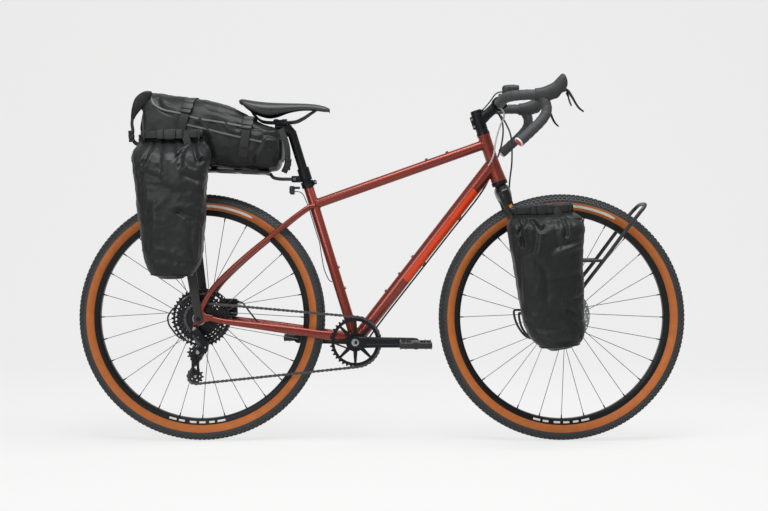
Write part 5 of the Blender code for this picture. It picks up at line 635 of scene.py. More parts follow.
SHIFT_REAR = (
    (-0.5084, -0.0702, 0.4307), (-0.5300, -0.0725, 0.4310), (-0.5560, -0.0745, 0.4240),
    (-0.5820, -0.0760, 0.4050),
    (-0.6040, -0.0800, 0.3850), (-0.6140, -0.0840, 0.3655), (-0.6100, -0.0865, 0.3450),
    (-0.6000, -0.0865, 0.3300),
    (-0.5905, -0.0865, 0.3173), (-0.5780, -0.0860, 0.3070), (-0.5635, -0.0859, 0.3017),
)
FRONT_HOSE = (
    (0.3423, 0.0740, 0.9671), (0.3540, 0.0690, 0.9590), (0.3700, 0.0560, 0.9320), (0.3840, 0.0460, 0.8900),
    (0.3860, 0.0460, 0.8200), (0.3800, 0.0520, 0.7600), (0.3800, 0.0600, 0.7000), (0.3960, 0.0620, 0.6300),
    (0.4230, 0.0660, 0.5500), (0.4290, 0.0620, 0.5050), (0.4325, 0.0545, 0.4780), (0.4347, 0.0510, 0.4615),
    (0.4396, 0.0481, 0.4511),
)
REAR_HOSE = (
    (0.3423, 0.0665, 0.9671), (0.3490, 0.0600, 0.9600), (0.3580, 0.0470, 0.9360), (0.3590, 0.0400, 0.9000),
    (0.3520, 0.0370, 0.8600), (0.3380, 0.0320, 0.8200), (0.3170, 0.0220, 0.7690), (0.2830, 0.0090, 0.7130),
    (0.2000, 0.0030, 0.6085), (0.1000, 0.0020, 0.4800), (0.0200, 0.0020, 0.3780), (-0.0280, 0.0030, 0.3140),
    (-0.0560, 0.0080, 0.2740), (-0.0860, 0.0180, 0.2640), (-0.1250, 0.0300, 0.2750),
    (-0.1700, 0.0420, 0.2910),
    (-0.2400, 0.0500, 0.3060), (-0.3100, 0.0560, 0.3160), (-0.3400, 0.0545, 0.3200),
    (-0.3600, 0.0490, 0.3330),
    (-0.3760, 0.0480, 0.3510), (-0.3930, 0.0500, 0.3720), (-0.4090, 0.0560, 0.3920),
    (-0.4180, 0.0595, 0.4005),
    (-0.4250, 0.0600, 0.4020),
)


def cord_piece(name, points, radius, finish, body, stands_for):
    """A cord along its route."""
    path = smooth_path(points, 5)
    bm = bmesh.new()
    tube(bm, path, radius, sides=12)
    made = piece(name, bm, finish, body, stands_for)
    return made


cord_piece("lamp_lead", LIGHT_WIRE, LEAD_RADIUS, hose_rubber, "frame", ("rear_light_wire",))
cord_piece("rear_shift_housing", SHIFT_REAR, HOSE_RADIUS, hose_rubber, "frame", ("shift_housing_rear",))
cord_piece("front_hose", FRONT_HOSE, HOSE_RADIUS, hose_rubber, "steering", ("front_brake_hose",))
front_housing = cord_piece("front_shift_housing", SHIFT_FRONT, HOSE_RADIUS, grey_housing, None,
                           ("shift_housing_front",))
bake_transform(front_housing)
rear_hose = cord_piece("rear_hose", REAR_HOSE, HOSE_RADIUS, hose_rubber, None, ("rear_brake_hose",))
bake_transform(rear_hose)

# %% [markdown]
# ## Wheels
# Both wheels are 28-inch gravel wheels: a 622 mm bead seat with a 50 mm tyre. A tyre is a turned casing
# with a moulded tread, so the casing is one turned ring and the tread blocks are many small wedges set on
# it in rows. The rows run from the flat centre to the shoulder, where the blocks are largest and catch the
# light.

# %% Wheel sizes
REAR_AXLE = Vector((-0.5265, 0.0, 0.361))
FRONT_AXLE = Vector((0.5265, 0.0, 0.361))
RIM_FLANGE_RADIUS = 0.3150
RIM_INNER_RADIUS = 0.2970
RIM_HALF_WIDTH = 0.0150
WHEEL_STEPS = 200
AXLES = {"front": FRONT_AXLE, "rear": REAR_AXLE}


def around(axle, radius, y, turn):
    """A point of a wheel at a radius, a side position and a turn round its axle."""
    return axle + Vector((radius * math.cos(turn), y, radius * math.sin(turn)))


# %% Tyre casings with their blank side strips
SIDEWALL = (
    # radius, side position
    (0.3358, 0.0249), (0.3300, 0.0243), (0.3240, 0.0224), (0.3185, 0.0190), (0.3155, 0.0160),
    (0.3140, 0.0140),
)
TREAD_BASE = (
    (0.3352, 0.0246), (0.3400, 0.0241), (0.3450, 0.0222), (0.3500, 0.0186), (0.3545, 0.0130),
    (0.3572, 0.0065),
    (0.3580, 0.0000),
)
STRIP_RADIUS = 0.3262     # the blank strip on each tyre: its middle, half height and lift
STRIP_HALF = 0.0036
STRIP_LIFT = 0.0003
STRIP_STEPS = 40
STRIP_TURNS = {"front": (62.0, 92.0), "rear": (63.0, 98.0)}


def make_tyre(end):
    axle = AXLES[end]
    body = end + "_wheel"
    casing = casing_finish(end + "_tan_casing", axle)
    bm = bmesh.new()
    for side in (-1, 1):
        outer = [(radius, side * y) for radius, y in smooth_rows(SIDEWALL, 3)]
        inner = [(radius - 0.0006, side * (y - 0.0022)) for radius, y in reversed(smooth_rows(SIDEWALL, 3))]
        turned(bm, outer + inner, axle, Y_AXIS, WHEEL_STEPS)
    piece(end + "_sidewalls", bm, casing, body)
    bm = bmesh.new()
    right = [(radius, y) for radius, y in smooth_rows(TREAD_BASE, 3)]
    left = [(radius, -y) for radius, y in reversed(right[:-1])]
    outer = right + left
    inner = [(radius - 0.0024, y * 0.93) for radius, y in reversed(outer)]
    turned(bm, outer + inner, axle, Y_AXIS, WHEEL_STEPS)
    tread_blocks(bm, axle)
    piece(end + "_tread", bm, tread_rubber, body, (end + "_tyre",), sharp=30.0)
    bm = bmesh.new()
    start, finish = (math.radians(turn) for turn in STRIP_TURNS[end])
    rows = []
    for step in range(STRIP_STEPS + 1):
        turn = start + (finish - start) * step / STRIP_STEPS
        closing = min(1.0, 6 * min(step, STRIP_STEPS - step) / STRIP_STEPS + 0.45)
        row = []
        for share in (-1.0, -0.5, 0.0, 0.5, 1.0):
            radius = STRIP_RADIUS + STRIP_HALF * share * closing
            y = -np.interp(radius, *zip(*reversed(SIDEWALL)))
            row.append(around(axle, radius, y - STRIP_LIFT, turn))
        rows.append(row)
    web(bm, rows)
    piece(end + "_blank_strip", bm, white_print, body)


# %% Tread blocks
BLOCKS_ROUND = 168
BLOCK_ROOT = 0.0006       # how far a block reaches into the casing
BLOCK_TAPER = 0.72
BLOCK_TILT_DEPTH = 0.0205  # the smaller this is, the more the outer blocks tilt sideways
BLOCK_ROWS = (
    # side position, its radius, length round the tyre, width, height, lean, whether shifted half a pitch
    (0.0000, 0.3580, 0.0074, 0.0060, 0.0026, 0.0, 0),
    (0.0078, 0.3568, 0.0070, 0.0052, 0.0026, 0.35, 1),
    (0.0145, 0.3535, 0.0068, 0.0048, 0.0024, -0.30, 0),
    (0.0196, 0.3484, 0.0086, 0.0046, 0.0026, 0.25, 1),
    (0.0229, 0.3428, 0.0066, 0.0040, 0.0017, -0.20, 0),
)


def tread_blocks(bm, axle):
    """Small wedges in rows across the tread, each standing square to the casing."""
    pitch = 2 * math.pi / BLOCKS_ROUND
    for y, radius, length, width, height, lean, shifted in BLOCK_ROWS:
        tilt = math.atan2(y, BLOCK_TILT_DEPTH) * 1.02 if y else 0.0
        for side in ((-1, 1) if y else (1,)):
            for index in range(BLOCKS_ROUND):
                turn = (index + 0.5 * shifted + (0.25 if side > 0 else 0.0)) * pitch
                outward = Vector((math.cos(turn), 0.0, math.sin(turn)))
                along = Vector((-math.sin(turn), 0.0, math.cos(turn)))
                up = outward * math.cos(tilt) + Y_AXIS * side * math.sin(tilt)
                across = along.cross(up)
                foot = axle + outward * radius + Y_AXIS * side * y - up * BLOCK_ROOT
                corners = []
                for level, taper in ((0.0, 1.0), (height + BLOCK_ROOT, BLOCK_TAPER)):
                    for a, b in ((-1, -1), (1, -1), (1, 1), (-1, 1)):
                        skew = lean * width * b
                        corners.append(bm.verts.new(foot + along * (a * length / 2 * taper + skew)
                                                    + across * b * width / 2 * taper + up * level))
                low, top = corners[:4], corners[4:]
                bm.faces.new(top)
                for place in range(4):
                    after = (place + 1) % 4
                    bm.faces.new((low[place], low[after], top[after], top[place]))
                bm.faces.new(list(reversed(low)))


for end in AXLES:
    make_tyre(end)

# %% [markdown]
# ### Rims, spokes and hubs
# A rim is one aluminium extrusion rolled into a hoop: two flanges, a tyre well and a box below it. Its
# spokes screw into nipples that stand in from the rim. Each flange of a hub feeds every second rim hole,
# and leading spokes cross trailing ones twice on the way, which passes the pedalling force to the rim. The
# rim carries a row of blank light blocks where a sticker would be.

# %% Rims with blank blocks
RIM_SIDE = (
    (RIM_FLANGE_RADIUS, RIM_HALF_WIDTH), (0.3135, RIM_HALF_WIDTH + 0.0002), (0.3105, 0.0142),
    (0.3060, 0.0136),
    (0.3010, 0.0122), (0.2982, 0.0100), (RIM_INNER_RADIUS, 0.0070), (RIM_INNER_RADIUS, 0.0000),
)
RIM_WELL = ((0.3070, -0.0120), (0.3070, 0.0120), (0.3140, 0.0126))
RIM_BLOCK_TURNS = {"front": 270.0, "rear": 268.0}
RIM_BLOCK_EDGES = ((0.3098, 0.0144), (0.3040, 0.0134))
RIM_BLOCKS = ((-16.0, -12.0), (-10.6, -7.4), (-4.6, -1.0), (0.6, 4.0), (6.0, 9.0), (10.6, 15.0))


def make_rim(end):
    axle = AXLES[end]
    bm = bmesh.new()
    left = list(RIM_SIDE)
    right = [(radius, -y) for radius, y in reversed(RIM_SIDE[:-1])]
    turned(bm, left + right + [(0.3140, -0.0126)] + list(RIM_WELL), axle, Y_AXIS, WHEEL_STEPS)
    piece(end + "_rim_hoop", bm, rim_anodised, end + "_wheel", (end + "_rim",), sharp=30.0)
    bm = bmesh.new()
    for side in (-1, 1):
        for first, last in RIM_BLOCKS:
            turns = [math.radians(RIM_BLOCK_TURNS[end] + first + (last - first) * step / 6)
                     for step in range(7)]
            web(bm,
                [[around(axle, radius, side * y, turn) for turn in turns] for radius, y in RIM_BLOCK_EDGES])
    piece(end + "_rim_blank_blocks", bm, white_print, end + "_wheel")


# %% Spokes and nipples
SPOKES_PER_FLANGE = 14
SPOKE_CROSSES = 2
SPOKE_RADIUS = 0.0010
SPOKE_STAGGER = 0.0016
SPOKE_RIM_OFFSET = 0.0030
FLANGE_Y = {"front": (-0.033, 0.022), "rear": (-0.020, 0.034)}
FLANGE_RADIUS = {"front": 0.021, "rear": 0.026}
NIPPLE_LENGTH = 0.0115


def make_spokes(end):
    axle = AXLES[end]
    pitch = 2 * math.pi / SPOKES_PER_FLANGE
    hole_radius = FLANGE_RADIUS[end] - 0.0025
    spokes = bmesh.new()
    nipples = bmesh.new()
    for flange, flange_y in enumerate(FLANGE_Y[end]):
        side = -1 if flange == 0 else 1
        for hole in range(SPOKES_PER_FLANGE):
            turn = (hole + 0.5 * flange) * pitch
            lead = 1 if hole % 2 else -1
            stagger = lead * SPOKE_STAGGER
            start = around(axle, hole_radius, flange_y + stagger, turn)
            end_turn = turn + lead * SPOKE_CROSSES * pitch
            seat = around(axle, RIM_INNER_RADIUS + 0.0012, side * SPOKE_RIM_OFFSET + stagger, end_turn)
            rod(spokes, start, seat, SPOKE_RADIUS, 8)
            rod(spokes, around(axle, hole_radius, flange_y - stagger * 1.4, turn), start, SPOKE_RADIUS, 8)
            inward = (start - seat).normalized()
            rod(nipples, seat, seat + inward * NIPPLE_LENGTH, 0.0021, 8, 0.0016)
    piece(end + "_spokes", spokes, spoke_steel, end + "_wheel")
    piece(end + "_nipples", nipples, anodised_black, end + "_wheel")


# %% Hub shells
HUB_PROFILES = {
    "front": (
        (0.0064, -0.0500), (0.0088, -0.0500), (0.0094, -0.0490), (0.0098, -0.0400), (0.0118, -0.0372),
        (0.0120, -0.0350),
        (0.0205, -0.0346), (0.0210, -0.0340), (0.0210, -0.0320), (0.0205, -0.0314), (0.0140, -0.0305),
        (0.0120, -0.0270),
        (0.0118, 0.0000), (0.0122, 0.0165), (0.0145, 0.0200), (0.0205, 0.0204), (0.0210, 0.0210),
        (0.0210, 0.0230),
        (0.0205, 0.0236), (0.0168, 0.0240), (0.0168, 0.0412), (0.0120, 0.0420), (0.0098, 0.0440),
        (0.0094, 0.0492),
        (0.0088, 0.0500), (0.0064, 0.0500),
    ),
    "rear": (
        (0.0064, -0.0710), (0.0098, -0.0710), (0.0104, -0.0700), (0.0108, -0.0690), (0.0158, -0.0680),
        (0.0159, -0.0280),
        (0.0200, -0.0262), (0.0252, -0.0220), (0.0260, -0.0214), (0.0260, -0.0188), (0.0254, -0.0182),
        (0.0185, -0.0172),
        (0.0160, -0.0140), (0.0156, 0.0060), (0.0160, 0.0280), (0.0190, 0.0318), (0.0254, 0.0322),
        (0.0260, 0.0328),
        (0.0260, 0.0352), (0.0254, 0.0358), (0.0168, 0.0366), (0.0168, 0.0572), (0.0120, 0.0580),
        (0.0104, 0.0600),
        (0.0102, 0.0700), (0.0098, 0.0710), (0.0064, 0.0710),
    ),
}


def make_hub(end):
    bm = bmesh.new()
    turned(bm, HUB_PROFILES[end], AXLES[end], Y_AXIS, 56)
    piece(end + "_hub_shell", bm, anodised_black, end + "_wheel", (end + "_hub_spokes",), sharp=32.0)


# %% [markdown]
# ### Brake rotors
# A rotor is laser-cut from steel sheet: a drilled band that the pads grip, thin slanted arms and a carrier
# on the hub. Cutting the holes out of one flat outline gives exactly that, with its sharp edges.

# %% Rotors
ROTORS = {"front": (0.090, 0.0395), "rear": (0.080, 0.0555)}
ROTOR_HALF = 0.0009
ROTOR_ARMS = 6
ROTOR_HOLES = 48
ROTOR_HOLE_ROWS = (0.0035, 0.0068, 0.0100)     # in from the edge
ROTOR_BAND = 0.0135
ROTOR_ARM_HALF = 0.0036


def make_rotor(end):
    axle = AXLES[end]
    radius, y = ROTORS[end]
    steel = ground_steel(end + "_ground_rotor_steel", "#77797C", "#A9ABAE", axle, 1.6)
    band = radius - ROTOR_BAND
    outlines = [circle(radius, 120)]
    for hole in range(ROTOR_HOLES):
        turn = 2 * math.pi * hole / ROTOR_HOLES
        row = radius - ROTOR_HOLE_ROWS[hole % 3]
        outlines.append(circle(0.0018, 8, on_circle(row, turn)))
    inner = 0.0240
    for arm in range(ROTOR_ARMS):
        window = []
        for ring, twist, backwards in ((inner, 0.0, False), ((inner + band) / 2, 0.16, None),
                                       (band, 0.38, True)):
            half = ROTOR_ARM_HALF / ring
            start = 2 * math.pi * arm / ROTOR_ARMS + half + twist
            finish = 2 * math.pi * (arm + 1) / ROTOR_ARMS - half + twist
            steps = 12
            if backwards is None:
                middle_start = on_circle(ring, start)
                middle_finish = on_circle(ring, finish)
                window.append(middle_finish)
                continue
            turns = [start + (finish - start) * step / steps for step in range(steps + 1)]
            if backwards:
                turns.reverse()
            window += [on_circle(ring, turn) for turn in turns]
        window.append(middle_start)
        outlines.append(window)
    outlines.append(circle(0.0169, 40))
    bm = bmesh.new()
    plate(bm, outlines, y - ROTOR_HALF, y + ROTOR_HALF, (axle.x, axle.z), 0.0002)
    piece(end + "_rotor_disc", bm, steel, end + "_wheel", (end + "_brake_rotor",), sharp=30.0)
    bm = bmesh.new()
    turned(bm,
           [(0.0170, y + 0.0008), (0.0198, y + 0.0008), (0.0202, y + 0.0012), (0.0202, y + 0.0022),
            (0.0196, y + 0.0028),
                (0.0170, y + 0.0028)], axle, Y_AXIS, 40)
    piece(end + "_rotor_lock_ring", bm, anodised_black, end + "_wheel")


# %% Axles
def make_axles():
    bm = bmesh.new()
    rod(bm, FRONT_AXLE + Y_AXIS * -0.0598, FRONT_AXLE + Y_AXIS * 0.0598, 0.0060, 32)
    turned(bm,
           [(0.0090, 0.0591), (0.0092, 0.0600), (0.0092, 0.0640), (0.0084, 0.0648), (0.0038, 0.0648),
            (0.0038, 0.0610)],
           FRONT_AXLE, Y_AXIS, 32, hollow=False)
    piece("front_through_axle", bm, anodised_black, "steering", ("front_axle",))
    bm = bmesh.new()
    rod(bm, REAR_AXLE + Y_AXIS * -0.0838, REAR_AXLE + Y_AXIS * 0.0840, 0.0060, 32)
    turned(bm,
           [(0.0092, 0.0829), (0.0095, 0.0838), (0.0095, 0.0880), (0.0086, 0.0889), (0.0038, 0.0889),
            (0.0038, 0.0850)],
           REAR_AXLE, Y_AXIS, 32, hollow=False)
    piece("rear_through_axle", bm, anodised_black, "frame", ("rear_axle",))


for end in AXLES:
    make_rim(end)
    make_spokes(end)
    make_hub(end)
    make_rotor(end)
make_axles()

# %% [markdown]
# ## Frame
# The frame is chromoly steel: thin round tubes, cut to meet each other and joined by welding. Two angles
# and a few lengths fix where everything goes, so the cells below measure up the seat tube from the bottom
# bracket and up the steering axis from the front hub.

# %% Frame geometry
BOTTOM_BRACKET = REAR_AXLE + Vector((math.sqrt(0.4548**2 - 0.069**2), 0.0, -0.069))
SEAT_ANGLE = math.radians(72.9)
HEAD_ANGLE = math.radians(71.6)
FORK_RAKE = 0.048
SEAT_UP = Vector((-math.cos(SEAT_ANGLE), 0.0, math.sin(SEAT_ANGLE)))
SEAT_FORWARD = Vector((SEAT_UP.z, 0.0, -SEAT_UP.x))
HEAD_UP = Vector((-math.cos(HEAD_ANGLE), 0.0, math.sin(HEAD_ANGLE)))
HEAD_FORWARD = Vector((math.sin(HEAD_ANGLE), 0.0, math.cos(HEAD_ANGLE)))
SEAT_TILT = Quaternion(Y_AXIS, SEAT_ANGLE - math.pi / 2)
HEAD_TILT = Quaternion(Y_AXIS, HEAD_ANGLE - math.pi / 2)
SHELL_RADIUS = 0.0205     # of the bottom bracket shell
SEAT_TUBE_RADIUS = 0.01475
SEAT_TUBE_LENGTH = 0.487
TOP_TUBE_RADIUS = 0.0143
HEAD_TUBE_TOP_RADIUS = 0.0180
HEAD_TUBE_LOW_RADIUS = 0.0184


def seat_point(along, forward=0.0):
    return BOTTOM_BRACKET + SEAT_UP * along + SEAT_FORWARD * forward


def head_point(along, forward=0.0):
    return FRONT_AXLE + HEAD_FORWARD * (forward - FORK_RAKE) + HEAD_UP * along


TOP_TUBE = (seat_point(0.417), head_point(0.552))
DOWN_TUBE = (BOTTOM_BRACKET, head_point(0.490))
print("bottom bracket", tuple(BOTTOM_BRACKET))

# %% [markdown]
# ### Tubes and their welds
# A tube that ends on another meets it along a saddle-shaped line. For each direction round the tube, the
# place where it leaves the other tube's surface is the root of a quadratic, and a rippled bead is laid
# along it.

# %% Weld beads
BEAD_STEPS = 72
BEAD_RIPPLES = 24


def weld_bead(bm, inner, outer, radius, host_point, host_axis, host_radius, bead=0.0018):
    along = (outer - inner).normalized()
    across = (Y_AXIS - along * along.y).normalized()
    upward = along.cross(across)
    slide = along - host_axis * along.dot(host_axis)
    rings = []
    for step in range(BEAD_STEPS):
        turn = 2 * math.pi * step / BEAD_STEPS
        outward = across * math.cos(turn) + upward * math.sin(turn)
        base = inner + outward * radius - host_point
        base -= host_axis * base.dot(host_axis)
        a = slide.dot(slide)
        b = 2 * slide.dot(base)
        c = base.dot(base) - host_radius**2
        reach = (-b + math.sqrt(max(b * b - 4 * a * c, 0.0))) / (2 * a)
        centre = inner + outward * radius + along * reach
        size = bead * (1.0 + 0.12 * math.cos(turn * BEAD_RIPPLES))
        rings.append(oval(centre, outward, along, size, size * 1.25, 8))
    loft(bm, rings, closed=True)


# %% Main tubes
def boss(bm, bolts, centre, outward, tube_radius):
    """A brazed-in boss with its bolt."""
    rod(bm, centre + outward * (tube_radius - 0.001), centre + outward * (tube_radius + 0.0016), 0.0046, 20)
    socket_bolt(bolts, centre + outward * (tube_radius + 0.0015), outward, 0.0039, 0.0028)


def across_tube(start, end):
    along = (end - start).normalized()
    return along, Vector((-along.z, 0.0, along.x))


HEAD_TUBE_PROFILE = (
    (0.0222, 0.4360), (0.0226, 0.4366), (0.0225, 0.4400), (0.0216, 0.4500), (0.0202, 0.4640),
    (0.0190, 0.4860),
    (0.0181, 0.5060), (0.0180, 0.5300), (0.0180, 0.5725), (0.0185, 0.5745), (0.0190, 0.5760),
    (0.0190, 0.5790),
    (0.0187, 0.5795),
)


def make_main_tubes():
    bolts = bmesh.new()
    bm = bmesh.new()
    outer = smooth_rows(HEAD_TUBE_PROFILE, 3)
    inner = [(radius - 0.0022, along) for radius, along in reversed(outer)]
    turned(bm, [tuple(row) for row in outer] + inner, head_point(0.0), HEAD_UP, 56)
    weld_bead(bm, TOP_TUBE[1], TOP_TUBE[0], TOP_TUBE_RADIUS, head_point(0.0), HEAD_UP, HEAD_TUBE_TOP_RADIUS)
    weld_bead(bm, DOWN_TUBE[1], DOWN_TUBE[0], 0.0188, head_point(0.0), HEAD_UP, HEAD_TUBE_LOW_RADIUS)
    piece("head_tube_shell", bm, brick_enamel, "frame", ("head_tube",))

    bm = bmesh.new()
    tube(bm, [TOP_TUBE[0], TOP_TUBE[1]], TOP_TUBE_RADIUS, sides=48)
    along, upward = across_tube(*TOP_TUBE)
    for place in (0.3550, 0.4190):
        boss(bm, bolts, TOP_TUBE[0] + along * place, upward, TOP_TUBE_RADIUS)
    piece("top_tube_steel", bm, brick_enamel, "frame", ("top_tube",))

    bm = bmesh.new()
    tube(bm, [DOWN_TUBE[0], DOWN_TUBE[1]], [0.0190, 0.0168], [0.0190, 0.0208], sides=48)
    along, upward = across_tube(*DOWN_TUBE)
    for place in (0.1696, 0.2336, 0.2969):
        boss(bm, bolts, DOWN_TUBE[0] + along * place, upward, 0.0192)
    for place in (0.300, 0.470):
        guide = DOWN_TUBE[0] + along * place - upward * 0.0202
        block(bm, guide, (0.014, 0.010, 0.004), Quaternion(Y_AXIS, -math.atan2(along.z, along.x)), 0.0012)
    piece("down_tube_steel", bm, brick_enamel, "frame", ("down_tube",))

    bm = bmesh.new()
    top = SEAT_TUBE_LENGTH
    turned(bm, [(SEAT_TUBE_RADIUS, 0.0), (SEAT_TUBE_RADIUS, top - 0.001), (SEAT_TUBE_RADIUS - 0.0006, top),
                (0.0139, top), (0.0139, 0.0)], seat_point(0.0), SEAT_UP, 48)
    side_turned(bm, BOTTOM_BRACKET, sleeve(0.0174, SHELL_RADIUS, -0.0340, 0.0340, 0.0006), 56)
    for place in (0.1570, 0.2210):
        boss(bm, bolts, seat_point(place), SEAT_FORWARD, SEAT_TUBE_RADIUS)
    weld_bead(bm, TOP_TUBE[0], TOP_TUBE[1], TOP_TUBE_RADIUS, seat_point(0.0), SEAT_UP, SEAT_TUBE_RADIUS)
    weld_bead(bm, BOTTOM_BRACKET, seat_point(0.2), SEAT_TUBE_RADIUS, BOTTOM_BRACKET, Y_AXIS, SHELL_RADIUS)
    weld_bead(bm, BOTTOM_BRACKET, DOWN_TUBE[1], 0.0190, BOTTOM_BRACKET, Y_AXIS, SHELL_RADIUS)
    piece("seat_tube_steel", bm, brick_enamel, "frame", ("seat_tube",))
    piece("bottle_boss_bolts", bolts, bolt_steel, "frame")


make_main_tubes()

# %% [markdown]
# ### Decal panel
# A long orange-red film is laid on each side of the down tube under the clear coat. Its lettering is left
# off, so it is a bare panel with slanted ends. It is a patch of the tube's own surface, lifted by a third
# of a millimetre.

# %% Decal panel
PANEL_ALONG = (0.229, 0.562)
PANEL_TURNS = (math.radians(-58.0), math.radians(6.0))
PANEL_SLANT = 0.003
FILM_LIFT = 0.00032


def make_decal_panel():
    along, upward = across_tube(*DOWN_TUBE)
    length = (DOWN_TUBE[1] - DOWN_TUBE[0]).length
    bm = bmesh.new()
    for side in (-1, 1):
        grid = []
        for step in range(33):
            row = []
            for place in range(17):
                share = place / 16
                turn = PANEL_TURNS[0] + (PANEL_TURNS[1] - PANEL_TURNS[0]) * share
                distance = (PANEL_ALONG[0] + (PANEL_ALONG[1] - PANEL_ALONG[0]) * step / 32
                            + PANEL_SLANT * (share - 0.5))
                mix = distance / length
                wide = 0.0190 + (0.0168 - 0.0190) * mix + FILM_LIFT
                tall = 0.0190 + (0.0208 - 0.0190) * mix + FILM_LIFT
                centre = DOWN_TUBE[0] + along * distance
                row.append(centre + Y_AXIS * side * wide * math.cos(turn) + upward * tall * math.sin(turn))
            grid.append(row)
        web(bm, grid)
    piece("down_tube_panels", bm, decal_film, "frame")


make_decal_panel()

# %% [markdown]
# ### Rear triangle
# Chainstays and seatstays are slimmer tubes that are bent round the tyre and flattened where they meet the
# dropouts, which are thick laser-cut plates. The right dropout carries the hanger of the derailleur.

# %% Stays and dropouts
CHAINSTAY_STATIONS = (
    # from the bottom bracket: forward, out, up, then half width and half height
    (0.018, 0.0290, 0.0110, 0.0070, 0.0140), (-0.045, 0.0345, 0.0130, 0.0070, 0.0135),
    (-0.078, 0.0370, 0.0180, 0.0072, 0.0125), (-0.112, 0.0420, 0.0225, 0.0074, 0.0120),
    (-0.158, 0.0480, 0.0300, 0.0080, 0.0118), (-0.225, 0.0560, 0.0395, 0.0080, 0.0112),
    (-0.303, 0.0630, 0.0505, 0.0075, 0.0095), (-0.373, 0.0685, 0.0600, 0.0070, 0.0080),
    (-0.402, 0.0718, 0.0660, 0.0052, 0.0076), (-0.4235, 0.0743, 0.0710, 0.0028, 0.0070),
)
SEATSTAY_STATIONS = (
    # from the rear axle: forward, out, up, then half width and half height
    (0.313, 0.020, 0.3225, 0.0068, 0.0075), (0.268, 0.031, 0.2895, 0.0068, 0.0075),
    (0.2136, 0.0435, 0.2450, 0.0068, 0.0075), (0.150, 0.0535, 0.1935, 0.0068, 0.0075),
    (0.0919, 0.0610, 0.1419, 0.0068, 0.0075), (0.0464, 0.0665, 0.0957, 0.0068, 0.0075),
    (0.0256, 0.0690, 0.0651, 0.0060, 0.0075), (0.0107, 0.0715, 0.0370, 0.0050, 0.0075),
    (0.0035, 0.0743, 0.0190, 0.0028, 0.0068),
)
DROPOUT_INNER_Y = 0.0713
DROPOUT_OUTER_Y = 0.0773
DROPOUT_SHARED = (
    (0.040, -0.004), (0.040, 0.010), (0.020, 0.013), (0.0125, 0.024), (0.0085, 0.044),
    (-0.0060, 0.044), (-0.0085, 0.020), (-0.014, 0.004), (-0.014, -0.006),
)
HANGER_SIDE = (
    (-0.0185, -0.025), (-0.0176, -0.0315), (-0.0145, -0.0358), (-0.0100, -0.0375), (-0.0055, -0.0358),
    (-0.0022, -0.0315), (-0.0015, -0.026), (0.004, -0.014), (0.014, -0.011),
)
PLAIN_SIDE = ((-0.008, -0.014), (0.006, -0.014), (0.014, -0.011))


def stay_tubes(bm, stations, origin, top=None):
    for side in (-1, 1):
        rows = smooth_rows(stations, 6)
        path = [origin + Vector((row[0], side * row[1], row[2])) for row in rows]
        widths = column(rows, 3)
        heights = column(rows, 4)
        if top:
            path.insert(0, top + Y_AXIS * side * 0.011)
            widths.insert(0, widths[0])
            heights.insert(0, heights[0])
        tube(bm, path, widths, heights, sides=28)


def make_rear_triangle():
    bm = bmesh.new()
    stay_tubes(bm, CHAINSTAY_STATIONS, BOTTOM_BRACKET)
    bridge = BOTTOM_BRACKET + Vector((-0.052, 0.0, 0.015))
    rod(bm, bridge + Y_AXIS * -0.034, bridge + Y_AXIS * 0.034, 0.0055, 20)
    for side, rest in ((-1, HANGER_SIDE), (1, PLAIN_SIDE)):
        hole = circle(0.0063, 24)
        plate(bm, [list(DROPOUT_SHARED + rest), hole], side * DROPOUT_INNER_Y, side * DROPOUT_OUTER_Y,
              (REAR_AXLE.x, REAR_AXLE.z), 0.0008)
    piece("chainstays_and_dropouts", bm, brick_enamel, "frame", ("chainstays",))
    bm = bmesh.new()
    stay_tubes(bm, SEATSTAY_STATIONS, REAR_AXLE, seat_point(0.412))
    bridge = REAR_AXLE + Vector((0.262, 0.0, 0.285))
    rod(bm, bridge + Y_AXIS * -0.032, bridge + Y_AXIS * 0.032, 0.0050, 20)
    piece("seatstays_steel", bm, brick_enamel, "frame", ("seatstays",))
    bm = bmesh.new()
    for side in (-1, 1):
        eye = REAR_AXLE + Vector((0.0022, side * 0.0745, 0.0325))
        socket_bolt(bm, eye + Y_AXIS * side * 0.0026, Y_AXIS * side, 0.0042, 0.0030)
    piece("rear_eyelet_bolts", bm, bolt_steel, "frame")
    bm = bmesh.new()
    profile = [(0.0126, -0.0430), (0.0206, -0.0430), (0.0218, -0.0420), (0.0220, -0.0408), (0.0220, -0.0352),
               (0.0214, -0.0344), (0.0170, -0.0343), (0.0170, 0.0343), (0.0214, 0.0344), (0.0220, 0.0352),
               (0.0220, 0.0408), (0.0218, 0.0420), (0.0206, 0.0430), (0.0126, 0.0430)]
    turned(bm, profile, BOTTOM_BRACKET, Y_AXIS, 56)
    for side in (-1, 1):
        for tooth in range(16):
            turn = 2 * math.pi * tooth / 16
            notch = BOTTOM_BRACKET + Vector((0.0219 * math.cos(turn), side * 0.0384, 0.0219 * math.sin(turn)))
            block(bm, notch, (0.0010, 0.0040, 0.0030), Quaternion(Y_AXIS, -turn), 0.0002, 1)
    piece("bottom_bracket_cups", bm, anodised_black, "frame", ("bottom_bracket",), sharp=30.0)


make_rear_triangle()

# %% [markdown]
# ## Fork
# A steel fork with a tapered steerer, a forged crown and two raked blades. The crown and blades are one
# flowing form under thick black enamel, so both are lofted and allowed to run into each other. Each tip is
# a plate that holds the axle and an eye for a rack.

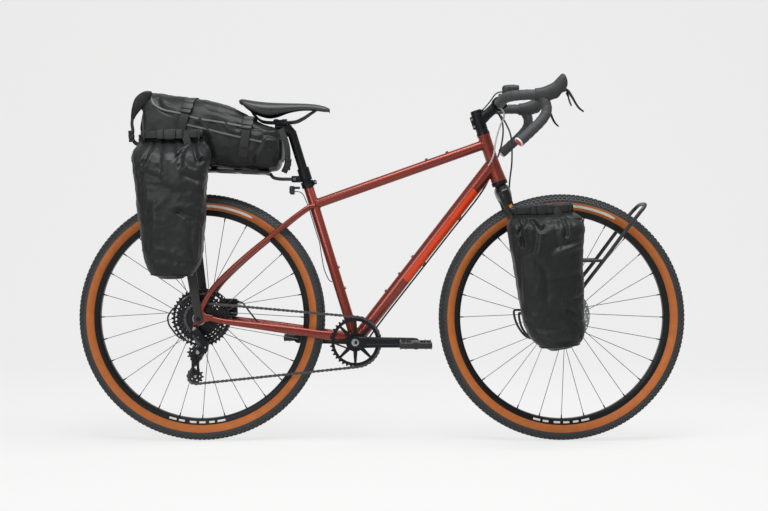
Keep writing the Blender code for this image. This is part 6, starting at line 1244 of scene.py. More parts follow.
# %% Fork
BLADE_STATIONS = (
    # up the steering axis, forward of it, half the spread, half depth, half width
    (0.405, 0.0000, 0.0415, 0.0150, 0.0085), (0.345, 0.0005, 0.0432, 0.0150, 0.0085),
    (0.280, 0.0025, 0.0465, 0.0145, 0.0082), (0.200, 0.0085, 0.0505, 0.0130, 0.0078),
    (0.120, 0.0195, 0.0535, 0.0110, 0.0072), (0.060, 0.0320, 0.0545, 0.0098, 0.0066),
    (0.016, 0.0440, 0.0545, 0.0090, 0.0036),
)
CROWN_STATIONS = (
    # side position, half depth, base, top
    (0.0000, 0.0228, 0.3790, 0.4237), (0.0140, 0.0226, 0.3785, 0.4233), (0.0260, 0.0212, 0.3750, 0.4205),
    (0.0360, 0.0185, 0.3660, 0.4150), (0.0440, 0.0160, 0.3600, 0.4080), (0.0495, 0.0110, 0.3620, 0.3970),
)
FORK_TIP_OUTLINE = (
    (0.0165, 0.0245), (0.0075, 0.0225), (-0.0030, 0.0280), (-0.0150, 0.0290), (-0.0200, 0.0180),
    (-0.0130, 0.0040), (-0.0125, -0.0050), (-0.0070, -0.0118), (0.0035, -0.0128), (0.0110, -0.0070),
    (0.0140, 0.0020), (0.0200, 0.0120), (0.0200, 0.0210),
)
FORK_INNER_Y = 0.0503
FORK_OUTER_Y = 0.0588


def make_fork():
    bm = bmesh.new()
    half = smooth_rows(CROWN_STATIONS, 4)
    rows = [(-row[0], *row[1:]) for row in reversed(half[1:])] + [tuple(row) for row in half]
    rings = []
    for y, depth, base, top in rows:
        centre = head_point((base + top) / 2) + Y_AXIS * y
        rings.append(oval(centre, HEAD_FORWARD, HEAD_UP, depth, (top - base) / 2, 28, 2.8))
    loft(bm, rings)
    for side in (-1, 1):
        rows = smooth_rows(BLADE_STATIONS, 7)
        path = [head_point(row[0], row[1]) + Y_AXIS * side * row[2] for row in rows]
        tube(bm, path, column(rows, 4), column(rows, 3), sides=28)
        holes = [circle(0.0063, 24), circle(0.0026, 12, (0.0120, 0.0170))]
        plate(bm, [list(FORK_TIP_OUTLINE)] + holes, side * FORK_INNER_Y, side * FORK_OUTER_Y,
              (FRONT_AXLE.x, FRONT_AXLE.z), 0.0010)
    tube(bm, [head_point(0.4040), head_point(0.4460), head_point(0.5000), head_point(0.6380)],
         [0.0174, 0.0174, 0.0143, 0.0143], sides=40)
    piece("fork_steel", bm, gloss_black, "steering", ("fork",))
    bm = bmesh.new()
    for side in (-1, 1):
        for along in (0.250, 0.296):
            centre = head_point(along, 0.0050) + Y_AXIS * side * (0.0480 + 0.0078)
            socket_bolt(bm, centre, Y_AXIS * side, 0.0040, 0.0030)
    piece("fork_blade_bolts", bm, bolt_steel, "steering")
    bm = bmesh.new()
    for side in (-1, 1):
        path = [head_point(0.352 + 0.003 * step,
                           0.0055 - 0.0006 * step) + Y_AXIS * side * 0.0523 for step in range(4)]
        ribbon(bm, path, [Y_AXIS * side] * 4, 0.0090, 0.0004)
    piece("fork_amber_marks", bm, amber_film, "steering")


def make_headset():
    bm = bmesh.new()
    profile = [(0.0180, 0.4240), (0.0220, 0.4240), (0.0233, 0.4252), (0.0235, 0.4275), (0.0235, 0.4335),
               (0.0228, 0.4355),
               (0.0200, 0.4357), (0.0200, 0.4440), (0.0180, 0.4440)]
    turned(bm, profile, head_point(0.0), HEAD_UP, 56)
    piece("lower_headset_cup", bm, anodised_black, "frame", ("headset_lower_cup",), sharp=30.0)
    bm = bmesh.new()
    profile = [(0.0146, 0.5798), (0.0190, 0.5798), (0.0195, 0.5804), (0.0194, 0.5830), (0.0183, 0.5876),
               (0.0174, 0.5879),
               (0.0174, 0.5929), (0.0172, 0.5932), (0.0172, 0.5936), (0.0174, 0.5939), (0.0174, 0.5994),
               (0.0171, 0.5997),
               (0.0146, 0.5997)]
    turned(bm, profile, head_point(0.0), HEAD_UP, 56)
    piece("upper_cover_and_spacers", bm, anodised_black, "steering", ("headset_spacers",), sharp=25.0)


make_fork()
make_headset()

# %% [markdown]
# ## Seatpost and saddle
# An aluminium post with a two-bolt head holds the saddle's rails. The saddle is a flexible nylon shell with
# foam and a stitched cover: broad, kicked-up tail, slim nose, a dip between them and wings that hang down.
# Sections across it, set at stations along its length, give the whole form.

# %% Seat collar, post and rails
CLAMP_CENTRE = Vector((-0.297, 0.0, 0.9315))
COLLAR_HEIGHT = 0.4795
FOUR_CORNERS = ((-1, -1), (-1, 1), (1, -1), (1, 1))
RAIL_POINTS = (
    (-0.385, 1.20, 0.0508), (-0.379, 1.17, 0.0300), (-0.361, 1.10, 0.0090), (-0.334, 1.00, 0.0000),
    (-0.262, 1.00, 0.0005), (-0.235, 0.85, 0.0095), (-0.209, 0.50, 0.0260), (-0.190, 0.31, 0.0385),
)


def make_seat_group():
    bm = bmesh.new()
    profile = [(0.01505, 0.4706), (0.0182, 0.4705), (0.0187, 0.4712), (0.0187, 0.4758), (0.0184, 0.4765),
               (0.0187, 0.4772),
               (0.0187, 0.4878), (0.0180, 0.4885), (0.0139, 0.4885), (0.0139, 0.4874), (0.01505, 0.4873)]
    turned(bm, profile, seat_point(0.0), SEAT_UP, 56)
    block(bm, seat_point(COLLAR_HEIGHT, 0.0215), (0.011, 0.0070, 0.0130), SEAT_TILT, 0.0016)
    for side in (-1, 1):
        block(bm, seat_point(COLLAR_HEIGHT, 0.0220) + Y_AXIS * side * 0.0056, (0.0105, 0.0050, 0.0130),
              SEAT_TILT, 0.0018)
    piece("seat_collar_band", bm, anodised_black, "frame", ("seat_collar",), sharp=30.0)
    bm = bmesh.new()
    bolt_place = seat_point(COLLAR_HEIGHT, 0.0248)
    rod(bm, bolt_place + Y_AXIS * -0.0080, bolt_place + Y_AXIS * 0.0080, 0.0024, 16)
    socket_bolt(bm, bolt_place + Y_AXIS * -0.0078, Y_AXIS * -1.0, 0.0040, 0.0048)
    piece("seat_collar_bolt", bm, bolt_steel, "frame")

    bm = bmesh.new()
    top = CLAMP_CENTRE.z - 0.0060
    tube(bm, [seat_point(0.330), seat_point(0.606), seat_point(0.634), Vector((-0.2865, 0.0, top - 0.0125)),
              Vector((-0.2875, 0.0, top - 0.0050))],
         [0.0136, 0.0136, 0.0140, 0.0150, 0.0140], [0.0136, 0.0136, 0.0145, 0.0220, 0.0220], sides=40,
         power=2.2)
    block(bm, Vector((CLAMP_CENTRE.x + 0.0080, 0.0, top - 0.0070)), (0.0500, 0.0290, 0.0125), None, 0.0050, 4)
    piece("seatpost_tube", bm, anodised_black, "frame", ("seatpost",))

    bm = bmesh.new()
    for side in (-1, 1):
        path = smooth_path([(x, side * 0.022 * spread, CLAMP_CENTRE.z + rise) for x, spread,
                            rise in RAIL_POINTS], 8)
        tube(bm, path, 0.0035, sides=16)
    piece("saddle_rail_pair", bm, rail_steel, "frame", ("saddle_rails",))
    bm = bmesh.new()
    for level, height in ((-0.0030, 0.0052), (0.0036, 0.0056)):
        block(bm, CLAMP_CENTRE + Z_AXIS * level, (0.0400, 0.0545, height), None, 0.0022, 3)
    for way, side in FOUR_CORNERS:
        rib = CLAMP_CENTRE + Vector((way * 0.0110, side * 0.0220, 0.0062))
        block(bm, rib, (0.0120, 0.0100, 0.0040), None, 0.0016)
    piece("rail_clamp", bm, anodised_black, "frame")
    bm = bmesh.new()
    for way in (-1, 1):
        place = CLAMP_CENTRE + Vector((way * 0.0150, 0.0, 0.0063))
        socket_bolt(bm, place, Z_AXIS, 0.0044, 0.0040)
        rod(bm, place - Z_AXIS * 0.0260, place, 0.0026, 14)
        rod(bm, place - Z_AXIS * 0.0290, place - Z_AXIS * 0.0235, 0.0048, 18)
    piece("rail_clamp_bolts", bm, bolt_steel, "frame")


# %% Saddle
SADDLE_TAIL_X = -0.415
SADDLE_STATIONS = (
    # distance along the saddle from its tail, half width, top height, depth of the wing, crown
    (0.000, 0.0440, 0.9950, 0.0060, 0.0020), (0.004, 0.0560, 0.9972, 0.0120, 0.0024),
    (0.014, 0.0645, 0.9975, 0.0210, 0.0032),
    (0.040, 0.0690, 0.9935, 0.0330, 0.0045), (0.075, 0.0650, 0.9897, 0.0400, 0.0055),
    (0.105, 0.0500, 0.9886, 0.0370, 0.0062),
    (0.140, 0.0330, 0.9880, 0.0260, 0.0062), (0.180, 0.0230, 0.9873, 0.0190, 0.0052),
    (0.220, 0.0195, 0.9846, 0.0170, 0.0050),
    (0.246, 0.0172, 0.9790, 0.0145, 0.0042), (0.257, 0.0128, 0.9745, 0.0105, 0.0034),
    (0.262, 0.0070, 0.9712, 0.0065, 0.0026),
)


def saddle_ring(half, top, depth, crown):
    """A section of the saddle: crowned top, rolled edge, hanging wing and hollow underside."""
    edge = top - crown
    return [(0.0, top - crown * 0.10), (half * 0.16, top), (half * 0.45, top - crown * 0.2),
            (half * 0.72, top - crown * 0.7),
            (half * 0.90, edge - depth * 0.14), (half, edge - depth * 0.42),
            (half * 1.0, edge - depth * 0.72),
            (half * 0.95, top - depth), (half * 0.86, top - depth), (half * 0.78, edge - depth * 0.55),
            (half * 0.55, edge - 0.0085), (half * 0.30, edge - 0.0080), (0.0, top - 0.0085 - crown * 0.6)]


def make_saddle():
    rings = []
    for row in smooth_rows(SADDLE_STATIONS, 5):
        along, half, top, depth, crown = (float(value) for value in row)
        right = [tuple(pair) for pair in smooth_rows(saddle_ring(half, top, depth, crown), 3)]
        left = [(-y, z) for y, z in reversed(right[1:-1])]
        rings.append([Vector((SADDLE_TAIL_X + along, y, z)) for y, z in right + left])
    bm = bmesh.new()
    loft(bm, rings)
    shell = piece("saddle_shell", bm, saddle_cover, "frame", ("saddle",), sharp=60.0)
    bm = bmesh.new()
    for side in (-1, 1):
        path = []
        for row in smooth_rows(SADDLE_STATIONS[2:-1], 4):
            along, half, top, depth, crown = (float(value) for value in row)
            path.append(Vector((SADDLE_TAIL_X + along, side * half * 1.004, top - crown - depth * 0.60)))
        tube(bm, path, 0.0007, sides=6)
    piece("saddle_seams", bm, rail_steel, "frame")


make_seat_group()
make_saddle()

# %% [markdown]
# ## Stem, bar and tape
# The stem is forged aluminium: a clamp round the steerer, a tapering arm and a split clamp with a bolted
# faceplate. The bar is a flared drop bar. Its tape is wound from the end plugs inward, so each turn leaves
# a small step that runs round the bar as a helix.

# %% Stem, top cap and bar
BAR_CENTRE = Vector((0.3422, 0.0, 0.9847))
STEM_BASE = 0.6000
STEM_TOP = 0.6420
EAR_RISE = 0.0150        # bolted ears of the faceplate, from the middle of the bar
EAR_OUT = 0.0165
BAR_OFFSETS = (
    # forward, out, up from the middle of the bar
    (0.0000, 0.0350, 0.0000), (0.0000, 0.0640, 0.0002), (0.0000, 0.1250, 0.0010), (0.0040, 0.1620, 0.0022),
    (0.0180, 0.1900, 0.0040), (0.0450, 0.2050, 0.0060), (0.0800, 0.2110, 0.0060), (0.0970, 0.2140, 0.0000),
    (0.1080, 0.2175, -0.0135), (0.1125, 0.2210, -0.0310), (0.1090, 0.2270, -0.0490),
    (0.0960, 0.2345, -0.0680),
    (0.0700, 0.2450, -0.0940), (0.0330, 0.2585, -0.1280),
)
BAR_RADIUS = 0.0119
CLAMP_RADIUS = 0.0159
BULGE_HALF = 0.034       # half length of the thick middle of the bar
BULGE_TAPER = 0.022
TAPE_START = 0.0640
TAPE_WALL = 0.0019
TAPE_SPACING = 0.0012    # between two rings of the tape's mesh
TAPE_EDGE = 0.12         # share of a turn over which the step rises
TAPE_PITCH = 0.0190
TAPE_STEP = 0.0013


def joined(base, tool, operation="DIFFERENCE"):
    """The solid left when one mesh under construction is cut by another, or fused with it."""
    holders = []
    for bm in (base, tool):
        bmesh.ops.recalc_face_normals(bm, faces=bm.faces)
        mesh = bpy.data.meshes.new("blank")
        bm.to_mesh(mesh)
        bm.free()
        holder = bpy.data.objects.new("blank", mesh)
        scene.collection.objects.link(holder)
        holders.append(holder)
    carve = holders[0].modifiers.new("carve", "BOOLEAN")
    carve.operation = operation
    carve.object = holders[1]
    carve.solver = "EXACT"
    carve.use_self = True
    done = bmesh.new()
    done.from_object(holders[0], bpy.context.evaluated_depsgraph_get())
    for holder in holders:
        mesh = holder.data
        bpy.data.objects.remove(holder)
        bpy.data.meshes.remove(mesh)
    return done


def make_stem():
    bm = bmesh.new()
    turned(bm, sleeve(0.0146, 0.0178, STEM_BASE, STEM_TOP, 0.0006, 0.0008), head_point(0.0), HEAD_UP, 56)
    start = head_point(0.621)
    path = smooth_path([start, BAR_CENTRE.lerp(start, 0.62), BAR_CENTRE.lerp(start, 0.35), BAR_CENTRE], 6)
    count = len(path)
    spread = [step / (count - 1) for step in range(count)]
    tube(bm, path, [0.0152 - 0.0012 * math.sin(math.pi * share) + 0.0020 * share for share in spread],
         [0.0188 - 0.0034 * math.sin(math.pi * share) - 0.0010 * share for share in spread], sides=36,
         power=2.5)
    block(bm, head_point(0.621, -0.0180), (0.0105, 0.0130, 0.0390), HEAD_TILT, 0.0030, 4)
    turned(bm, sleeve(0.0160, 0.0214, -0.0230, 0.0230, 0.0008), BAR_CENTRE, Y_AXIS, 64)
    outward = HEAD_FORWARD.lerp(HEAD_UP, 0.18).normalized()
    across = Vector((-outward.z, 0.0, outward.x))
    tilt = Quaternion(Y_AXIS, -math.atan2(outward.z, outward.x))
    for way, side in FOUR_CORNERS:
        ear = BAR_CENTRE + across * way * EAR_RISE + Y_AXIS * side * EAR_OUT + outward * 0.0070
        block(bm, ear, (0.0240, 0.0110, 0.0105), tilt, 0.0030, 3)
    groove = bmesh.new()
    for way in (-1, 1):
        block(groove, BAR_CENTRE + across * way * 0.0180 + outward * 0.0052, (0.0009, 0.0500, 0.0180), tilt,
              0.0001, 1)
    bm = joined(bm, groove)
    piece("stem_forging", bm, anodised_black, "steering", ("stem",), sharp=34.0)
    bm = bmesh.new()
    for way, side in FOUR_CORNERS:
        place = BAR_CENTRE + across * way * EAR_RISE + Y_AXIS * side * EAR_OUT + outward * 0.0186
        socket_bolt(bm, place, outward, 0.0034, 0.0034)
    for along in (0.610, 0.632):
        place = head_point(along, -0.0190)
        for side in (-1, 1):
            socket_bolt(bm, place + Y_AXIS * side * 0.0064, Y_AXIS * side, 0.0038, 0.0046)
    piece("stem_bolts", bm, bolt_steel, "steering")

    bm = bmesh.new()
    profile = [(0.0032, 0.6430), (0.0164, 0.6423), (0.0165, 0.6500), (0.0160, 0.6528), (0.0146, 0.6544),
               (0.0100, 0.6549),
               (0.0052, 0.6543), (0.0050, 0.6520), (0.0032, 0.6518)]
    turned(bm, profile, head_point(0.0), HEAD_UP, 48)
    piece("top_cap_disc", bm, anodised_black, "steering", ("top_cap",))
    bm = bmesh.new()
    socket_bolt(bm, head_point(0.6518), HEAD_UP, 0.0046, 0.0036)
    piece("top_cap_bolt", bm, bolt_steel, "steering")


def bar_path(steps):
    half = [BAR_CENTRE + Vector(offset) for offset in BAR_OFFSETS]
    whole = [mirrored(point) for point in reversed(half)] + [BAR_CENTRE.copy()] + half
    return smooth_path(whole, steps)


def make_bar():
    path = bar_path(8)
    radii = []
    for point in path:
        fade = eased(min(max((abs(point.y) - BULGE_HALF) / BULGE_TAPER, 0.0), 1.0))
        radii.append(CLAMP_RADIUS + (BAR_RADIUS - CLAMP_RADIUS) * fade)
    bm = bmesh.new()
    tube(bm, path, radii, sides=40)
    piece("handlebar_tube", bm, anodised_black, "steering", ("handlebar",))
    for side, name in ((-1, "right"), (1, "left")):
        half = [point for point in smooth_path([BAR_CENTRE + Vector((x, side * y, z)) for x, y,
                                                z in BAR_OFFSETS], 30)
                if abs(point.y) >= TAPE_START]
        reach = [0.0]
        for before, after in zip(half, half[1:]):
            reach.append(reach[-1] + (after - before).length)
        total = reach[-1]
        steps = int(total / TAPE_SPACING)
        path = []
        for step in range(steps + 1):
            goal = total * step / steps
            index = max(min(np.searchsorted(reach, goal) - 1, len(half) - 2), 0)
            share = (goal - reach[index]) / max(reach[index + 1] - reach[index], 0.000001)
            path.append(half[index].lerp(half[index + 1], share))
        bm = bmesh.new()
        rings = []
        sides = 40
        for step, (centre, across, upward) in enumerate(frames_along(path)):
            distance = total * step / steps
            ring = []
            ends = min(1.0, distance / 0.004 + 0.25, (total - distance) / 0.003 + 0.35)
            for place in range(sides):
                turn = 2 * math.pi * place / sides
                wind = (distance / TAPE_PITCH + side * turn / (2 * math.pi)) % 1.0
                edge = min(wind / TAPE_EDGE, 1.0)
                lift = TAPE_STEP * (edge * (1.0 - 0.75 * wind))
                soft = 0.0003 * noise.noise(Vector((distance * 140, 3 * math.cos(turn),
                                                    3 * math.sin(turn) + side * 9)))
                radius = BAR_RADIUS + (TAPE_WALL + lift + soft) * ends
                ring.append(centre + (across * math.cos(turn) + upward * math.sin(turn)) * radius)
            rings.append(ring)
        loft(bm, rings)
        piece("tape_" + name, bm, bar_tape, "steering", ("bar_tape_" + name,), sharp=50.0)
        bm = bmesh.new()
        finish_along = BAR_CENTRE + Vector((0.0, side * (TAPE_START + 0.0005), 0.0002))
        rod(bm, finish_along - Y_AXIS * side * 0.0060, finish_along + Y_AXIS * side * 0.0070, 0.0151, 40)
        piece("tape_finish_" + name, bm, webbing, "steering")
        end = path[-1]
        along = (path[-1] - path[-4]).normalized()
        # The white rim round each red end plug is a painted highlight: it stands in for the shine on the
        # plug's edge.
        bm = bmesh.new()
        turned(bm,
               [(0.0090, -0.004), (0.0142, -0.0012), (0.0148, 0.0002), (0.0146, 0.0020), (0.0128, 0.0026),
                (0.0090, 0.0027)],
               end, along, 40)
        piece("end_plug_rim_" + name, bm, white_print, "steering")
        bm = bmesh.new()
        turned(bm,
               [(0.0001, 0.0000), (0.0108, 0.0000), (0.0108, 0.0034), (0.0094, 0.0042), (0.0060, 0.0044),
                (0.0001, 0.0044)],
               end, along, 32)
        piece("end_plug_" + name, bm, red_plug, "steering")


make_stem()
make_bar()

# %% [markdown]
# ## Brake and shift levers
# Each hood is a silicone sleeve over the lever body: slim behind, ribbed under the palm and rising to a
# horn. The lever hangs on a pin in a slot under the horn, and the right one has the shift paddle behind its
# blade.

# %% Hoods, levers and paddle
HOOD_STATIONS = (
    # forward position, out, height, half height, half width
    (0.4240, 0.2112, 0.9906, 0.0182, 0.0182), (0.4400, 0.2130, 0.9915, 0.0192, 0.0186),
    (0.4580, 0.2150, 0.9945, 0.0225, 0.0188),
    (0.4740, 0.2165, 1.0015, 0.0240, 0.0180), (0.4870, 0.2190, 1.0105, 0.0285, 0.0175),
    (0.4970, 0.2205, 1.0215, 0.0265, 0.0165),
    (0.5050, 0.2215, 1.0240, 0.0215, 0.0140), (0.5105, 0.2220, 1.0225, 0.0120, 0.0095),
    (0.5120, 0.2221, 1.0220, 0.0070, 0.0055),
)
HOOD_POWER = 2.3
HOOD_SIDES = 44
RIBBED = (0.440, 0.474)     # the stretch of the hood with ribs
RIB_PITCH = 0.0034
RIB_HEIGHT = 0.00035
LEVER_PIVOT = Vector((0.5000, 0.2220, 1.0040))
LEVER_SLOT = 0.0096
SLOT_SIZE = (0.040, 0.036)
HUB_RADIUS = 0.0058
HOOD_TURN = Quaternion(Y_AXIS, -0.35)
BLADE_POINTS = (
    # forward position, out, height, half width, half thickness
    (0.5030, 0.2220, 1.0040, 0.0042, 0.0045), (0.5120, 0.2222, 1.0010, 0.0042, 0.0042),
    (0.5185, 0.2255, 0.9925, 0.0050, 0.0040),
    (0.5255, 0.2320, 0.9790, 0.0060, 0.0034), (0.5325, 0.2375, 0.9645, 0.0060, 0.0030),
    (0.5405, 0.2425, 0.9515, 0.0056, 0.0028),
    (0.5510, 0.2470, 0.9420, 0.0040, 0.0022), (0.5535, 0.2478, 0.9408, 0.0018, 0.0012),
)
PADDLE_PIVOT = Vector((0.5126, -0.2290, 0.9916))


def make_levers():
    for side, name in ((-1, "right"), (1, "left")):
        pivot = Vector((LEVER_PIVOT.x, side * LEVER_PIVOT.y, LEVER_PIVOT.z))
        rings = []
        for row in smooth_rows(HOOD_STATIONS, 6):
            x, y, z, tall, wide = (float(value) for value in row)
            ribbed = RIBBED[0] < x < RIBBED[1]
            ribs = RIB_HEIGHT * math.sin((x - RIBBED[0]) * 2 * math.pi / RIB_PITCH) if ribbed else 0.0
            ring = []
            for place in range(HOOD_SIDES):
                turn = 2 * math.pi * place / HOOD_SIDES
                c = squared(math.cos(turn), HOOD_POWER)
                s = squared(math.sin(turn), HOOD_POWER)
                flank = max(0.0, 1.0 - abs(s) * 1.4)
                ring.append(Vector((x, side * y + (wide + ribs * flank) * c, z + tall * s)))
            rings.append(ring)
        bm = bmesh.new()
        loft(bm, rings)
        chin = bmesh.new()
        block(chin, pivot + Vector((-0.006, 0.0, 0.004)), (0.028, 0.0235, 0.026), HOOD_TURN, 0.0058, 5)
        bm = joined(bm, chin, "UNION")
        room = HUB_RADIUS + 0.0008
        slot_centre = pivot + HOOD_TURN @ Vector((SLOT_SIZE[0] / 2 - room, 0.0, room - SLOT_SIZE[1] / 2))
        slot = bmesh.new()
        block(slot, slot_centre, (SLOT_SIZE[0], LEVER_SLOT, SLOT_SIZE[1]), HOOD_TURN, 0.0006, 1)
        bm = joined(bm, slot)
        piece("hood_" + name, bm, hood_rubber, "steering", ("lever_body_" + name,), sharp=42.0)
        bm = bmesh.new()
        rod(bm, pivot - Y_AXIS * (LEVER_SLOT / 2 + 0.0016), pivot + Y_AXIS * (LEVER_SLOT / 2 + 0.0016),
            0.0020, 16)
        piece("lever_pin_" + name, bm, bolt_steel, "steering")
        bm = bmesh.new()
        half = LEVER_SLOT / 2 - 0.0003
        turned(bm, sleeve(0.0023, HUB_RADIUS, -half, half, 0.0004), pivot, Y_AXIS, 32)
        rows = smooth_rows(BLADE_POINTS, 8)
        path = [Vector((row[0], side * row[1], row[2])) for row in rows]
        tube(bm, path, column(rows, 3), column(rows, 4), sides=24, power=2.6)
        piece("brake_blade_" + name, bm, anodised_black, "brake_lever_" + name, ("brake_lever_" + name,))


def make_paddle():
    hinge = PADDLE_PIVOT
    bm = bmesh.new()
    tube(bm, [hinge + Vector((-0.0042, -0.0002, 0.0034)), hinge + Vector((-0.0040, 0.0, 0.0030)),
              hinge + Vector((0.0020, 0.0045, -0.0080))], [0.0024, 0.0032, 0.0030], sides=20)
    stations = ((0.0010, 0.0040, -0.0060, 0.0040, 0.0018), (0.0020, 0.0045, -0.0100, 0.0072, 0.0017),
                (0.0035, 0.0050, -0.0160, 0.0102, 0.0016), (0.0075, 0.0050, -0.0270, 0.0110, 0.0015),
                (0.0098, 0.0047, -0.0318, 0.0082, 0.0013), (0.0107, 0.0045, -0.0332, 0.0046, 0.0010))
    rows = smooth_rows(stations, 6)
    path = [hinge + Vector((row[0], row[1], row[2])) for row in rows]
    tube(bm, path, column(rows, 3), column(rows, 4), sides=24, power=2.8)
    piece("shift_paddle_plate", bm, anodised_black, "shift_paddle", ("shift_paddle",))


make_levers()
make_paddle()

# %% [markdown]
# ## Headlight
# A boxy lamp stands on a foot over the bar clamp. Its shell is moulded nylon with a clear lens set into the
# front, and its lead comes up from the top cap.

# %% Headlight
LIGHT_HEIGHT = 1.0258


def light_ring(x, half, tall):
    return oval(Vector((x, 0.0, LIGHT_HEIGHT)), Y_AXIS, Z_AXIS, half, tall, 40, 3.4)


def make_headlight():
    shell = ((0.3530, 0.0110, 0.0088), (0.3538, 0.0140, 0.0112), (0.3560, 0.0166, 0.0136),
             (0.3610, 0.0186, 0.0153),
             (0.3660, 0.0195, 0.0160), (0.3705, 0.0197, 0.01615), (0.3707, 0.0193, 0.0158),
             (0.3715, 0.0193, 0.0158),
             (0.3717, 0.0197, 0.01615), (0.3880, 0.0200, 0.0162), (0.3990, 0.0192, 0.0154),
             (0.4006, 0.0184, 0.0146),
             (0.4010, 0.0176, 0.0139), (0.4008, 0.0162, 0.0126), (0.3996, 0.0155, 0.0120),
             (0.3975, 0.0153, 0.0118))
    bm = bmesh.new()
    loft(bm, [light_ring(*row) for row in shell])
    block(bm, Vector((0.3520, 0.0, 1.0110)), (0.0200, 0.0160, 0.0100), None, 0.0022, 3)
    block(bm, Vector((0.3640, 0.0, 1.0108)), (0.0260, 0.0120, 0.0040), None, 0.0014)
    rod(bm, Vector((0.3520, -0.0098, 1.0100)), Vector((0.3520, 0.0098, 1.0100)), 0.0032, 20)
    for fin in range(5):
        x = 0.3745 + fin * 0.0034
        block(bm, Vector((x, 0.0, LIGHT_HEIGHT + 0.0158)), (0.0014, 0.0200, 0.0020), None, 0.0005, 1)
    piece("headlight_shell", bm, moulded_nylon, "steering", ("headlight",), sharp=32.0)
    bm = bmesh.new()
    lens = ((0.3976, 0.0150, 0.0115), (0.3992, 0.0150, 0.0115), (0.3996, 0.0140, 0.0106),
            (0.3998, 0.0080, 0.0060))
    loft(bm, [light_ring(*row) for row in lens])
    piece("headlight_lens", bm, clear_lens, "steering")
    cap_front = head_point(0.649, 0.0193)
    lead = smooth_path([cap_front, (0.3060, 0.0, 0.9800), (0.3190, 0.002, 0.9960), (0.3310, 0.002, 1.0130),
                        (0.3430, 0.0, 1.0205), (0.3580, 0.0, 1.0220)], 8)
    bm = bmesh.new()
    tube(bm, lead, 0.0020, sides=14)
    rod(bm, cap_front - HEAD_FORWARD * 0.0032, cap_front + HEAD_FORWARD * 0.0030, 0.0034, 20)
    piece("headlight_lead", bm, hose_rubber, "steering")


make_headlight()

# %% [markdown]
# ## Brake calipers
# Flat-mount calipers: a forged body with a slot for the rotor, cooling fins on the pads' backs and a banjo
# bolt where the hose comes in.

# %% Calipers
def make_caliper(name, body, centre, size, turn, axle, rotor, fins):
    rotor_radius, rotor_y = rotor
    bm = bmesh.new()
    block(bm, centre, size, turn, 0.0055, 4)
    for side in (-1, 1):
        face = centre + (turn or Quaternion()) @ Vector((0.0, side * size[1] / 2, 0.0))
        rod(bm, face - Y_AXIS * side * 0.003, face + Y_AXIS * side * 0.0016, 0.0100, 32)
    slot = bmesh.new()
    turned(slot,
           [(0.0001, rotor_y - 0.0018), (rotor_radius + 0.003, rotor_y - 0.0018),
            (rotor_radius + 0.003, rotor_y + 0.0018),
                  (0.0001, rotor_y + 0.0018)], Vector((axle.x, 0.0, axle.z)), Y_AXIS, 64)
    bm = joined(bm, slot)
    for fin in range(fins):
        shift = (fin - (fins - 1) / 2) * 0.0032
        place = centre + (turn or Quaternion()) @ Vector((shift, 0.0, -size[2] / 2 - 0.0006))
        block(bm, place + Y_AXIS * 0.0062, (0.0012, 0.0090, 0.0040), turn, 0.0004, 1)
    piece(name, bm, anodised_black, body, (name.replace("_body", ""),), sharp=36.0)


def make_calipers():
    front = head_point(0.080, -0.0015) + Y_AXIS * ROTORS["front"][1]
    make_caliper("front_brake_caliper_body", "steering", front, (0.030, 0.027, 0.056), HEAD_TILT, FRONT_AXLE,
                 ROTORS["front"], 4)
    rear = Vector((-0.4570, ROTORS["rear"][1], 0.3860))
    make_caliper("rear_brake_caliper_body", "frame", rear, (0.054, 0.027, 0.052), None, REAR_AXLE,
                 ROTORS["rear"], 5)
    bm = bmesh.new()
    for along in (-0.019, 0.019):
        socket_bolt(bm, front + HEAD_TILT @ Vector((0.004, -0.0135, along)), Y_AXIS * -1, 0.0040, 0.0028)
    entry = head_point(0.1125, -0.0060) + Y_AXIS * 0.0480
    along = (entry - front).normalized()
    rod(bm, front + along * 0.024, entry, 0.0040, 20)
    rod(bm, entry - along * 0.0070, entry - along * 0.0010, 0.0050, 6)
    piece("front_hose_fitting", bm, anodised_black, "steering")
    bm = bmesh.new()
    entry = Vector((-0.4255, 0.0600, 0.4020))
    rod(bm, entry - X_AXIS * 0.0180, entry, 0.0040, 20)
    rod(bm, entry - X_AXIS * 0.0070, entry - X_AXIS * 0.0010, 0.0050, 6)
    piece("rear_hose_fitting", bm, anodised_black, "frame")


make_calipers()

# %% [markdown]
# ## Drivetrain
# The chain is worked out as the real one would lie: a closed line that wraps the chainring, the sprocket in
# use and the two pulleys, with straight runs between. The cage angle is the one at which the line is
# exactly 114 links long. Every link gets its own plates and rollers, and each toothed wheel is turned so
# that its valleys meet the rollers.

# %% Chain line
CHAIN_PITCH = 0.0127
CHAIN_LINKS = 114
CHAIN_LINE = -0.0475
RING_TEETH = 36
COGS = (11, 13, 15, 17, 19, 22, 25, 28, 32, 36, 42)
DRIVEN_COG = 22
PULLEY_TEETH = 11
PULLEY_SPACING = 0.0665
UPPER_PULLEY = Vector((-0.541, 0.0, 0.259))
CAGE_PIVOT = UPPER_PULLEY + Vector((0.012, 0.0, 0.006))


def wheel_radius(teeth):
    return teeth * CHAIN_PITCH / (2 * math.pi)


def lower_pulley_at(angle):
    return UPPER_PULLEY + Vector((math.cos(angle), 0.0, math.sin(angle))) * PULLEY_SPACING


def turn_of(centre, point):
    return math.atan2(point.z - centre.z, point.x - centre.x)


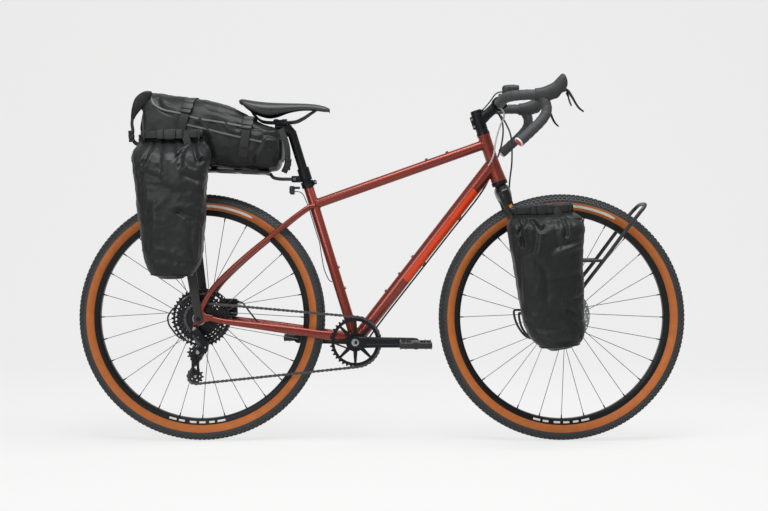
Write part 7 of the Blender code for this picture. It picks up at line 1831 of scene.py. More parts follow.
def chain_pieces(angle):
    """Wraps and straight runs in order: kind, place or start, radius or end, way, turn, length."""
    stops = (
        (BOTTOM_BRACKET, wheel_radius(RING_TEETH), -1),
        (lower_pulley_at(angle), wheel_radius(PULLEY_TEETH), -1),
        (UPPER_PULLEY, wheel_radius(PULLEY_TEETH), 1), (REAR_AXLE, wheel_radius(DRIVEN_COG), -1),
    )
    leaving = []
    arriving = []
    for index, (start, start_radius, start_way) in enumerate(stops):
        end, end_radius, end_way = stops[(index + 1) % len(stops)]
        reach = Vector((end.x - start.x, 0.0, end.z - start.z))
        growth = end_way * end_radius - start_way * start_radius
        heading = math.atan2(reach.z, reach.x) - math.asin(growth / reach.length)
        side = Vector((-math.sin(heading), 0.0, math.cos(heading)))
        leaving.append(start - side * start_way * start_radius)
        arriving.append(end - side * end_way * end_radius)
    pieces = []
    for index, (centre, radius, way) in enumerate(stops):
        start = turn_of(centre, arriving[index - 1])
        swing = (way * (turn_of(centre, leaving[index]) - start)) % (2 * math.pi)
        pieces.append(("wrap", centre, radius, way, start, swing * radius))
        run = arriving[index] - leaving[index]
        pieces.append(("straight", leaving[index], arriving[index], 0, 0.0, run.length))
    return pieces


def solved_cage_angle():
    low = math.radians(-120.0)
    high = math.radians(-60.0)
    goal = CHAIN_LINKS * CHAIN_PITCH
    excess = [sum(entry[-1] for entry in chain_pieces(angle)) - goal for angle in (low, high)]
    for _ in range(50):
        middle = (low + high) / 2
        here = sum(entry[-1] for entry in chain_pieces(middle)) - goal
        if here * excess[0] <= 0:
            high = middle
        else:
            low = middle
    return (low + high) / 2


def chain_point(distance):
    distance %= CHAIN_LINKS * CHAIN_PITCH
    for kind, first, second, way, start, length in CHAIN_PIECES:
        if distance <= length:
            if kind == "straight":
                return first.lerp(second, distance / length)
            angle = start + way * distance / second
            return first + Vector((math.cos(angle), 0.0, math.sin(angle))) * second
        distance -= length
    return CHAIN_PIECES[0][1] + Vector((math.cos(CHAIN_PIECES[0][4]), 0.0,
                                        math.sin(CHAIN_PIECES[0][4]))) * CHAIN_PIECES[0][2]


CAGE_ANGLE = solved_cage_angle()
LOWER_PULLEY = lower_pulley_at(CAGE_ANGLE)
CHAIN_PIECES = chain_pieces(CAGE_ANGLE)
ROLLERS = [chain_point(index * CHAIN_PITCH) for index in range(CHAIN_LINKS)]
print("cage angle", round(math.degrees(CAGE_ANGLE), 2))

# %% [markdown]
# ### Chain
# Inner plates with their rollers alternate with outer plates on riveted pins. The chain is one mesh,
# fixed in place at rest and carried by no body.

# %% Chain links
PLATE_THICKNESS = 0.00085
INNER_GAP = 0.00265
PLATE_STEPS = 7


def link_outline(start, end, round_radius, waist):
    """The figure-of-eight outline of a chain plate, as points of the side view."""
    along = (end - start).normalized()
    upward = Vector((-along.z, 0.0, along.x))
    outline = []
    for centre, way in ((end, 1), (start, -1)):
        for step in range(PLATE_STEPS):
            turn = math.radians(-105.0 + 210.0 * step / (PLATE_STEPS - 1))
            spoke = along * way * math.cos(turn) + upward * way * math.sin(turn)
            outline.append(centre + spoke * round_radius)
        middle = (start + end) / 2 + upward * way * waist
        outline.append(middle)
    return outline


def slab_between(bm, outline, y_from, y_to):
    near = [bm.verts.new((point.x, y_from, point.z)) for point in outline]
    far = [bm.verts.new((point.x, y_to, point.z)) for point in outline]
    bm.faces.new(near)
    bm.faces.new(list(reversed(far)))
    for index in range(len(outline)):
        after = (index + 1) % len(outline)
        bm.faces.new((near[index], near[after], far[after], far[index]))


def make_chain():
    bm = bmesh.new()
    for index, roller in enumerate(ROLLERS):
        following = ROLLERS[(index + 1) % CHAIN_LINKS]
        outer = index % 2
        inside = INNER_GAP - PLATE_THICKNESS if not outer else INNER_GAP
        for side in (-1, 1):
            base = CHAIN_LINE + side * (inside - 0.0005)
            slab_between(bm,
                         link_outline(roller, following, 0.0041 if outer else 0.0040,
                                      0.0027 if outer else 0.0025),
                         base, base + side * PLATE_THICKNESS)
        reach = INNER_GAP + 0.0007
        rod(bm, roller + Y_AXIS * (CHAIN_LINE - reach), roller + Y_AXIS * (CHAIN_LINE + reach), 0.0018, 12,
            None, 0.0002)
        rod(bm, roller + Y_AXIS * (CHAIN_LINE - 0.0013), roller + Y_AXIS * (CHAIN_LINE + 0.0013), 0.0038, 14,
            None, 0.0001)
    chain = piece("chain_links", bm, oiled_steel, None, ("chain",), sharp=30.0)
    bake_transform(chain)


make_chain()


# %% Toothed wheels
def valley_turn(centre, radius):
    """The angle of a tooth valley that meets a roller in the middle of the wrap."""
    wrapped = [roller for roller in ROLLERS if abs((roller - centre).length - radius) < 0.0001]
    return turn_of(centre, wrapped[len(wrapped) // 2])


def toothed_outline(teeth, start, scoop=5):
    """Teeth with rounded valleys that seat the rollers, and blunt tips."""
    radius = wheel_radius(teeth)
    seat = 0.0038
    outline = []
    share = 2 * math.pi / teeth
    for tooth in range(teeth):
        valley = start + share * tooth
        for step in range(scoop):
            lean = math.radians(-78.0 + 156.0 * step / (scoop - 1))
            local = (radius - seat * math.cos(lean), seat * math.sin(lean))
            reach = math.hypot(*local)
            turn = valley + math.atan2(local[1], local[0])
            outline.append(on_circle(reach, turn))
        for shift in (-0.0011, 0.0011):
            turn = valley + share / 2 + shift / radius
            outline.append(on_circle(radius + 0.0021, turn))
    return outline


def ring_window(inner, outer, start, end, steps=6):
    near = [start[0] + (end[0] - start[0]) * step / steps for step in range(steps + 1)]
    far = [start[1] + (end[1] - start[1]) * step / steps for step in range(steps + 1)]
    window = [on_circle(inner, turn) for turn in near]
    return window + [on_circle(outer, turn) for turn in reversed(far)]


RING_ARMS = 8
WINDOW_INNER = 0.0280
WINDOW_OUTER = 0.0605
COG_PITCH = 0.00375
COG_HALF = 0.0009


def make_chainring():
    centre = (BOTTOM_BRACKET.x, BOTTOM_BRACKET.z)
    start = valley_turn(BOTTOM_BRACKET, wheel_radius(RING_TEETH))
    share = 2 * math.pi / RING_ARMS
    outlines = [toothed_outline(RING_TEETH, start), circle(0.0123, 40)]
    root, tip = 0.0062 / WINDOW_INNER, 0.0036 / WINDOW_OUTER
    for arm in range(RING_ARMS):
        starts = (arm * share + root, arm * share + tip)
        ends = ((arm + 1) * share - root, (arm + 1) * share - tip)
        outlines.append(ring_window(WINDOW_INNER, WINDOW_OUTER, starts, ends))
    bm = bmesh.new()
    plate(bm, outlines, CHAIN_LINE - 0.0012, CHAIN_LINE + 0.0012, centre, 0.0003)
    for arm in range(RING_ARMS):
        turn = (arm + 0.5) * share
        hole_place = BOTTOM_BRACKET + Vector((0.0632 * math.cos(turn), CHAIN_LINE - 0.0012,
                                              0.0632 * math.sin(turn)))
        rod(bm, hole_place + Y_AXIS * 0.0002, hole_place - Y_AXIS * 0.0004, 0.0012, 12, None, 0.0001)
    piece("chainring_plate", bm, anodised_black, "crankset", ("chainring",), sharp=28.0)


def make_cassette():
    bm = bmesh.new()
    outer_y = CHAIN_LINE - COG_PITCH * COGS.index(DRIVEN_COG)
    phase = valley_turn(REAR_AXLE, wheel_radius(DRIVEN_COG))
    for index, teeth in enumerate(COGS):
        y = outer_y + COG_PITCH * index
        share = 2 * math.pi / teeth
        radius = wheel_radius(teeth)
        outlines = [toothed_outline(teeth, phase + (0.0 if teeth == DRIVEN_COG else share / 2), 4)]
        bore = 0.0195 if teeth > 15 else 0.0166
        outlines.append(circle(bore, 40))
        if teeth >= 25:
            arms = 6 if teeth < 36 else 7
            spread = 2 * math.pi / arms
            inner = 0.0260
            outer = radius - 0.0095
            for arm in range(arms):
                lean = 0.22 + 0.05 * index
                starts = (arm * spread + 0.0032 / inner, arm * spread + lean + 0.0032 / outer)
                ends = ((arm + 1) * spread - 0.0032 / inner, (arm + 1) * spread + lean - 0.0032 / outer)
                outlines.append(ring_window(inner, outer, starts, ends))
        plate(bm, outlines, y - COG_HALF, y + COG_HALF, (REAR_AXLE.x, REAR_AXLE.z), 0.0002)
    side_turned(bm, REAR_AXLE,
                [(0.0166, outer_y - 0.0014), (0.0200, outer_y - 0.0014), (0.0200, outer_y + 0.0400),
                                (0.0166, outer_y + 0.0400)], 48)
    piece("cassette_cogs", bm, cog_steel, "cassette", ("cassette",), sharp=28.0)
    bm = bmesh.new()
    side_turned(bm, REAR_AXLE,
                [(0.0165, outer_y - 0.0032), (0.0188, outer_y - 0.0032), (0.0194, outer_y - 0.0026),
                                (0.0194, outer_y - 0.0012), (0.0165, outer_y - 0.0012)], 48)
    for tooth in range(12):
        turn = 2 * math.pi * tooth / 12
        notch = REAR_AXLE + Vector((0.0176 * math.cos(turn), outer_y - 0.0033, 0.0176 * math.sin(turn)))
        block(bm, notch, (0.0022, 0.0008, 0.0014), Quaternion(Y_AXIS, -turn), 0.0002, 1)
    piece("cassette_lock_ring", bm, bolt_steel, "cassette")


make_chainring()
make_cassette()

# %% [markdown]
# ### Derailleur
# A knuckle on the hanger, a link body that carries the lower knuckle outboard of the chain, and a long cage
# of two stamped plates with an eleven-tooth pulley at each end.

# %% Derailleur, cage and pulleys
HANGER = REAR_AXLE + Vector((-0.010, 0.0, -0.029))
CAGE_HALF = 0.0064
CAGE_PLATE = 0.0016


def make_derailleur():
    bm = bmesh.new()
    side_turned(bm, HANGER,
                [(0.0001, -0.0776), (0.0104, -0.0776), (0.0110, -0.0782), (0.0110, -0.0900),
                 (0.0102, -0.0916),
                             (0.0082, -0.0921), (0.0001, -0.0921)])
    collar_y = CHAIN_LINE - CAGE_HALF - CAGE_PLATE - 0.0025
    side_turned(bm, CAGE_PIVOT,
                [(0.0001, collar_y), (0.0130, collar_y), (0.0135, collar_y - 0.0006),
                 (0.0135, collar_y - 0.0200),
                                 (0.0126, collar_y - 0.0228), (0.0100, collar_y - 0.0237),
                                 (0.0001, collar_y - 0.0237)])
    points = [HANGER + Vector((0.000, -0.0868, -0.002)), HANGER + Vector((0.0140, -0.0880, -0.0200)),
              HANGER + Vector((0.0270, -0.0850, -0.0410)), HANGER + Vector((0.0245, -0.0770, -0.0600)),
              CAGE_PIVOT + Vector((0.004, -0.0700, 0.001))]
    path = smooth_path(points, 8)
    count = len(path)
    tube(bm, path, [0.0078 + 0.0010 * math.sin(math.pi * step / (count - 1)) for step in range(count)],
         [0.0100 + 0.0012 * math.sin(math.pi * step / (count - 1)) for step in range(count)], sides=32,
         power=3.0)
    cut_away = bmesh.new()
    middle = HANGER + Vector((0.0265, -0.0935, -0.0400))
    block(cut_away, middle, (0.0090, 0.0050, 0.0290), Quaternion(Y_AXIS, 0.18), 0.0030, 3)
    bm = joined(bm, cut_away)
    rod(bm, HANGER + Vector((-0.004, -0.0840, -0.0040)), HANGER + Vector((-0.0215, -0.0859, -0.0286)),
        0.0046, 28)
    piece("derailleur_links", bm, anodised_black, "frame", ("rear_derailleur",), sharp=36.0)
    bm = bmesh.new()
    socket_bolt(bm, HANGER + Y_AXIS * -0.0918, Y_AXIS * -1.0, 0.0060, 0.0018)
    for place, radius in ((HANGER + Vector((0.0120, -0.0958, -0.0215)), 0.0026),
                          (HANGER + Vector((0.0305, -0.0925, -0.0520)), 0.0026)):
        rod(bm, place + Y_AXIS * 0.0060, place - Y_AXIS * 0.0006, radius, 20)
    rod(bm, HANGER + Vector((-0.0200, -0.0857, -0.0266)), HANGER + Vector((-0.0228, -0.0860, -0.0304)),
        0.0056, 12)
    socket_bolt(bm, Vector((CAGE_PIVOT.x, collar_y - 0.0235, CAGE_PIVOT.z)), Y_AXIS * -1.0, 0.0052, 0.0016)
    piece("derailleur_bolts", bm, bolt_steel, "frame")


def make_cage():
    inner = CHAIN_LINE + CAGE_HALF
    outer = CHAIN_LINE - CAGE_HALF
    ends = ((UPPER_PULLEY.x, UPPER_PULLEY.z), (LOWER_PULLEY.x, LOWER_PULLEY.z))
    heading = Vector((ends[1][0] - ends[0][0], 0.0, ends[1][1] - ends[0][1])).normalized()
    window = capsule(tuple(ends[0][axis] + (0.016 * (heading.x, heading.z)[axis]) for axis in (0, 1)),
                     tuple(ends[1][axis] - (0.016 * (heading.x, heading.z)[axis]) for axis in (0, 1)),
                     0.0048, 0.0044)
    bm = bmesh.new()
    plate(bm, [capsule(*ends, 0.0105, 0.0100, 14), window], inner, inner + CAGE_PLATE, (0.0, 0.0), 0.0004)
    plate(bm, [capsule(*ends, 0.0105, 0.0100, 14), window], outer - CAGE_PLATE, outer, (0.0, 0.0), 0.0004)
    middle = UPPER_PULLEY.lerp(LOWER_PULLEY, 0.42)
    plate(bm, [capsule((CAGE_PIVOT.x, CAGE_PIVOT.z), (middle.x, middle.z), 0.0118, 0.0060, 12)],
          outer - CAGE_PLATE, outer, (0.0, 0.0), 0.0004)
    side_turned(bm, CAGE_PIVOT, [(0.0001, outer - CAGE_PLATE - 0.0022), (0.0078, outer - CAGE_PLATE - 0.0022),
                                 (0.0080, outer - 0.0004), (0.0001, outer - 0.0004)], 32)
    piece("cage_plates", bm, cog_steel, "derailleur_cage", ("derailleur_cage",), sharp=28.0)
    bm = bmesh.new()
    for pulley in (UPPER_PULLEY, LOWER_PULLEY):
        low = Vector((pulley.x, outer - CAGE_PLATE - 0.0012, pulley.z))
        rod(bm, low, Vector((pulley.x, inner + CAGE_PLATE + 0.0012, pulley.z)), 0.0024, 16)
        rod(bm, low + Y_AXIS * 0.0004, low + Y_AXIS * 0.0013, 0.0042, 24)
        rod(bm, Vector((pulley.x, inner + CAGE_PLATE, pulley.z)),
            Vector((pulley.x, inner + CAGE_PLATE + 0.0010, pulley.z)), 0.0040, 24)
    piece("pulley_bolts", bm, bolt_steel, "derailleur_cage")
    for name, pulley in (("upper_pulley", UPPER_PULLEY), ("lower_pulley", LOWER_PULLEY)):
        start = valley_turn(pulley, wheel_radius(PULLEY_TEETH))
        outlines = [toothed_outline(PULLEY_TEETH, start, 6), circle(0.0029, 24)]
        for hole in range(5):
            turn = 2 * math.pi * hole / 5
            outlines.append(circle(0.0024, 16, on_circle(0.0116, turn)))
        bm = bmesh.new()
        plate(bm, outlines, CHAIN_LINE - 0.0012, CHAIN_LINE + 0.0012, (pulley.x, pulley.z), 0.0003)
        side_turned(bm, pulley,
                    sleeve(0.0029, 0.0070, CHAIN_LINE - 0.0031, CHAIN_LINE + 0.0031, 0.0004, 0.0005), 32)
        piece(name + "_wheel", bm, moulded_nylon, name, (name,), sharp=30.0)


make_derailleur()
make_cage()

# %% [markdown]
# ### Cranks and pedals
# Forged arms with a shallow channel down their outer faces, and flat platform pedals with traction pins.

# %% Cranks
CRANK_LENGTH = 0.1725
CRANK_ROOT_Y = 0.0590
PEDAL_SIZE = (0.0920, 0.0880, 0.0180)
PEDAL_INNER_Y = 0.0840
PIN_HEIGHT = 0.0030
CRANK_PATH = (
    # along the arm, outward from its root, half thickness, half height
    (-0.0150, 0.0000, 0.0050, 0.0090), (-0.0100, 0.0000, 0.0066, 0.0140), (-0.004, 0.0000, 0.0070, 0.0170),
    (0.020, 0.0006, 0.0070, 0.0168), (0.060, 0.0030, 0.0068, 0.0155), (0.110, 0.0075, 0.0066, 0.0148),
    (0.150, 0.0110, 0.0066, 0.0146), (0.168, 0.0120, 0.0066, 0.0140), (0.1790, 0.0120, 0.0062, 0.0112),
    (0.1850, 0.0120, 0.0040, 0.0050),
)


def make_crank(name, side):
    way = -side
    rows = smooth_rows(CRANK_PATH, 6)
    path = [BOTTOM_BRACKET + Vector((way * row[0], side * (CRANK_ROOT_Y + row[1]), 0.0)) for row in rows]
    bm = bmesh.new()
    tube(bm, path, column(rows, 2), column(rows, 3), sides=40, power=3.0)
    outer = CRANK_ROOT_Y + 0.0070
    boss_inner = 0.0490 if side < 0 else 0.0439
    end = BOTTOM_BRACKET + X_AXIS * way * CRANK_LENGTH
    end_y = CRANK_ROOT_Y + 0.0120
    centre = Vector((BOTTOM_BRACKET.x, 0.0, BOTTOM_BRACKET.z))
    ends = sorted((side * boss_inner, side * outer))
    side_turned(bm, centre, sleeve(0.0001, 0.0175, *ends, 0.0003, 0.0004), 48)
    ends = sorted((side * (end_y - 0.0068), side * (end_y + 0.0068)))
    side_turned(bm, end, sleeve(0.0001, 0.0135, *ends, 0.0005, 0.0006))
    channel = bmesh.new()
    start_at = BOTTOM_BRACKET + Vector((way * 0.0300, side * (CRANK_ROOT_Y + 0.0080), 0.0))
    end_at = BOTTOM_BRACKET + Vector((way * 0.1500, side * (CRANK_ROOT_Y + 0.0186), 0.0))
    tube(channel, [start_at, start_at.lerp(end_at, 0.4) - Y_AXIS * side * 0.0008, end_at],
         [0.0018, 0.0018, 0.0016],
         [0.0070, 0.0056, 0.0052], sides=24, power=3.0)
    bm = joined(bm, channel)
    if side > 0:
        socket = bmesh.new()
        side_turned(socket, centre, [(0.0001, 0.0420), (0.0123, 0.0420), (0.0123, 0.0623), (0.0001, 0.0623)],
                    40)
        bm = joined(bm, socket)
    piece("crank_arm_" + name, bm, anodised_black, "crankset", ("crank_" + name,), sharp=34.0)
    bm = bmesh.new()
    face = Vector((BOTTOM_BRACKET.x, side * outer, BOTTOM_BRACKET.z))
    socket_bolt(bm, face - Y_AXIS * side * 0.0006, Y_AXIS * side, 0.0110, 0.0016)
    pedal_y = PEDAL_INNER_Y + 0.0810
    rod(bm, Vector((end.x, side * (end_y + 0.004), end.z)), Vector((end.x, side * pedal_y, end.z)), 0.0044,
        24)
    rod(bm, Vector((end.x, side * (end_y + 0.0066), end.z)),
        Vector((end.x, side * (PEDAL_INNER_Y - 0.0034), end.z)), 0.0078, 6)
    if side < 0:
        rod(bm, Vector((centre.x, -boss_inner, centre.z)), Vector((centre.x, 0.0620, centre.z)), 0.0119, 40)
    piece("crank_fittings_" + name, bm, bolt_steel, "crankset")


def make_pedal(name, side):
    x = BOTTOM_BRACKET.x - side * CRANK_LENGTH
    middle = Vector((x, side * (PEDAL_INNER_Y + PEDAL_SIZE[1] / 2), BOTTOM_BRACKET.z))
    bm = bmesh.new()
    block(bm, middle, PEDAL_SIZE, None, 0.0042, 4)
    windows = bmesh.new()
    for way in (-1, 1):
        block(windows, middle + X_AXIS * way * 0.0265, (0.0270, 0.0640, 0.0400), None, 0.0030, 3)
    bm = joined(bm, windows)
    scoops = bmesh.new()
    for level in (-1, 1):
        for way in (-1, 1):
            block(scoops, middle + Vector((way * 0.0265, 0.0, level * 0.0118)), (0.0300, 0.0700, 0.0080),
                  None, 0.0028, 2)
    bm = joined(bm, scoops)
    ends = sorted((side * (PEDAL_INNER_Y - 0.0030), side * (PEDAL_INNER_Y + PEDAL_SIZE[1])))
    barrel = bmesh.new()
    side_turned(barrel, middle, sleeve(0.0001, 0.0105, *ends, 0.0005, 0.0006))
    bm = joined(bm, barrel, "UNION")
    bore = bmesh.new()
    low, high = sorted((side * (PEDAL_INNER_Y - 0.0100), side * (PEDAL_INNER_Y + 0.0813)))
    side_turned(bore, middle, [(0.0001, low), (0.0048, low), (0.0048, high), (0.0001, high)], 24)
    bm = joined(bm, bore)
    piece("pedal_body_" + name, bm, moulded_nylon, "pedal_" + name, ("pedal_" + name,), sharp=32.0)
    bm = bmesh.new()
    for level in (-1, 1):
        for way in (-1, 1):
            spots = [(way * 0.0430, place) for place in (-0.036, -0.018, 0.0, 0.018, 0.036)]
            for ahead, aside in spots + [(shift, way * 0.0400) for shift in (-0.028, 0.028)]:
                edge = middle + Vector((ahead, aside, level * 0.0086))
                rod(bm, edge, edge + Z_AXIS * level * PIN_HEIGHT, 0.0012, 10, None, 0.0002)
    piece("pedal_pins_" + name, bm, bolt_steel, "pedal_" + name)


for name, side in (("right", -1), ("left", 1)):
    make_crank(name, side)
    make_pedal(name, side)

# %% [markdown]
# ## Racks
# The front rack is one bent tube hoop with a strut to each fork blade. The rear rack has a slotted deck on
# two flat legs and a rod forward to a band on the seatpost. Both are steel with a satin powder coat.

# %% Front rack
HOOP_SIDE = (
    (0.5577, -0.0660, 0.4095), (0.5778, -0.0660, 0.4492), (0.6386, -0.0660, 0.5282),
    (0.6974, -0.0660, 0.6072),
    (0.7400, -0.0660, 0.6620), (0.7540, -0.0620, 0.6785), (0.7610, -0.0520, 0.6870),
    (0.7640, -0.0350, 0.6910),
)
HOOP_TOP = (0.7648, 0.0, 0.6920)
STRUT_POINTS = ((0.6386, -0.0660, 0.5282), (0.5000, -0.0640, 0.5265), (0.4380, -0.0550, 0.5260))
FRONT_EYE = FRONT_AXLE + Vector((0.0120, 0.0, 0.0170))


def make_front_rack():
    foot = Vector((FRONT_EYE.x, -0.0660, FRONT_EYE.z))
    half = [foot] + [Vector(point) for point in HOOP_SIDE]
    whole = half + [Vector(HOOP_TOP)] + [mirrored(point) for point in reversed(half)]
    bm = bmesh.new()
    tube(bm, smooth_path(whole, 7), 0.0055, sides=28)
    for side in (-1, 1):
        tube(bm, smooth_path([(x, -side * y, z) for x, y, z in STRUT_POINTS], 8), 0.0045, sides=24,
             rounded=True)
        low, high = sorted((side * 0.0591, side * 0.0716))
        side_turned(bm, FRONT_EYE, sleeve(0.0028, 0.0075, low, high, 0.0004), 32)
    piece("front_rack_hoop", bm, rack_black, "steering", ("front_rack",))
    bm = bmesh.new()
    for side in (-1, 1):
        socket_bolt(bm, Vector((FRONT_EYE.x, side * 0.0712, FRONT_EYE.z)), Y_AXIS * side, 0.0042, 0.0036)
    piece("front_rack_bolts", bm, bolt_steel, "steering")


# %% Rear rack
LEG_POINTS = (
    # back, up, side position, half width of the strap
    (-0.5265, 0.3610, 0.0801, 0.0110), (-0.5290, 0.3760, 0.0801, 0.0110), (-0.5530, 0.5350, 0.0801, 0.0160),
    (-0.5800, 0.7150, 0.0801, 0.0220), (-0.5860, 0.7500, 0.0770, 0.0225), (-0.5895, 0.7780, 0.0600, 0.0225),
    (-0.5905, 0.7900, 0.0480, 0.0225),
)
DECK_BACK = (-0.620, 0.795)
DECK_FRONT = (-0.326, 0.783)
DECK_HALF = 0.0040
DECK_REACH = 0.056
DECK_CLEARANCE = 0.0043   # the duffel keeps above the middle of the deck
DECK_SLOTS = (-0.525, -0.455, -0.385)
RACK_CLAMP_AT = seat_point(0.499)
STAY_HEIGHT = 0.7655


def deck_height(x):
    share = (x - DECK_BACK[0]) / (DECK_FRONT[0] - DECK_BACK[0])
    return DECK_BACK[1] + (DECK_FRONT[1] - DECK_BACK[1]) * share


def make_rear_rack():
    slope = Quaternion(Y_AXIS, math.atan2(DECK_BACK[1] - DECK_FRONT[1], DECK_FRONT[0] - DECK_BACK[0]))
    middle_x = (DECK_FRONT[0] + DECK_BACK[0]) / 2
    bm = bmesh.new()
    block(bm, Vector((middle_x, 0.0, deck_height(middle_x))),
          (DECK_FRONT[0] - DECK_BACK[0], 0.104, 2 * DECK_HALF), slope, 0.0030, 4)
    slots = bmesh.new()
    for x in DECK_SLOTS:
        block(slots, Vector((x, 0.0, deck_height(x))), (0.052, 0.076, 0.020), slope, 0.0060, 3)
    bm = joined(bm, slots)
    for side in (-1, 1):
        rows = smooth_rows(LEG_POINTS, 6)
        path = [Vector((row[0], side * row[2], row[1])) for row in rows]
        tube(bm, path, 0.0025, column(rows, 3), sides=28, power=6.0)
        low, high = sorted((side * 0.0776, side * 0.0826))
        side_turned(bm, REAR_AXLE, sleeve(0.0064, 0.0125, low, high, 0.0003))
    stay = [(-0.3400, 0.0, deck_height(-0.340) - 0.0010), (-0.3270, 0.0, 0.7790), (-0.3180, 0.0, 0.7700),
            (-0.3000, 0.0, 0.7660), (-0.2760, 0.0, STAY_HEIGHT), (RACK_CLAMP_AT.x - 0.0230, 0.0, STAY_HEIGHT)]
    tube(bm, smooth_path(stay, 6), 0.0060, 0.0050, sides=28)
    piece("rear_rack_steel", bm, rack_black, "frame", ("rear_rack",))
    bm = bmesh.new()
    turned(bm, sleeve(0.0139, 0.0177, 0.4910, 0.5290, 0.0006), seat_point(0.0), SEAT_UP, 48)
    lug = Vector((RACK_CLAMP_AT.x - 0.0292, 0.0, STAY_HEIGHT))
    for side in (-1, 1):
        block(bm, lug + Y_AXIS * side * 0.0058, (0.0240, 0.0084, 0.0190), None, 0.0024, 3)
    block(bm, lug + X_AXIS * 0.0120, (0.0100, 0.0196, 0.0186), None, 0.0018)
    piece("rack_seatpost_band", bm, anodised_black, "frame", ("rack_seatpost_clamp",), sharp=30.0)
    bm = bmesh.new()
    rod(bm, lug + Vector((-0.003, -0.0110, 0.0)), lug + Vector((-0.003, 0.0110, 0.0)), 0.0024, 16)
    socket_bolt(bm, lug + Vector((-0.003, -0.0098, 0.0)), Y_AXIS * -1.0, 0.0036, 0.0030)
    piece("rack_band_bolt", bm, bolt_steel, "frame")


make_front_rack()
make_rear_rack()

# %% [markdown]
# ## Bags
# Each bag is a lofted shell of coated cloth. Its stations give the outline, and over them lie three kinds
# of relief: slow sags, creases that follow lines seen on the real bags, and hollows where a strap cinches.
# A crease is a valley with a soft ridge beside it. Its line is given in picture columns and rows, which
# seen_at() turns into places on the face of the bag.

# %% Folds in cloth
REAR_FACE_Y = -0.230
FRONT_FACE_Y = -0.220
DUFFEL_FACE_Y = -0.097


def fold(points, depth_mm, width_mm, face_y):
    """A crease along picture points, with its depth and width. Negative depth is a ridge."""
    line = [seen_at(column, row, face_y) for column, row in points]
    return [(point.x, point.z) for point in line], depth_mm * MM, width_mm * MM


def line_distance(x, z, line):
    """Distance from a side-view point to a line, signed by its side."""
    best = (1.0, 1.0)
    for (ax, az), (bx, bz) in zip(line, line[1:]):
        dx = bx - ax
        dz = bz - az
        share = min(max(((x - ax) * dx + (z - az) * dz) / (dx * dx + dz * dz), 0.0), 1.0)
        off_x = x - ax - dx * share
        off_z = z - az - dz * share
        distance = math.hypot(off_x, off_z)
        if distance < best[0]:
            best = (distance, math.copysign(1.0, dx * off_z - dz * off_x))
    return best


def fold_relief(x, z, folds):
    relief = 0.0
    for line, depth, width in folds:
        distance, side = line_distance(x, z, line)
        if distance < width * 5:
            valley = math.exp(-(distance / width) ** 2)
            ridge = math.exp(-((distance * side - 1.9 * width) / (1.1 * width)) ** 2)
            relief += depth * (0.55 * ridge - valley)
    return relief


def cloth_relief(point, size_mm, seed):
    """Slow sags with sharper wrinkles over them."""
    place = point / (size_mm * MM)
    slow = noise.noise(place + Vector((seed, 0.0, 0.0)))
    sharp = 1.0 - abs(noise.noise(place * 2.3 + Vector((0.0, seed, 0.0)))) * 2.4
    fine = noise.noise(place * 5.0 + Vector((0.0, 0.0, seed)))
    return slow * 0.0030 + max(sharp, 0.0) ** 3 * 0.0016 + fine * 0.0007


def wrinkled(rings, centres, folds, seed, face_weight, cinches=()):
    """Moves each point of the rings along its outward direction by the reliefs of the cloth."""
    made = []
    for ring, centre in zip(rings, centres):
        row = []
        count = len(ring)
        for index, point in enumerate(ring):
            tangent = ring[(index + 1) % count] - ring[index - 1]
            outward = point - centre
            outward = (outward - tangent * (outward.dot(tangent) / tangent.dot(tangent))).normalized()
            shift = cloth_relief(point, 62.0, seed) + fold_relief(point.x, point.z,
                                                                  folds) * face_weight(outward)
            for line, depth, width in cinches:
                distance = line_distance(point.x, point.z, line)[0]
                shift -= depth * math.exp(-(distance / width) ** 2) * max(face_weight(outward), 0.35)
            row.append(point + outward * shift)
        made.append(row)
    return made


def outer_face(outward):
    share = min(max((-outward.y - 0.15) / 0.6, 0.0), 1.0)
    return share * share * (3 - 2 * share)


# %% [markdown]
# ### Roll-top panniers
# The mouth of a pannier is rolled over two and a half times and strapped, which draws the cloth below it
# into pleats. The roll is a real spiral of cloth. A webbing strap with a side-release buckle lies along its
# outer face.

# %% Pannier parts
ROLL_TURNS = 2.6
ROLL_POWER = 2.5
SHELL_STEPS = 13
PLEAT_STRENGTH = 2.2        # pleats below a roll are drawn in deeper than creases further down
CREASE_STRENGTH = 1.7


def rolled_cloth(bm, start, end, half_wide, half_tall, seed, steps=44):
    """A sheet wound up about the line from start to end: a spiral band whose edge shows at both ends."""
    rings = []
    along = (end - start).normalized()
    across = along.cross(Z_AXIS).normalized()
    upward = across.cross(along).normalized()
    count = 96
    for step in range(steps + 1):
        share = step / steps
        centre = start.lerp(end, share) + Z_AXIS * 0.0024 * noise.noise(Vector((share * 6, seed, 0.0)))
        pinch = 0.10 * max(0.0, abs(share - 0.5) * 2 - 0.86) / 0.14
        swell = 1.0 + 0.11 * noise.noise(Vector((share * 8, 0.0, seed))) - pinch
        outer = []
        inner = []
        for place in range(count + 1):
            turn = -1.9 + 2 * math.pi * ROLL_TURNS * place / count
            size = 1.0 - 0.20 * (1.0 - place / count) * ROLL_TURNS
            for side, thick in ((outer, 0.0), (inner, 0.0016)):
                wide = (half_wide * size - thick) * swell
                tall = (half_tall * size - thick) * swell
                c = squared(math.cos(turn), ROLL_POWER)
                s = squared(math.sin(turn), ROLL_POWER)
                side.append(centre + across * c * wide + upward * s * tall)
        rings.append(outer + list(reversed(inner)))
    loft(bm, rings)


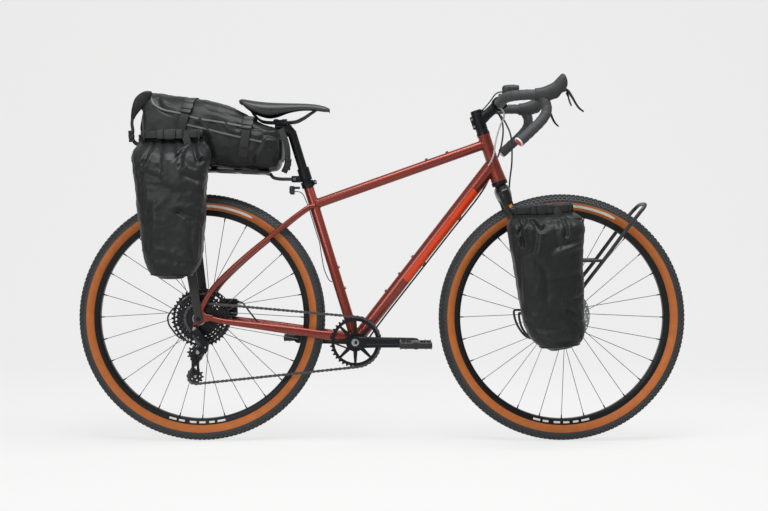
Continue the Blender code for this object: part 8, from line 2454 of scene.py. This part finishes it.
def side_release_buckle(bm, centre, along, outward, length, width):
    """A side-release buckle: a frame with two prongs, a female body and a ladder bar at each end."""
    upward = outward.cross(along).normalized()
    turn = Matrix((along, outward, upward)).transposed().to_quaternion()
    for shift, size in ((0.0, 0.46), (-0.36, 0.26), (0.36, 0.26)):
        block(bm, centre + along * shift * length, (length * size, 0.0075, width), turn, 0.0024, 3)
    for side in (-1, 1):
        block(bm, centre + upward * side * width * 0.46, (length * 0.30, 0.0062, width * 0.16), turn, 0.0018,
              2)
    for shift in (-0.20, 0.20):
        block(bm, centre + along * shift * length + outward * 0.0032, (length * 0.05, 0.0030, width * 0.86),
              turn, 0.0010, 2)


def strap_over(bm, path, outward, width=0.025, thickness=0.0016):
    ribbon(bm, smooth_path(path, 5), [Vector(row) for row in smooth_rows(outward, 5)], width, thickness)


def pannier_ring(row, count=208, power=3.1):
    back, front, z_back, z_front, inner, outer = (float(value) for value in row)
    ring = []
    for index in range(count):
        turn = 2 * math.pi * index / count
        x = (back + front) / 2 + (front - back) / 2 * squared(math.cos(turn), power)
        y = (inner + outer) / 2 + abs(outer - inner) / 2 * squared(math.sin(turn), power)
        z = z_back + (z_front - z_back) * (x - back) / (front - back)
        ring.append(Vector((x, y, z)))
    return ring


def shrunk(row, share, drop):
    """A smaller copy of a station, to round off an end."""
    back, front, z_back, z_front, inner, outer = row
    middle_x = (back + front) / 2
    middle_y = (inner + outer) / 2
    return (middle_x + (back - middle_x) * share, middle_x + (front - middle_x) * share, z_back + drop,
            z_front + drop,
            middle_y + (inner - middle_y) * share, middle_y + (outer - middle_y) * share)


def bag_shell(stations, folds, seed, roll_from):
    """The sagging shell of a pannier below its roll."""
    below = [row for row in stations if row[2] <= roll_from]
    rows = [shrunk(below[0], 0.45, -0.0060), shrunk(below[0], 0.85, -0.0040)] + list(below)
    rows = smooth_rows(rows, SHELL_STEPS)
    rings = [pannier_ring(row) for row in rows]
    centres = [sum(ring, Vector()) / len(ring) for ring in rings]
    moved = wrinkled(rings, centres, folds, seed, outer_face)
    safe = []
    for ring, smooth in zip(moved, rings):
        inner = max(point.y for point in smooth) + 0.0010
        safe.append([Vector((point.x, min(point.y, inner), point.z)) for point in ring])
    bm = bmesh.new()
    loft(bm, safe)
    return bm, safe


REAR_BAG_STATIONS = (
    # back, front, height at the back, height at the front, inner face, outer face
    (-0.6230, -0.5540, 0.4850, 0.4850, -0.1080, -0.2120),
    (-0.6440, -0.5330, 0.4940, 0.4920, -0.0970, -0.2250),
    (-0.6560, -0.5150, 0.5160, 0.5140, -0.0930, -0.2310),
    (-0.6640, -0.5060, 0.5400, 0.5400, -0.0930, -0.2320),
    (-0.6730, -0.5000, 0.6000, 0.6000, -0.0930, -0.2320),
    (-0.6810, -0.4950, 0.6600, 0.6600, -0.0930, -0.2310),
    (-0.6880, -0.4935, 0.7250, 0.7250, -0.0930, -0.2290),
    (-0.6950, -0.4895, 0.7870, 0.7870, -0.0950, -0.2240),
    (-0.7005, -0.4820, 0.8230, 0.8230, -0.1010, -0.2100),
    (-0.6960, -0.4850, 0.8460, 0.8460, -0.1080, -0.1840),
    (-0.6830, -0.4980, 0.8620, 0.8620, -0.1160, -0.1560),
    (-0.6770, -0.5070, 0.8740, 0.8750, -0.1240, -0.1440),
)
FRONT_BAG_STATIONS = (
    (0.4660, 0.5380, 0.2830, 0.2930, -0.1020, -0.2040), (0.4450, 0.5520, 0.2900, 0.3000, -0.0900, -0.2160),
    (0.4160, 0.5640, 0.3160, 0.3180, -0.0850, -0.2210), (0.3960, 0.5690, 0.3640, 0.3560, -0.0850, -0.2220),
    (0.3850, 0.5670, 0.4250, 0.4250, -0.0850, -0.2220), (0.3700, 0.5630, 0.5250, 0.5250, -0.0850, -0.2210),
    (0.3580, 0.5655, 0.5850, 0.5850, -0.0850, -0.2190), (0.3540, 0.5680, 0.6200, 0.6250, -0.0880, -0.2110),
    (0.3590, 0.5640, 0.6420, 0.6500, -0.0960, -0.1860), (0.3690, 0.5480, 0.6560, 0.6640, -0.1060, -0.1550),
    (0.3700, 0.5380, 0.6660, 0.6720, -0.1140, -0.1380),
)


def rear_spot(x, y):
    """A picture place from a point of the zoomed view that the creases were read in."""
    return 100 + x / 7.127, 80 + y / 7.127


def front_spot(x, y):
    return 420 + x / 6.03, 180 + y / 6.03


PLEAT_ROWS = {"rear": 480, "front": 300}
REAR_CREASES = (
    # points in the zoomed view, depth and width in mm
    (((355, 425), (330, 500), (295, 600)), 3.6, 7.0),
    (((490, 425), (515, 500), (530, 570), (600, 470)), 3.4, 6.0),
    (((640, 425), (665, 510), (690, 580), (715, 565)), 3.8, 7.0),
    (((690, 425), (740, 465), (770, 490)), 3.0, 6.0),
    (((760, 425), (775, 490), (785, 540)), 2.6, 5.5), (((420, 425), (412, 520), (425, 640)), 2.2, 8.0),
    (((560, 425), (575, 500), (568, 610)), 2.4, 8.0), (((300, 650), (360, 680), (420, 700)), 2.6, 9.0),
    (((600, 670), (680, 700), (760, 715)), 3.0, 9.0), (((700, 790), (750, 840), (770, 900)), 3.0, 8.0),
    (((560, 935), (640, 960), (740, 1010)), 3.2, 10.0), (((560, 935), (610, 985), (655, 1010)), 2.2, 7.0),
    (((650, 1050), (640, 1150), (655, 1250)), 2.8, 8.0), (((330, 900), (340, 1050), (330, 1200)), 1.8, 12.0),
    (((430, 760), (520, 800), (610, 790)), 1.8, 12.0), (((450, 1260), (560, 1300), (690, 1290)), 2.0, 10.0),
    (((262, 600), (285, 720), (300, 860)), 2.0, 8.0),
)
FRONT_CREASES = (
    (((600, 240), (612, 320), (620, 400)), 3.4, 6.0), (((640, 245), (615, 290), (590, 330)), 3.0, 6.0),
    (((680, 245), (735, 310), (790, 240)), 3.4, 6.0), (((870, 235), (885, 280), (885, 335)), 3.0, 6.0),
    (((900, 225), (940, 235), (985, 245)), 2.6, 6.0), (((590, 430), (605, 650), (600, 900)), 3.2, 9.0),
    (((830, 440), (900, 415), (975, 390)), -3.4, 9.0), (((820, 600), (900, 590), (980, 560)), 2.2, 10.0),
    (((890, 780), (930, 795), (950, 820)), 3.0, 7.0), (((930, 720), (960, 715), (985, 700)), 2.8, 6.0),
    (((945, 860), (965, 900), (975, 940)), 2.8, 7.0), (((700, 480), (760, 560), (770, 700)), 2.0, 12.0),
    (((650, 860), (740, 900), (840, 890)), 2.2, 11.0), (((700, 250), (705, 340), (690, 430)), 2.0, 8.0),
    (((830, 250), (822, 330), (840, 400)), 2.0, 8.0), (((720, 960), (800, 985), (900, 975)), 2.2, 9.0),
)


def make_pannier(end, body, stations, creases, spot, face_y, seed, roll_line, roll_from):
    name = end + "_bag"
    folds = []
    for points, depth, width in creases:
        strength = PLEAT_STRENGTH if points[0][1] < PLEAT_ROWS[end] else CREASE_STRENGTH
        folds.append(fold([spot(*point) for point in points], depth * strength, width * 0.85, face_y))
    bm, rings = bag_shell(stations, folds, seed, roll_from)
    piece(name + "_shell", bm, bag_fabric, body, (end + "_pannier",), sharp=70.0)
    start, finish = (Vector(point) for point in roll_line)
    bm = bmesh.new()
    rolled_cloth(bm, start, finish, 0.0225, 0.0158, seed)
    piece(name + "_roll", bm, roll_fabric, body, sharp=50.0)
    along = (finish - start).normalized()
    outward = -Y_AXIS
    bm = bmesh.new()
    face = outward * 0.0236
    middle = start.lerp(finish, 0.48)
    reach = (finish - start).length
    strap = [start + along * 0.004 + face * 0.25, start + along * 0.012 + face * 0.86,
             start + along * reach * 0.22 + face,
             middle + face * 1.01, start + along * reach * 0.78 + face, finish - along * 0.012 + face * 0.86,
             finish - along * 0.004 + face * 0.25]
    facing = [(-along + outward * 0.5).normalized(), (outward - along * 0.6).normalized(), outward, outward,
              outward,
              (outward + along * 0.6).normalized(), (along + outward * 0.5).normalized()]
    strap_over(bm, strap, facing, 0.0190)
    tail = [middle + along * 0.036 + face * 1.02, middle + along * 0.044 + face * 1.16 - Z_AXIS * 0.008,
            middle + along * 0.050 + face * 1.24 - Z_AXIS * 0.026,
            middle + along * 0.047 + face * 1.30 - Z_AXIS * 0.044]
    strap_over(bm, tail, [outward] * 4, 0.0200)
    for ring_index in (0.055, 0.945):
        side = start.lerp(finish, ring_index)
        block(bm, side + face * 0.97, (0.0050, 0.0040, 0.0290), None, 0.0014, 2)
    piece(name + "_closure_strap", bm, webbing, body)
    bm = bmesh.new()
    side_release_buckle(bm, middle + face * 1.14, along, outward, 0.062 if end == "front" else 0.074, 0.0270)
    piece(name + "_buckle", bm, moulded_nylon, body, sharp=30.0)
    bm = bmesh.new()
    base = rings[SHELL_STEPS * 3]
    welt = [point + (point - sum(base, Vector()) / len(base)).normalized() * 0.0004 for point in base]
    loft(bm,
         [oval(point, (point - sum(welt, Vector()) / len(welt)).normalized(), Z_AXIS, 0.0007, 0.0035, 8,
               3.0) for point in welt],
         closed=True)
    piece(name + "_bottom_seam", bm, roll_fabric, body)


LOWER_BARS = (
    # two bars that steady the front bag's lower corner: forward and up
    ((0.3950, 0.3880), (0.3775, 0.3850), (0.3830, 0.3540), (0.3975, 0.3275), (0.4130, 0.3120),
     (0.4290, 0.3060)),
    ((0.3990, 0.3800), (0.3900, 0.3770), (0.3960, 0.3450), (0.4100, 0.3210), (0.4250, 0.3100),
     (0.4400, 0.3050)),
)


def make_lower_bars():
    bm = bmesh.new()
    for level, line in enumerate(LOWER_BARS):
        path = smooth_path([(x, -0.0980 - 0.0140 * level, z) for x, z in line], 6)
        tube(bm, path, 0.0045, 0.0032, sides=20, power=3.4, rounded=True)
    piece("front_bag_lower_bars", bm, moulded_nylon, "steering")


def make_bag_hooks():
    bm = bmesh.new()
    for height, x, width, slot in ((0.700, -0.5778, 0.052, 0.036), (0.590, -0.5613, 0.044, 0.026)):
        for way in (-1, 1):
            jaw = Vector((x + way * (slot / 2 + (width - slot) / 4), -0.0855, height))
            block(bm, jaw, ((width - slot) / 2, 0.0200, 0.016), None, 0.0028, 3)
        block(bm, Vector((x, -0.0890, height)), (width, 0.0120, 0.016), None, 0.0028, 3)
    block(bm, Vector((-0.5700, -0.0925, 0.6450)), (0.0240, 0.0040, 0.1900), None, 0.0015)
    piece("rear_bag_hooks", bm, moulded_nylon, "frame")
    bm = bmesh.new()
    for x in (0.4650, 0.5200):
        block(bm, Vector((x, -0.0760, 0.5290)), (0.018, 0.0120, 0.030), None, 0.0026, 3)
        block(bm, Vector((x, -0.0670, 0.5375)), (0.018, 0.0200, 0.0075), None, 0.0026, 3)
    block(bm, Vector((0.4920, -0.0835, 0.5280)), (0.1000, 0.0050, 0.0240), None, 0.0018)
    piece("front_bag_hooks", bm, moulded_nylon, "steering")


make_pannier("rear", "frame", REAR_BAG_STATIONS, REAR_CREASES, rear_spot, REAR_FACE_Y, 3.7,
             ((-0.6790, -0.1340, 0.8835), (-0.5050, -0.1340, 0.8865)), 0.88)
make_pannier("front", "steering", FRONT_BAG_STATIONS, FRONT_CREASES, front_spot, FRONT_FACE_Y, 8.2,
             ((0.3670, -0.1260, 0.6690), (0.5400, -0.1260, 0.6790)), 0.672)
make_bag_hooks()
make_lower_bars()

# %% [markdown]
# ### Duffel
# A roll-top tube bag lies along the rear deck, full and round at the back and lower under the saddle. Two
# webbing straps run over it and cinch it, welded seam tape runs along it, and both mouths are rolled and
# strapped.

# %% Duffel
DUFFEL_STATIONS = (
    # forward, half width, base above the deck, top
    (-0.6900, 0.0620, 0.0700, 0.9900), (-0.6880, 0.0760, 0.0480, 1.0040), (-0.6820, 0.0890, 0.0220, 1.0130),
    (-0.6640, 0.0950, 0.0050, 1.0160), (-0.6200, 0.0970, 0.0006, 1.0090), (-0.5340, 0.0970, 0.0006, 0.9990),
    (-0.4600, 0.0960, 0.0006, 0.9830), (-0.4000, 0.0940, 0.0006, 0.9560), (-0.3720, 0.0920, 0.0006, 0.9370),
    (-0.3450, 0.0880, 0.0006, 0.9240), (-0.3120, 0.0800, 0.0040, 0.9160), (-0.2990, 0.0680, 0.0160, 0.9060),
    (-0.2940, 0.0520, 0.0330, 0.8900),
)
DUFFEL_ROWS = np.array(smooth_rows(DUFFEL_STATIONS, 8))
DUFFEL_POWER = 2.9
DUFFEL_CREASES = (
    (((400, 130), (430, 200), (520, 250)), 2.4, 8.0), (((700, 330), (760, 420), (780, 520)), 2.2, 10.0),
    (((1000, 330), (990, 340), (980, 350)), 3.0, 7.0), (((1180, 380), (1240, 400), (1290, 400)), 3.6, 8.0),
    (((1110, 560), (1150, 500), (1180, 430)), -2.6, 7.0), (((820, 300), (900, 380), (960, 420)), 2.0, 12.0),
    (((1060, 330), (1120, 350), (1200, 345)), 2.6, 8.0), (((640, 460), (740, 560), (900, 600)), 1.8, 12.0),
    (((1210, 470), (1250, 520), (1240, 590)), 2.8, 8.0), (((760, 180), (860, 220), (960, 240)), 1.8, 10.0),
)
STRAP_LINES = (
    ((650, 130), (625, 150), (608, 185), (597, 260), (590, 345)),
    ((1060, 225), (1055, 260), (1042, 340), (1026, 460), (1006, 610)),
)


def duffel_section(x):
    """The duffel's half width, base height and top height at a place along it."""
    half, low, top = (float(np.interp(x, DUFFEL_ROWS[:, 0], DUFFEL_ROWS[:, index])) for index in (1, 2, 3))
    return half, deck_height(x) + DECK_HALF + low, top


def duffel_point(x, turn, lift=0.0):
    """A point of the duffel's smooth surface, lifted outward, with the outward direction."""
    half, base, top = duffel_section(x)
    c = math.cos(turn)
    s = math.sin(turn)
    y = half * squared(c, DUFFEL_POWER)
    z = (top - base) / 2 * squared(s, DUFFEL_POWER)
    outward = Vector((0.0, c / half, s / ((top - base) / 2))).normalized()
    return Vector((x, y, (base + top) / 2 + z)) + outward * lift, outward


def make_duffel():
    count = 176
    rings = []
    for row in DUFFEL_ROWS:
        rings.append([duffel_point(float(row[0]), 2 * math.pi * index / count)[0] for index in range(count)])
    for edge, shares, bulge in ((rings[0], (0.80, 0.45), -0.0012), (rings[-1], (0.75, 0.40), 0.0016)):
        middle = sum(edge, Vector()) / count
        for step, share in enumerate(shares):
            cap = [middle + (point - middle) * share + X_AXIS * bulge * (step + 1) for point in edge]
            rings.insert(0, cap) if bulge < 0 else rings.append(cap)
    centres = [sum(ring, Vector()) / count for ring in rings]
    folds = [fold([rear_spot(*point) for point in points], depth * CREASE_STRENGTH, width * 0.9,
                  DUFFEL_FACE_Y)
             for points, depth, width in DUFFEL_CREASES]
    cinches = [fold([rear_spot(*point) for point in line], 3.4, 17.0, DUFFEL_FACE_Y) for line in STRAP_LINES]
    moved = wrinkled(rings, centres, folds, 5.1, outer_face, cinches)
    floor_safe = []
    for ring in moved:
        resting = []
        for point in ring:
            floor = deck_height(point.x) + DECK_CLEARANCE
            height = max(point.z, floor) if abs(point.y) < DECK_REACH else point.z
            resting.append(Vector((point.x, point.y, height)))
        floor_safe.append(resting)
    bm = bmesh.new()
    loft(bm, floor_safe)
    piece("duffel_shell", bm, bag_fabric, "frame", ("duffel_bag",), sharp=70.0)


def duffel_strap(line):
    """A strap over the duffel through picture points on its right side, and down its left."""
    right = [seen_at(*rear_spot(*point), DUFFEL_FACE_Y) for point in line]
    lean = np.polyfit([point.z for point in right], [point.x for point in right], 1)
    path = []
    facing = []
    for step in range(49):
        turn = math.radians(205.0 - 230.0 * step / 48)
        x = right[0].x
        for _ in range(3):
            point, outward = duffel_point(x, turn, 0.0006)
            x = float(np.polyval(lean, point.z))
        point, outward = duffel_point(x, turn, 0.0006)
        path.append(point)
        facing.append(outward)
    return path, facing


def make_duffel_straps():
    bm = bmesh.new()
    buckles = bmesh.new()
    for line in STRAP_LINES:
        path, facing = duffel_strap(line)
        ribbon(bm, path, facing, 0.0260, 0.0018)
        low, high = path[11], path[14]
        side_release_buckle(buckles, (low + high) / 2 + facing[12] * 0.0044, (high - low).normalized(),
                            facing[12], 0.050, 0.0300)
        tail = [path[10] + facing[10] * 0.005, path[8] + facing[8] * 0.007, path[6] + facing[6] * 0.006,
                path[4] + facing[4] * 0.005]
        strap_over(bm, tail, [facing[10], facing[8], facing[6], facing[4]], 0.0240)
    piece("duffel_straps", bm, webbing, "frame")
    piece("duffel_buckles", buckles, moulded_nylon, "frame", sharp=30.0)
    bm = bmesh.new()
    lines = (((345, 95), (380, 170), (460, 215), (560, 235), (700, 275), (860, 300), (1020, 330)),
             ((620, 320), (760, 350), (900, 385), (1150, 440)), ((790, 600), (1000, 625), (1250, 650)))
    for line in lines:
        path = []
        for row in smooth_rows([(*rear_spot(*point),) for point in line], 8):
            place = seen_at(float(row[0]), float(row[1]), DUFFEL_FACE_Y)
            base, top = duffel_section(place.x)[1:]
            level = min(max((place.z - (base + top) / 2) / ((top - base) / 2), -0.98), 0.98)
            turn = math.pi - math.asin(math.copysign(abs(level) ** (DUFFEL_POWER / 2), level))
            point, outward = duffel_point(place.x, turn, 0.0)
            path.append((point + outward * (cloth_relief(point, 62.0, 5.1) + 0.0012), outward))
        ribbon(bm, [entry[0] for entry in path], [entry[1] for entry in path], 0.0052, 0.0010)
    piece("duffel_seam_tapes", bm, seam_tape, "frame")


BACK_EAR = (
    # the roll's end, folded down beside the mouth: forward, side, up and half width
    (-0.6620, 0.0740, 1.0110, 0.0050), (-0.6780, 0.0790, 1.0030, 0.0130), (-0.6940, 0.0815, 0.9860, 0.0165),
    (-0.7060, 0.0810, 0.9640, 0.0125), (-0.7130, 0.0790, 0.9480, 0.0080), (-0.7165, 0.0770, 0.9360, 0.0055),
)
BACK_CINCH = ((-0.7160, -0.0775, 0.9420), (-0.7185, -0.0765, 0.9220), (-0.7160, -0.0755, 0.9020),
              (-0.7175, -0.0745, 0.8860),
              (-0.7140, -0.0740, 0.8720), (-0.7040, -0.0745, 0.8640), (-0.6880, -0.0760, 0.8620))


def make_duffel_rolls():
    bm = bmesh.new()
    rolled_cloth(bm, Vector((-0.6960, -0.0740, 0.9860)), Vector((-0.6960, 0.0740, 0.9860)), 0.0115, 0.0240,
                 2.0, 30)
    for side in (-1, 1):
        rows = smooth_rows([(x, side * y, z, wide) for x, y, z, wide in BACK_EAR], 6)
        ear = [Vector(row[:3]) for row in rows]
        tube(bm, ear, [0.0052 - 0.0024 * step / len(rows) for step in range(len(rows))],
             column(rows, 3), sides=28, power=2.6)
    piece("duffel_back_roll", bm, roll_fabric, "frame", sharp=50.0)
    bm = bmesh.new()
    rolled_cloth(bm, Vector((-0.2950, -0.0560, 0.8480)), Vector((-0.2950, 0.0560, 0.8480)), 0.0085, 0.0330,
                 6.0, 30)
    piece("duffel_front_roll", bm, roll_fabric, "frame", sharp=50.0)
    bm = bmesh.new()
    buckles = bmesh.new()
    path = [Vector(point) for point in BACK_CINCH]
    strap_over(bm, path, [Vector((-0.55, -0.85, 0.1))] * len(path), 0.0120)
    strap_over(bm, [mirrored(point) for point in path], [Vector((-0.55, 0.85, 0.1))] * len(path), 0.0120)
    line = [rear_spot(*point) for point in ((1285, 350), (1318, 420), (1336, 500), (1334, 600), (1310, 660))]
    front = [seen_at(*spot, -0.0600) for spot in line]
    strap_over(bm, front, [Vector((0.6, -0.8, 0.0))] * len(front), 0.0200)
    piece("duffel_end_straps", bm, webbing, "frame")
    back_left = [mirrored(point) for point in path]
    for points, index, facing in ((path, 3, Vector((-0.55, -0.85, 0.1))),
                                  (back_left, 3, Vector((-0.55, 0.85, 0.1))),
                                  (front, 3, Vector((0.6, -0.8, 0.0)))):
        along = (points[index + 1] - points[index - 1]).normalized()
        outward = (facing - along * facing.dot(along)).normalized()
        side_release_buckle(buckles, points[index] + outward * 0.0040, along, outward, 0.034, 0.0190)
    piece("duffel_end_buckles", buckles, moulded_nylon, "frame", sharp=30.0)


make_duffel()
make_duffel_straps()
make_duffel_rolls()

# %% [markdown]
# ## Rear light
# A small lamp on the seat collar, with a red lens in a moulded housing.

# %% Rear light
def make_rear_light():
    bm = bmesh.new()
    block(bm, Vector((-0.2630, 0.0, 0.7330)), (0.0130, 0.0380, 0.0250), None, 0.0036, 4)
    block(bm, Vector((-0.2510, 0.0, 0.7400)), (0.0210, 0.0100, 0.0070), None, 0.0016)
    outer = SEAT_TUBE_RADIUS + 0.0044
    tool = bmesh.new()
    rod(tool, seat_point(0.440), seat_point(0.520), outer, 40)
    bm = joined(bm, tool)
    piece("rear_light_housing", bm, moulded_nylon, "frame", ("rear_light",), sharp=34.0)
    bm = bmesh.new()
    block(bm, Vector((-0.2694, 0.0, 0.7330)), (0.0022, 0.0310, 0.0185), None, 0.0010, 2)
    for row in range(3):
        for column in range(5):
            place = Vector((-0.2703, (column - 2) * 0.0058, 0.7330 + (row - 1) * 0.0056))
            rod(bm, place, place - X_AXIS * 0.0008, 0.0022, 8, None, 0.0002)
    piece("rear_light_lens", bm, red_lens, "frame", sharp=25.0)


make_rear_light()

# %% [markdown]
# ## Room and light
# A plain pale floor that curves up into a backdrop, one long overhead soft box, a weaker one from the front
# and an even sky. The paper itself is mid grey, so that little light comes back from below. The camera, and
# anything that mirrors the room, sees it with an even white glow laid over its own shade and shadows.

# %% Room and lights
PAPER_HEX = "#D6D6D5"
GLOW_SHARE = 0.73         # how much of the paper that the camera sees is even white


def make_stage():
    bm = bmesh.new()
    profile = [(-9.0, 0.0), (2.2, 0.0)]
    profile += [(2.2 + 2.0 * math.sin(math.pi / 2 * step / 16), 2.0 - 2.0 * math.cos(math.pi / 2 * step / 16))
                for step in range(1, 17)]
    profile += [(4.2, 7.0)]
    web(bm, [[(x, y, z) for x in (-12.0, 12.0)] for y, z in profile])
    mesh = bpy.data.meshes.new("backdrop")
    bm.to_mesh(mesh)
    bm.free()
    for face in mesh.polygons:
        face.use_smooth = True
    obj = bpy.data.objects.new("backdrop", mesh)
    scene.collection.objects.link(obj)
    material = bpy.data.materials.new("backdrop_paper")
    material.use_nodes = True
    tree = material.node_tree
    shader = tree.nodes["Principled BSDF"]
    shader.inputs["Base Color"].default_value = linear(PAPER_HEX)
    shader.inputs["Roughness"].default_value = 0.95
    shader.inputs["Specular IOR Level"].default_value = 0.1
    path = add(tree, "ShaderNodeLightPath")
    mirror = add(tree, "ShaderNodeMath",
                 {0: path.outputs["Is Glossy Ray"], 1: path.outputs["Is Transmission Ray"]},
                 operation="ADD")
    seen = add(tree, "ShaderNodeMath", {0: path.outputs["Is Camera Ray"], 1: mirror.outputs["Value"]},
               operation="ADD", use_clamp=True)
    share = add(tree, "ShaderNodeMath", {0: seen.outputs["Value"], 1: GLOW_SHARE}, operation="MULTIPLY")
    glow = add(tree, "ShaderNodeEmission", {"Color": (1.0, 1.0, 1.0, 1.0), "Strength": 1.0})
    paper = add(tree, "ShaderNodeMixShader", {0: share.outputs["Value"], 1: shader.outputs["BSDF"],
                2: glow.outputs["Emission"]})
    tree.links.new(paper.outputs["Shader"], tree.nodes["Material Output"].inputs["Surface"])
    mesh.materials.append(material)


def area_lamp(name, place, aim, size, power):
    data = bpy.data.lights.new(name, "AREA")
    data.shape = "RECTANGLE"
    data.size, data.size_y = size
    data.energy = power
    lamp = bpy.data.objects.new(name, data)
    lamp.location = place
    lamp.rotation_euler = (Vector(aim) - Vector(place)).to_track_quat("-Z", "Y").to_euler()
    scene.collection.objects.link(lamp)


make_stage()
area_lamp("overhead_box", (0.3, -0.9, 3.2), (0.0, 0.0, 0.4), (3.0, 1.2), 92.0)
area_lamp("front_box", (-1.8, -3.6, 1.9), (0.0, 0.0, 0.5), (2.0, 1.4), 40.0)
world = bpy.data.worlds.new("even_sky")
world.use_nodes = True
sky = world.node_tree.nodes["Background"]
sky.inputs["Color"].default_value = (1.0, 1.0, 1.0, 1.0)
sky.inputs["Strength"].default_value = 0.38
scene.world = world
scene.view_settings.view_transform = "Standard"
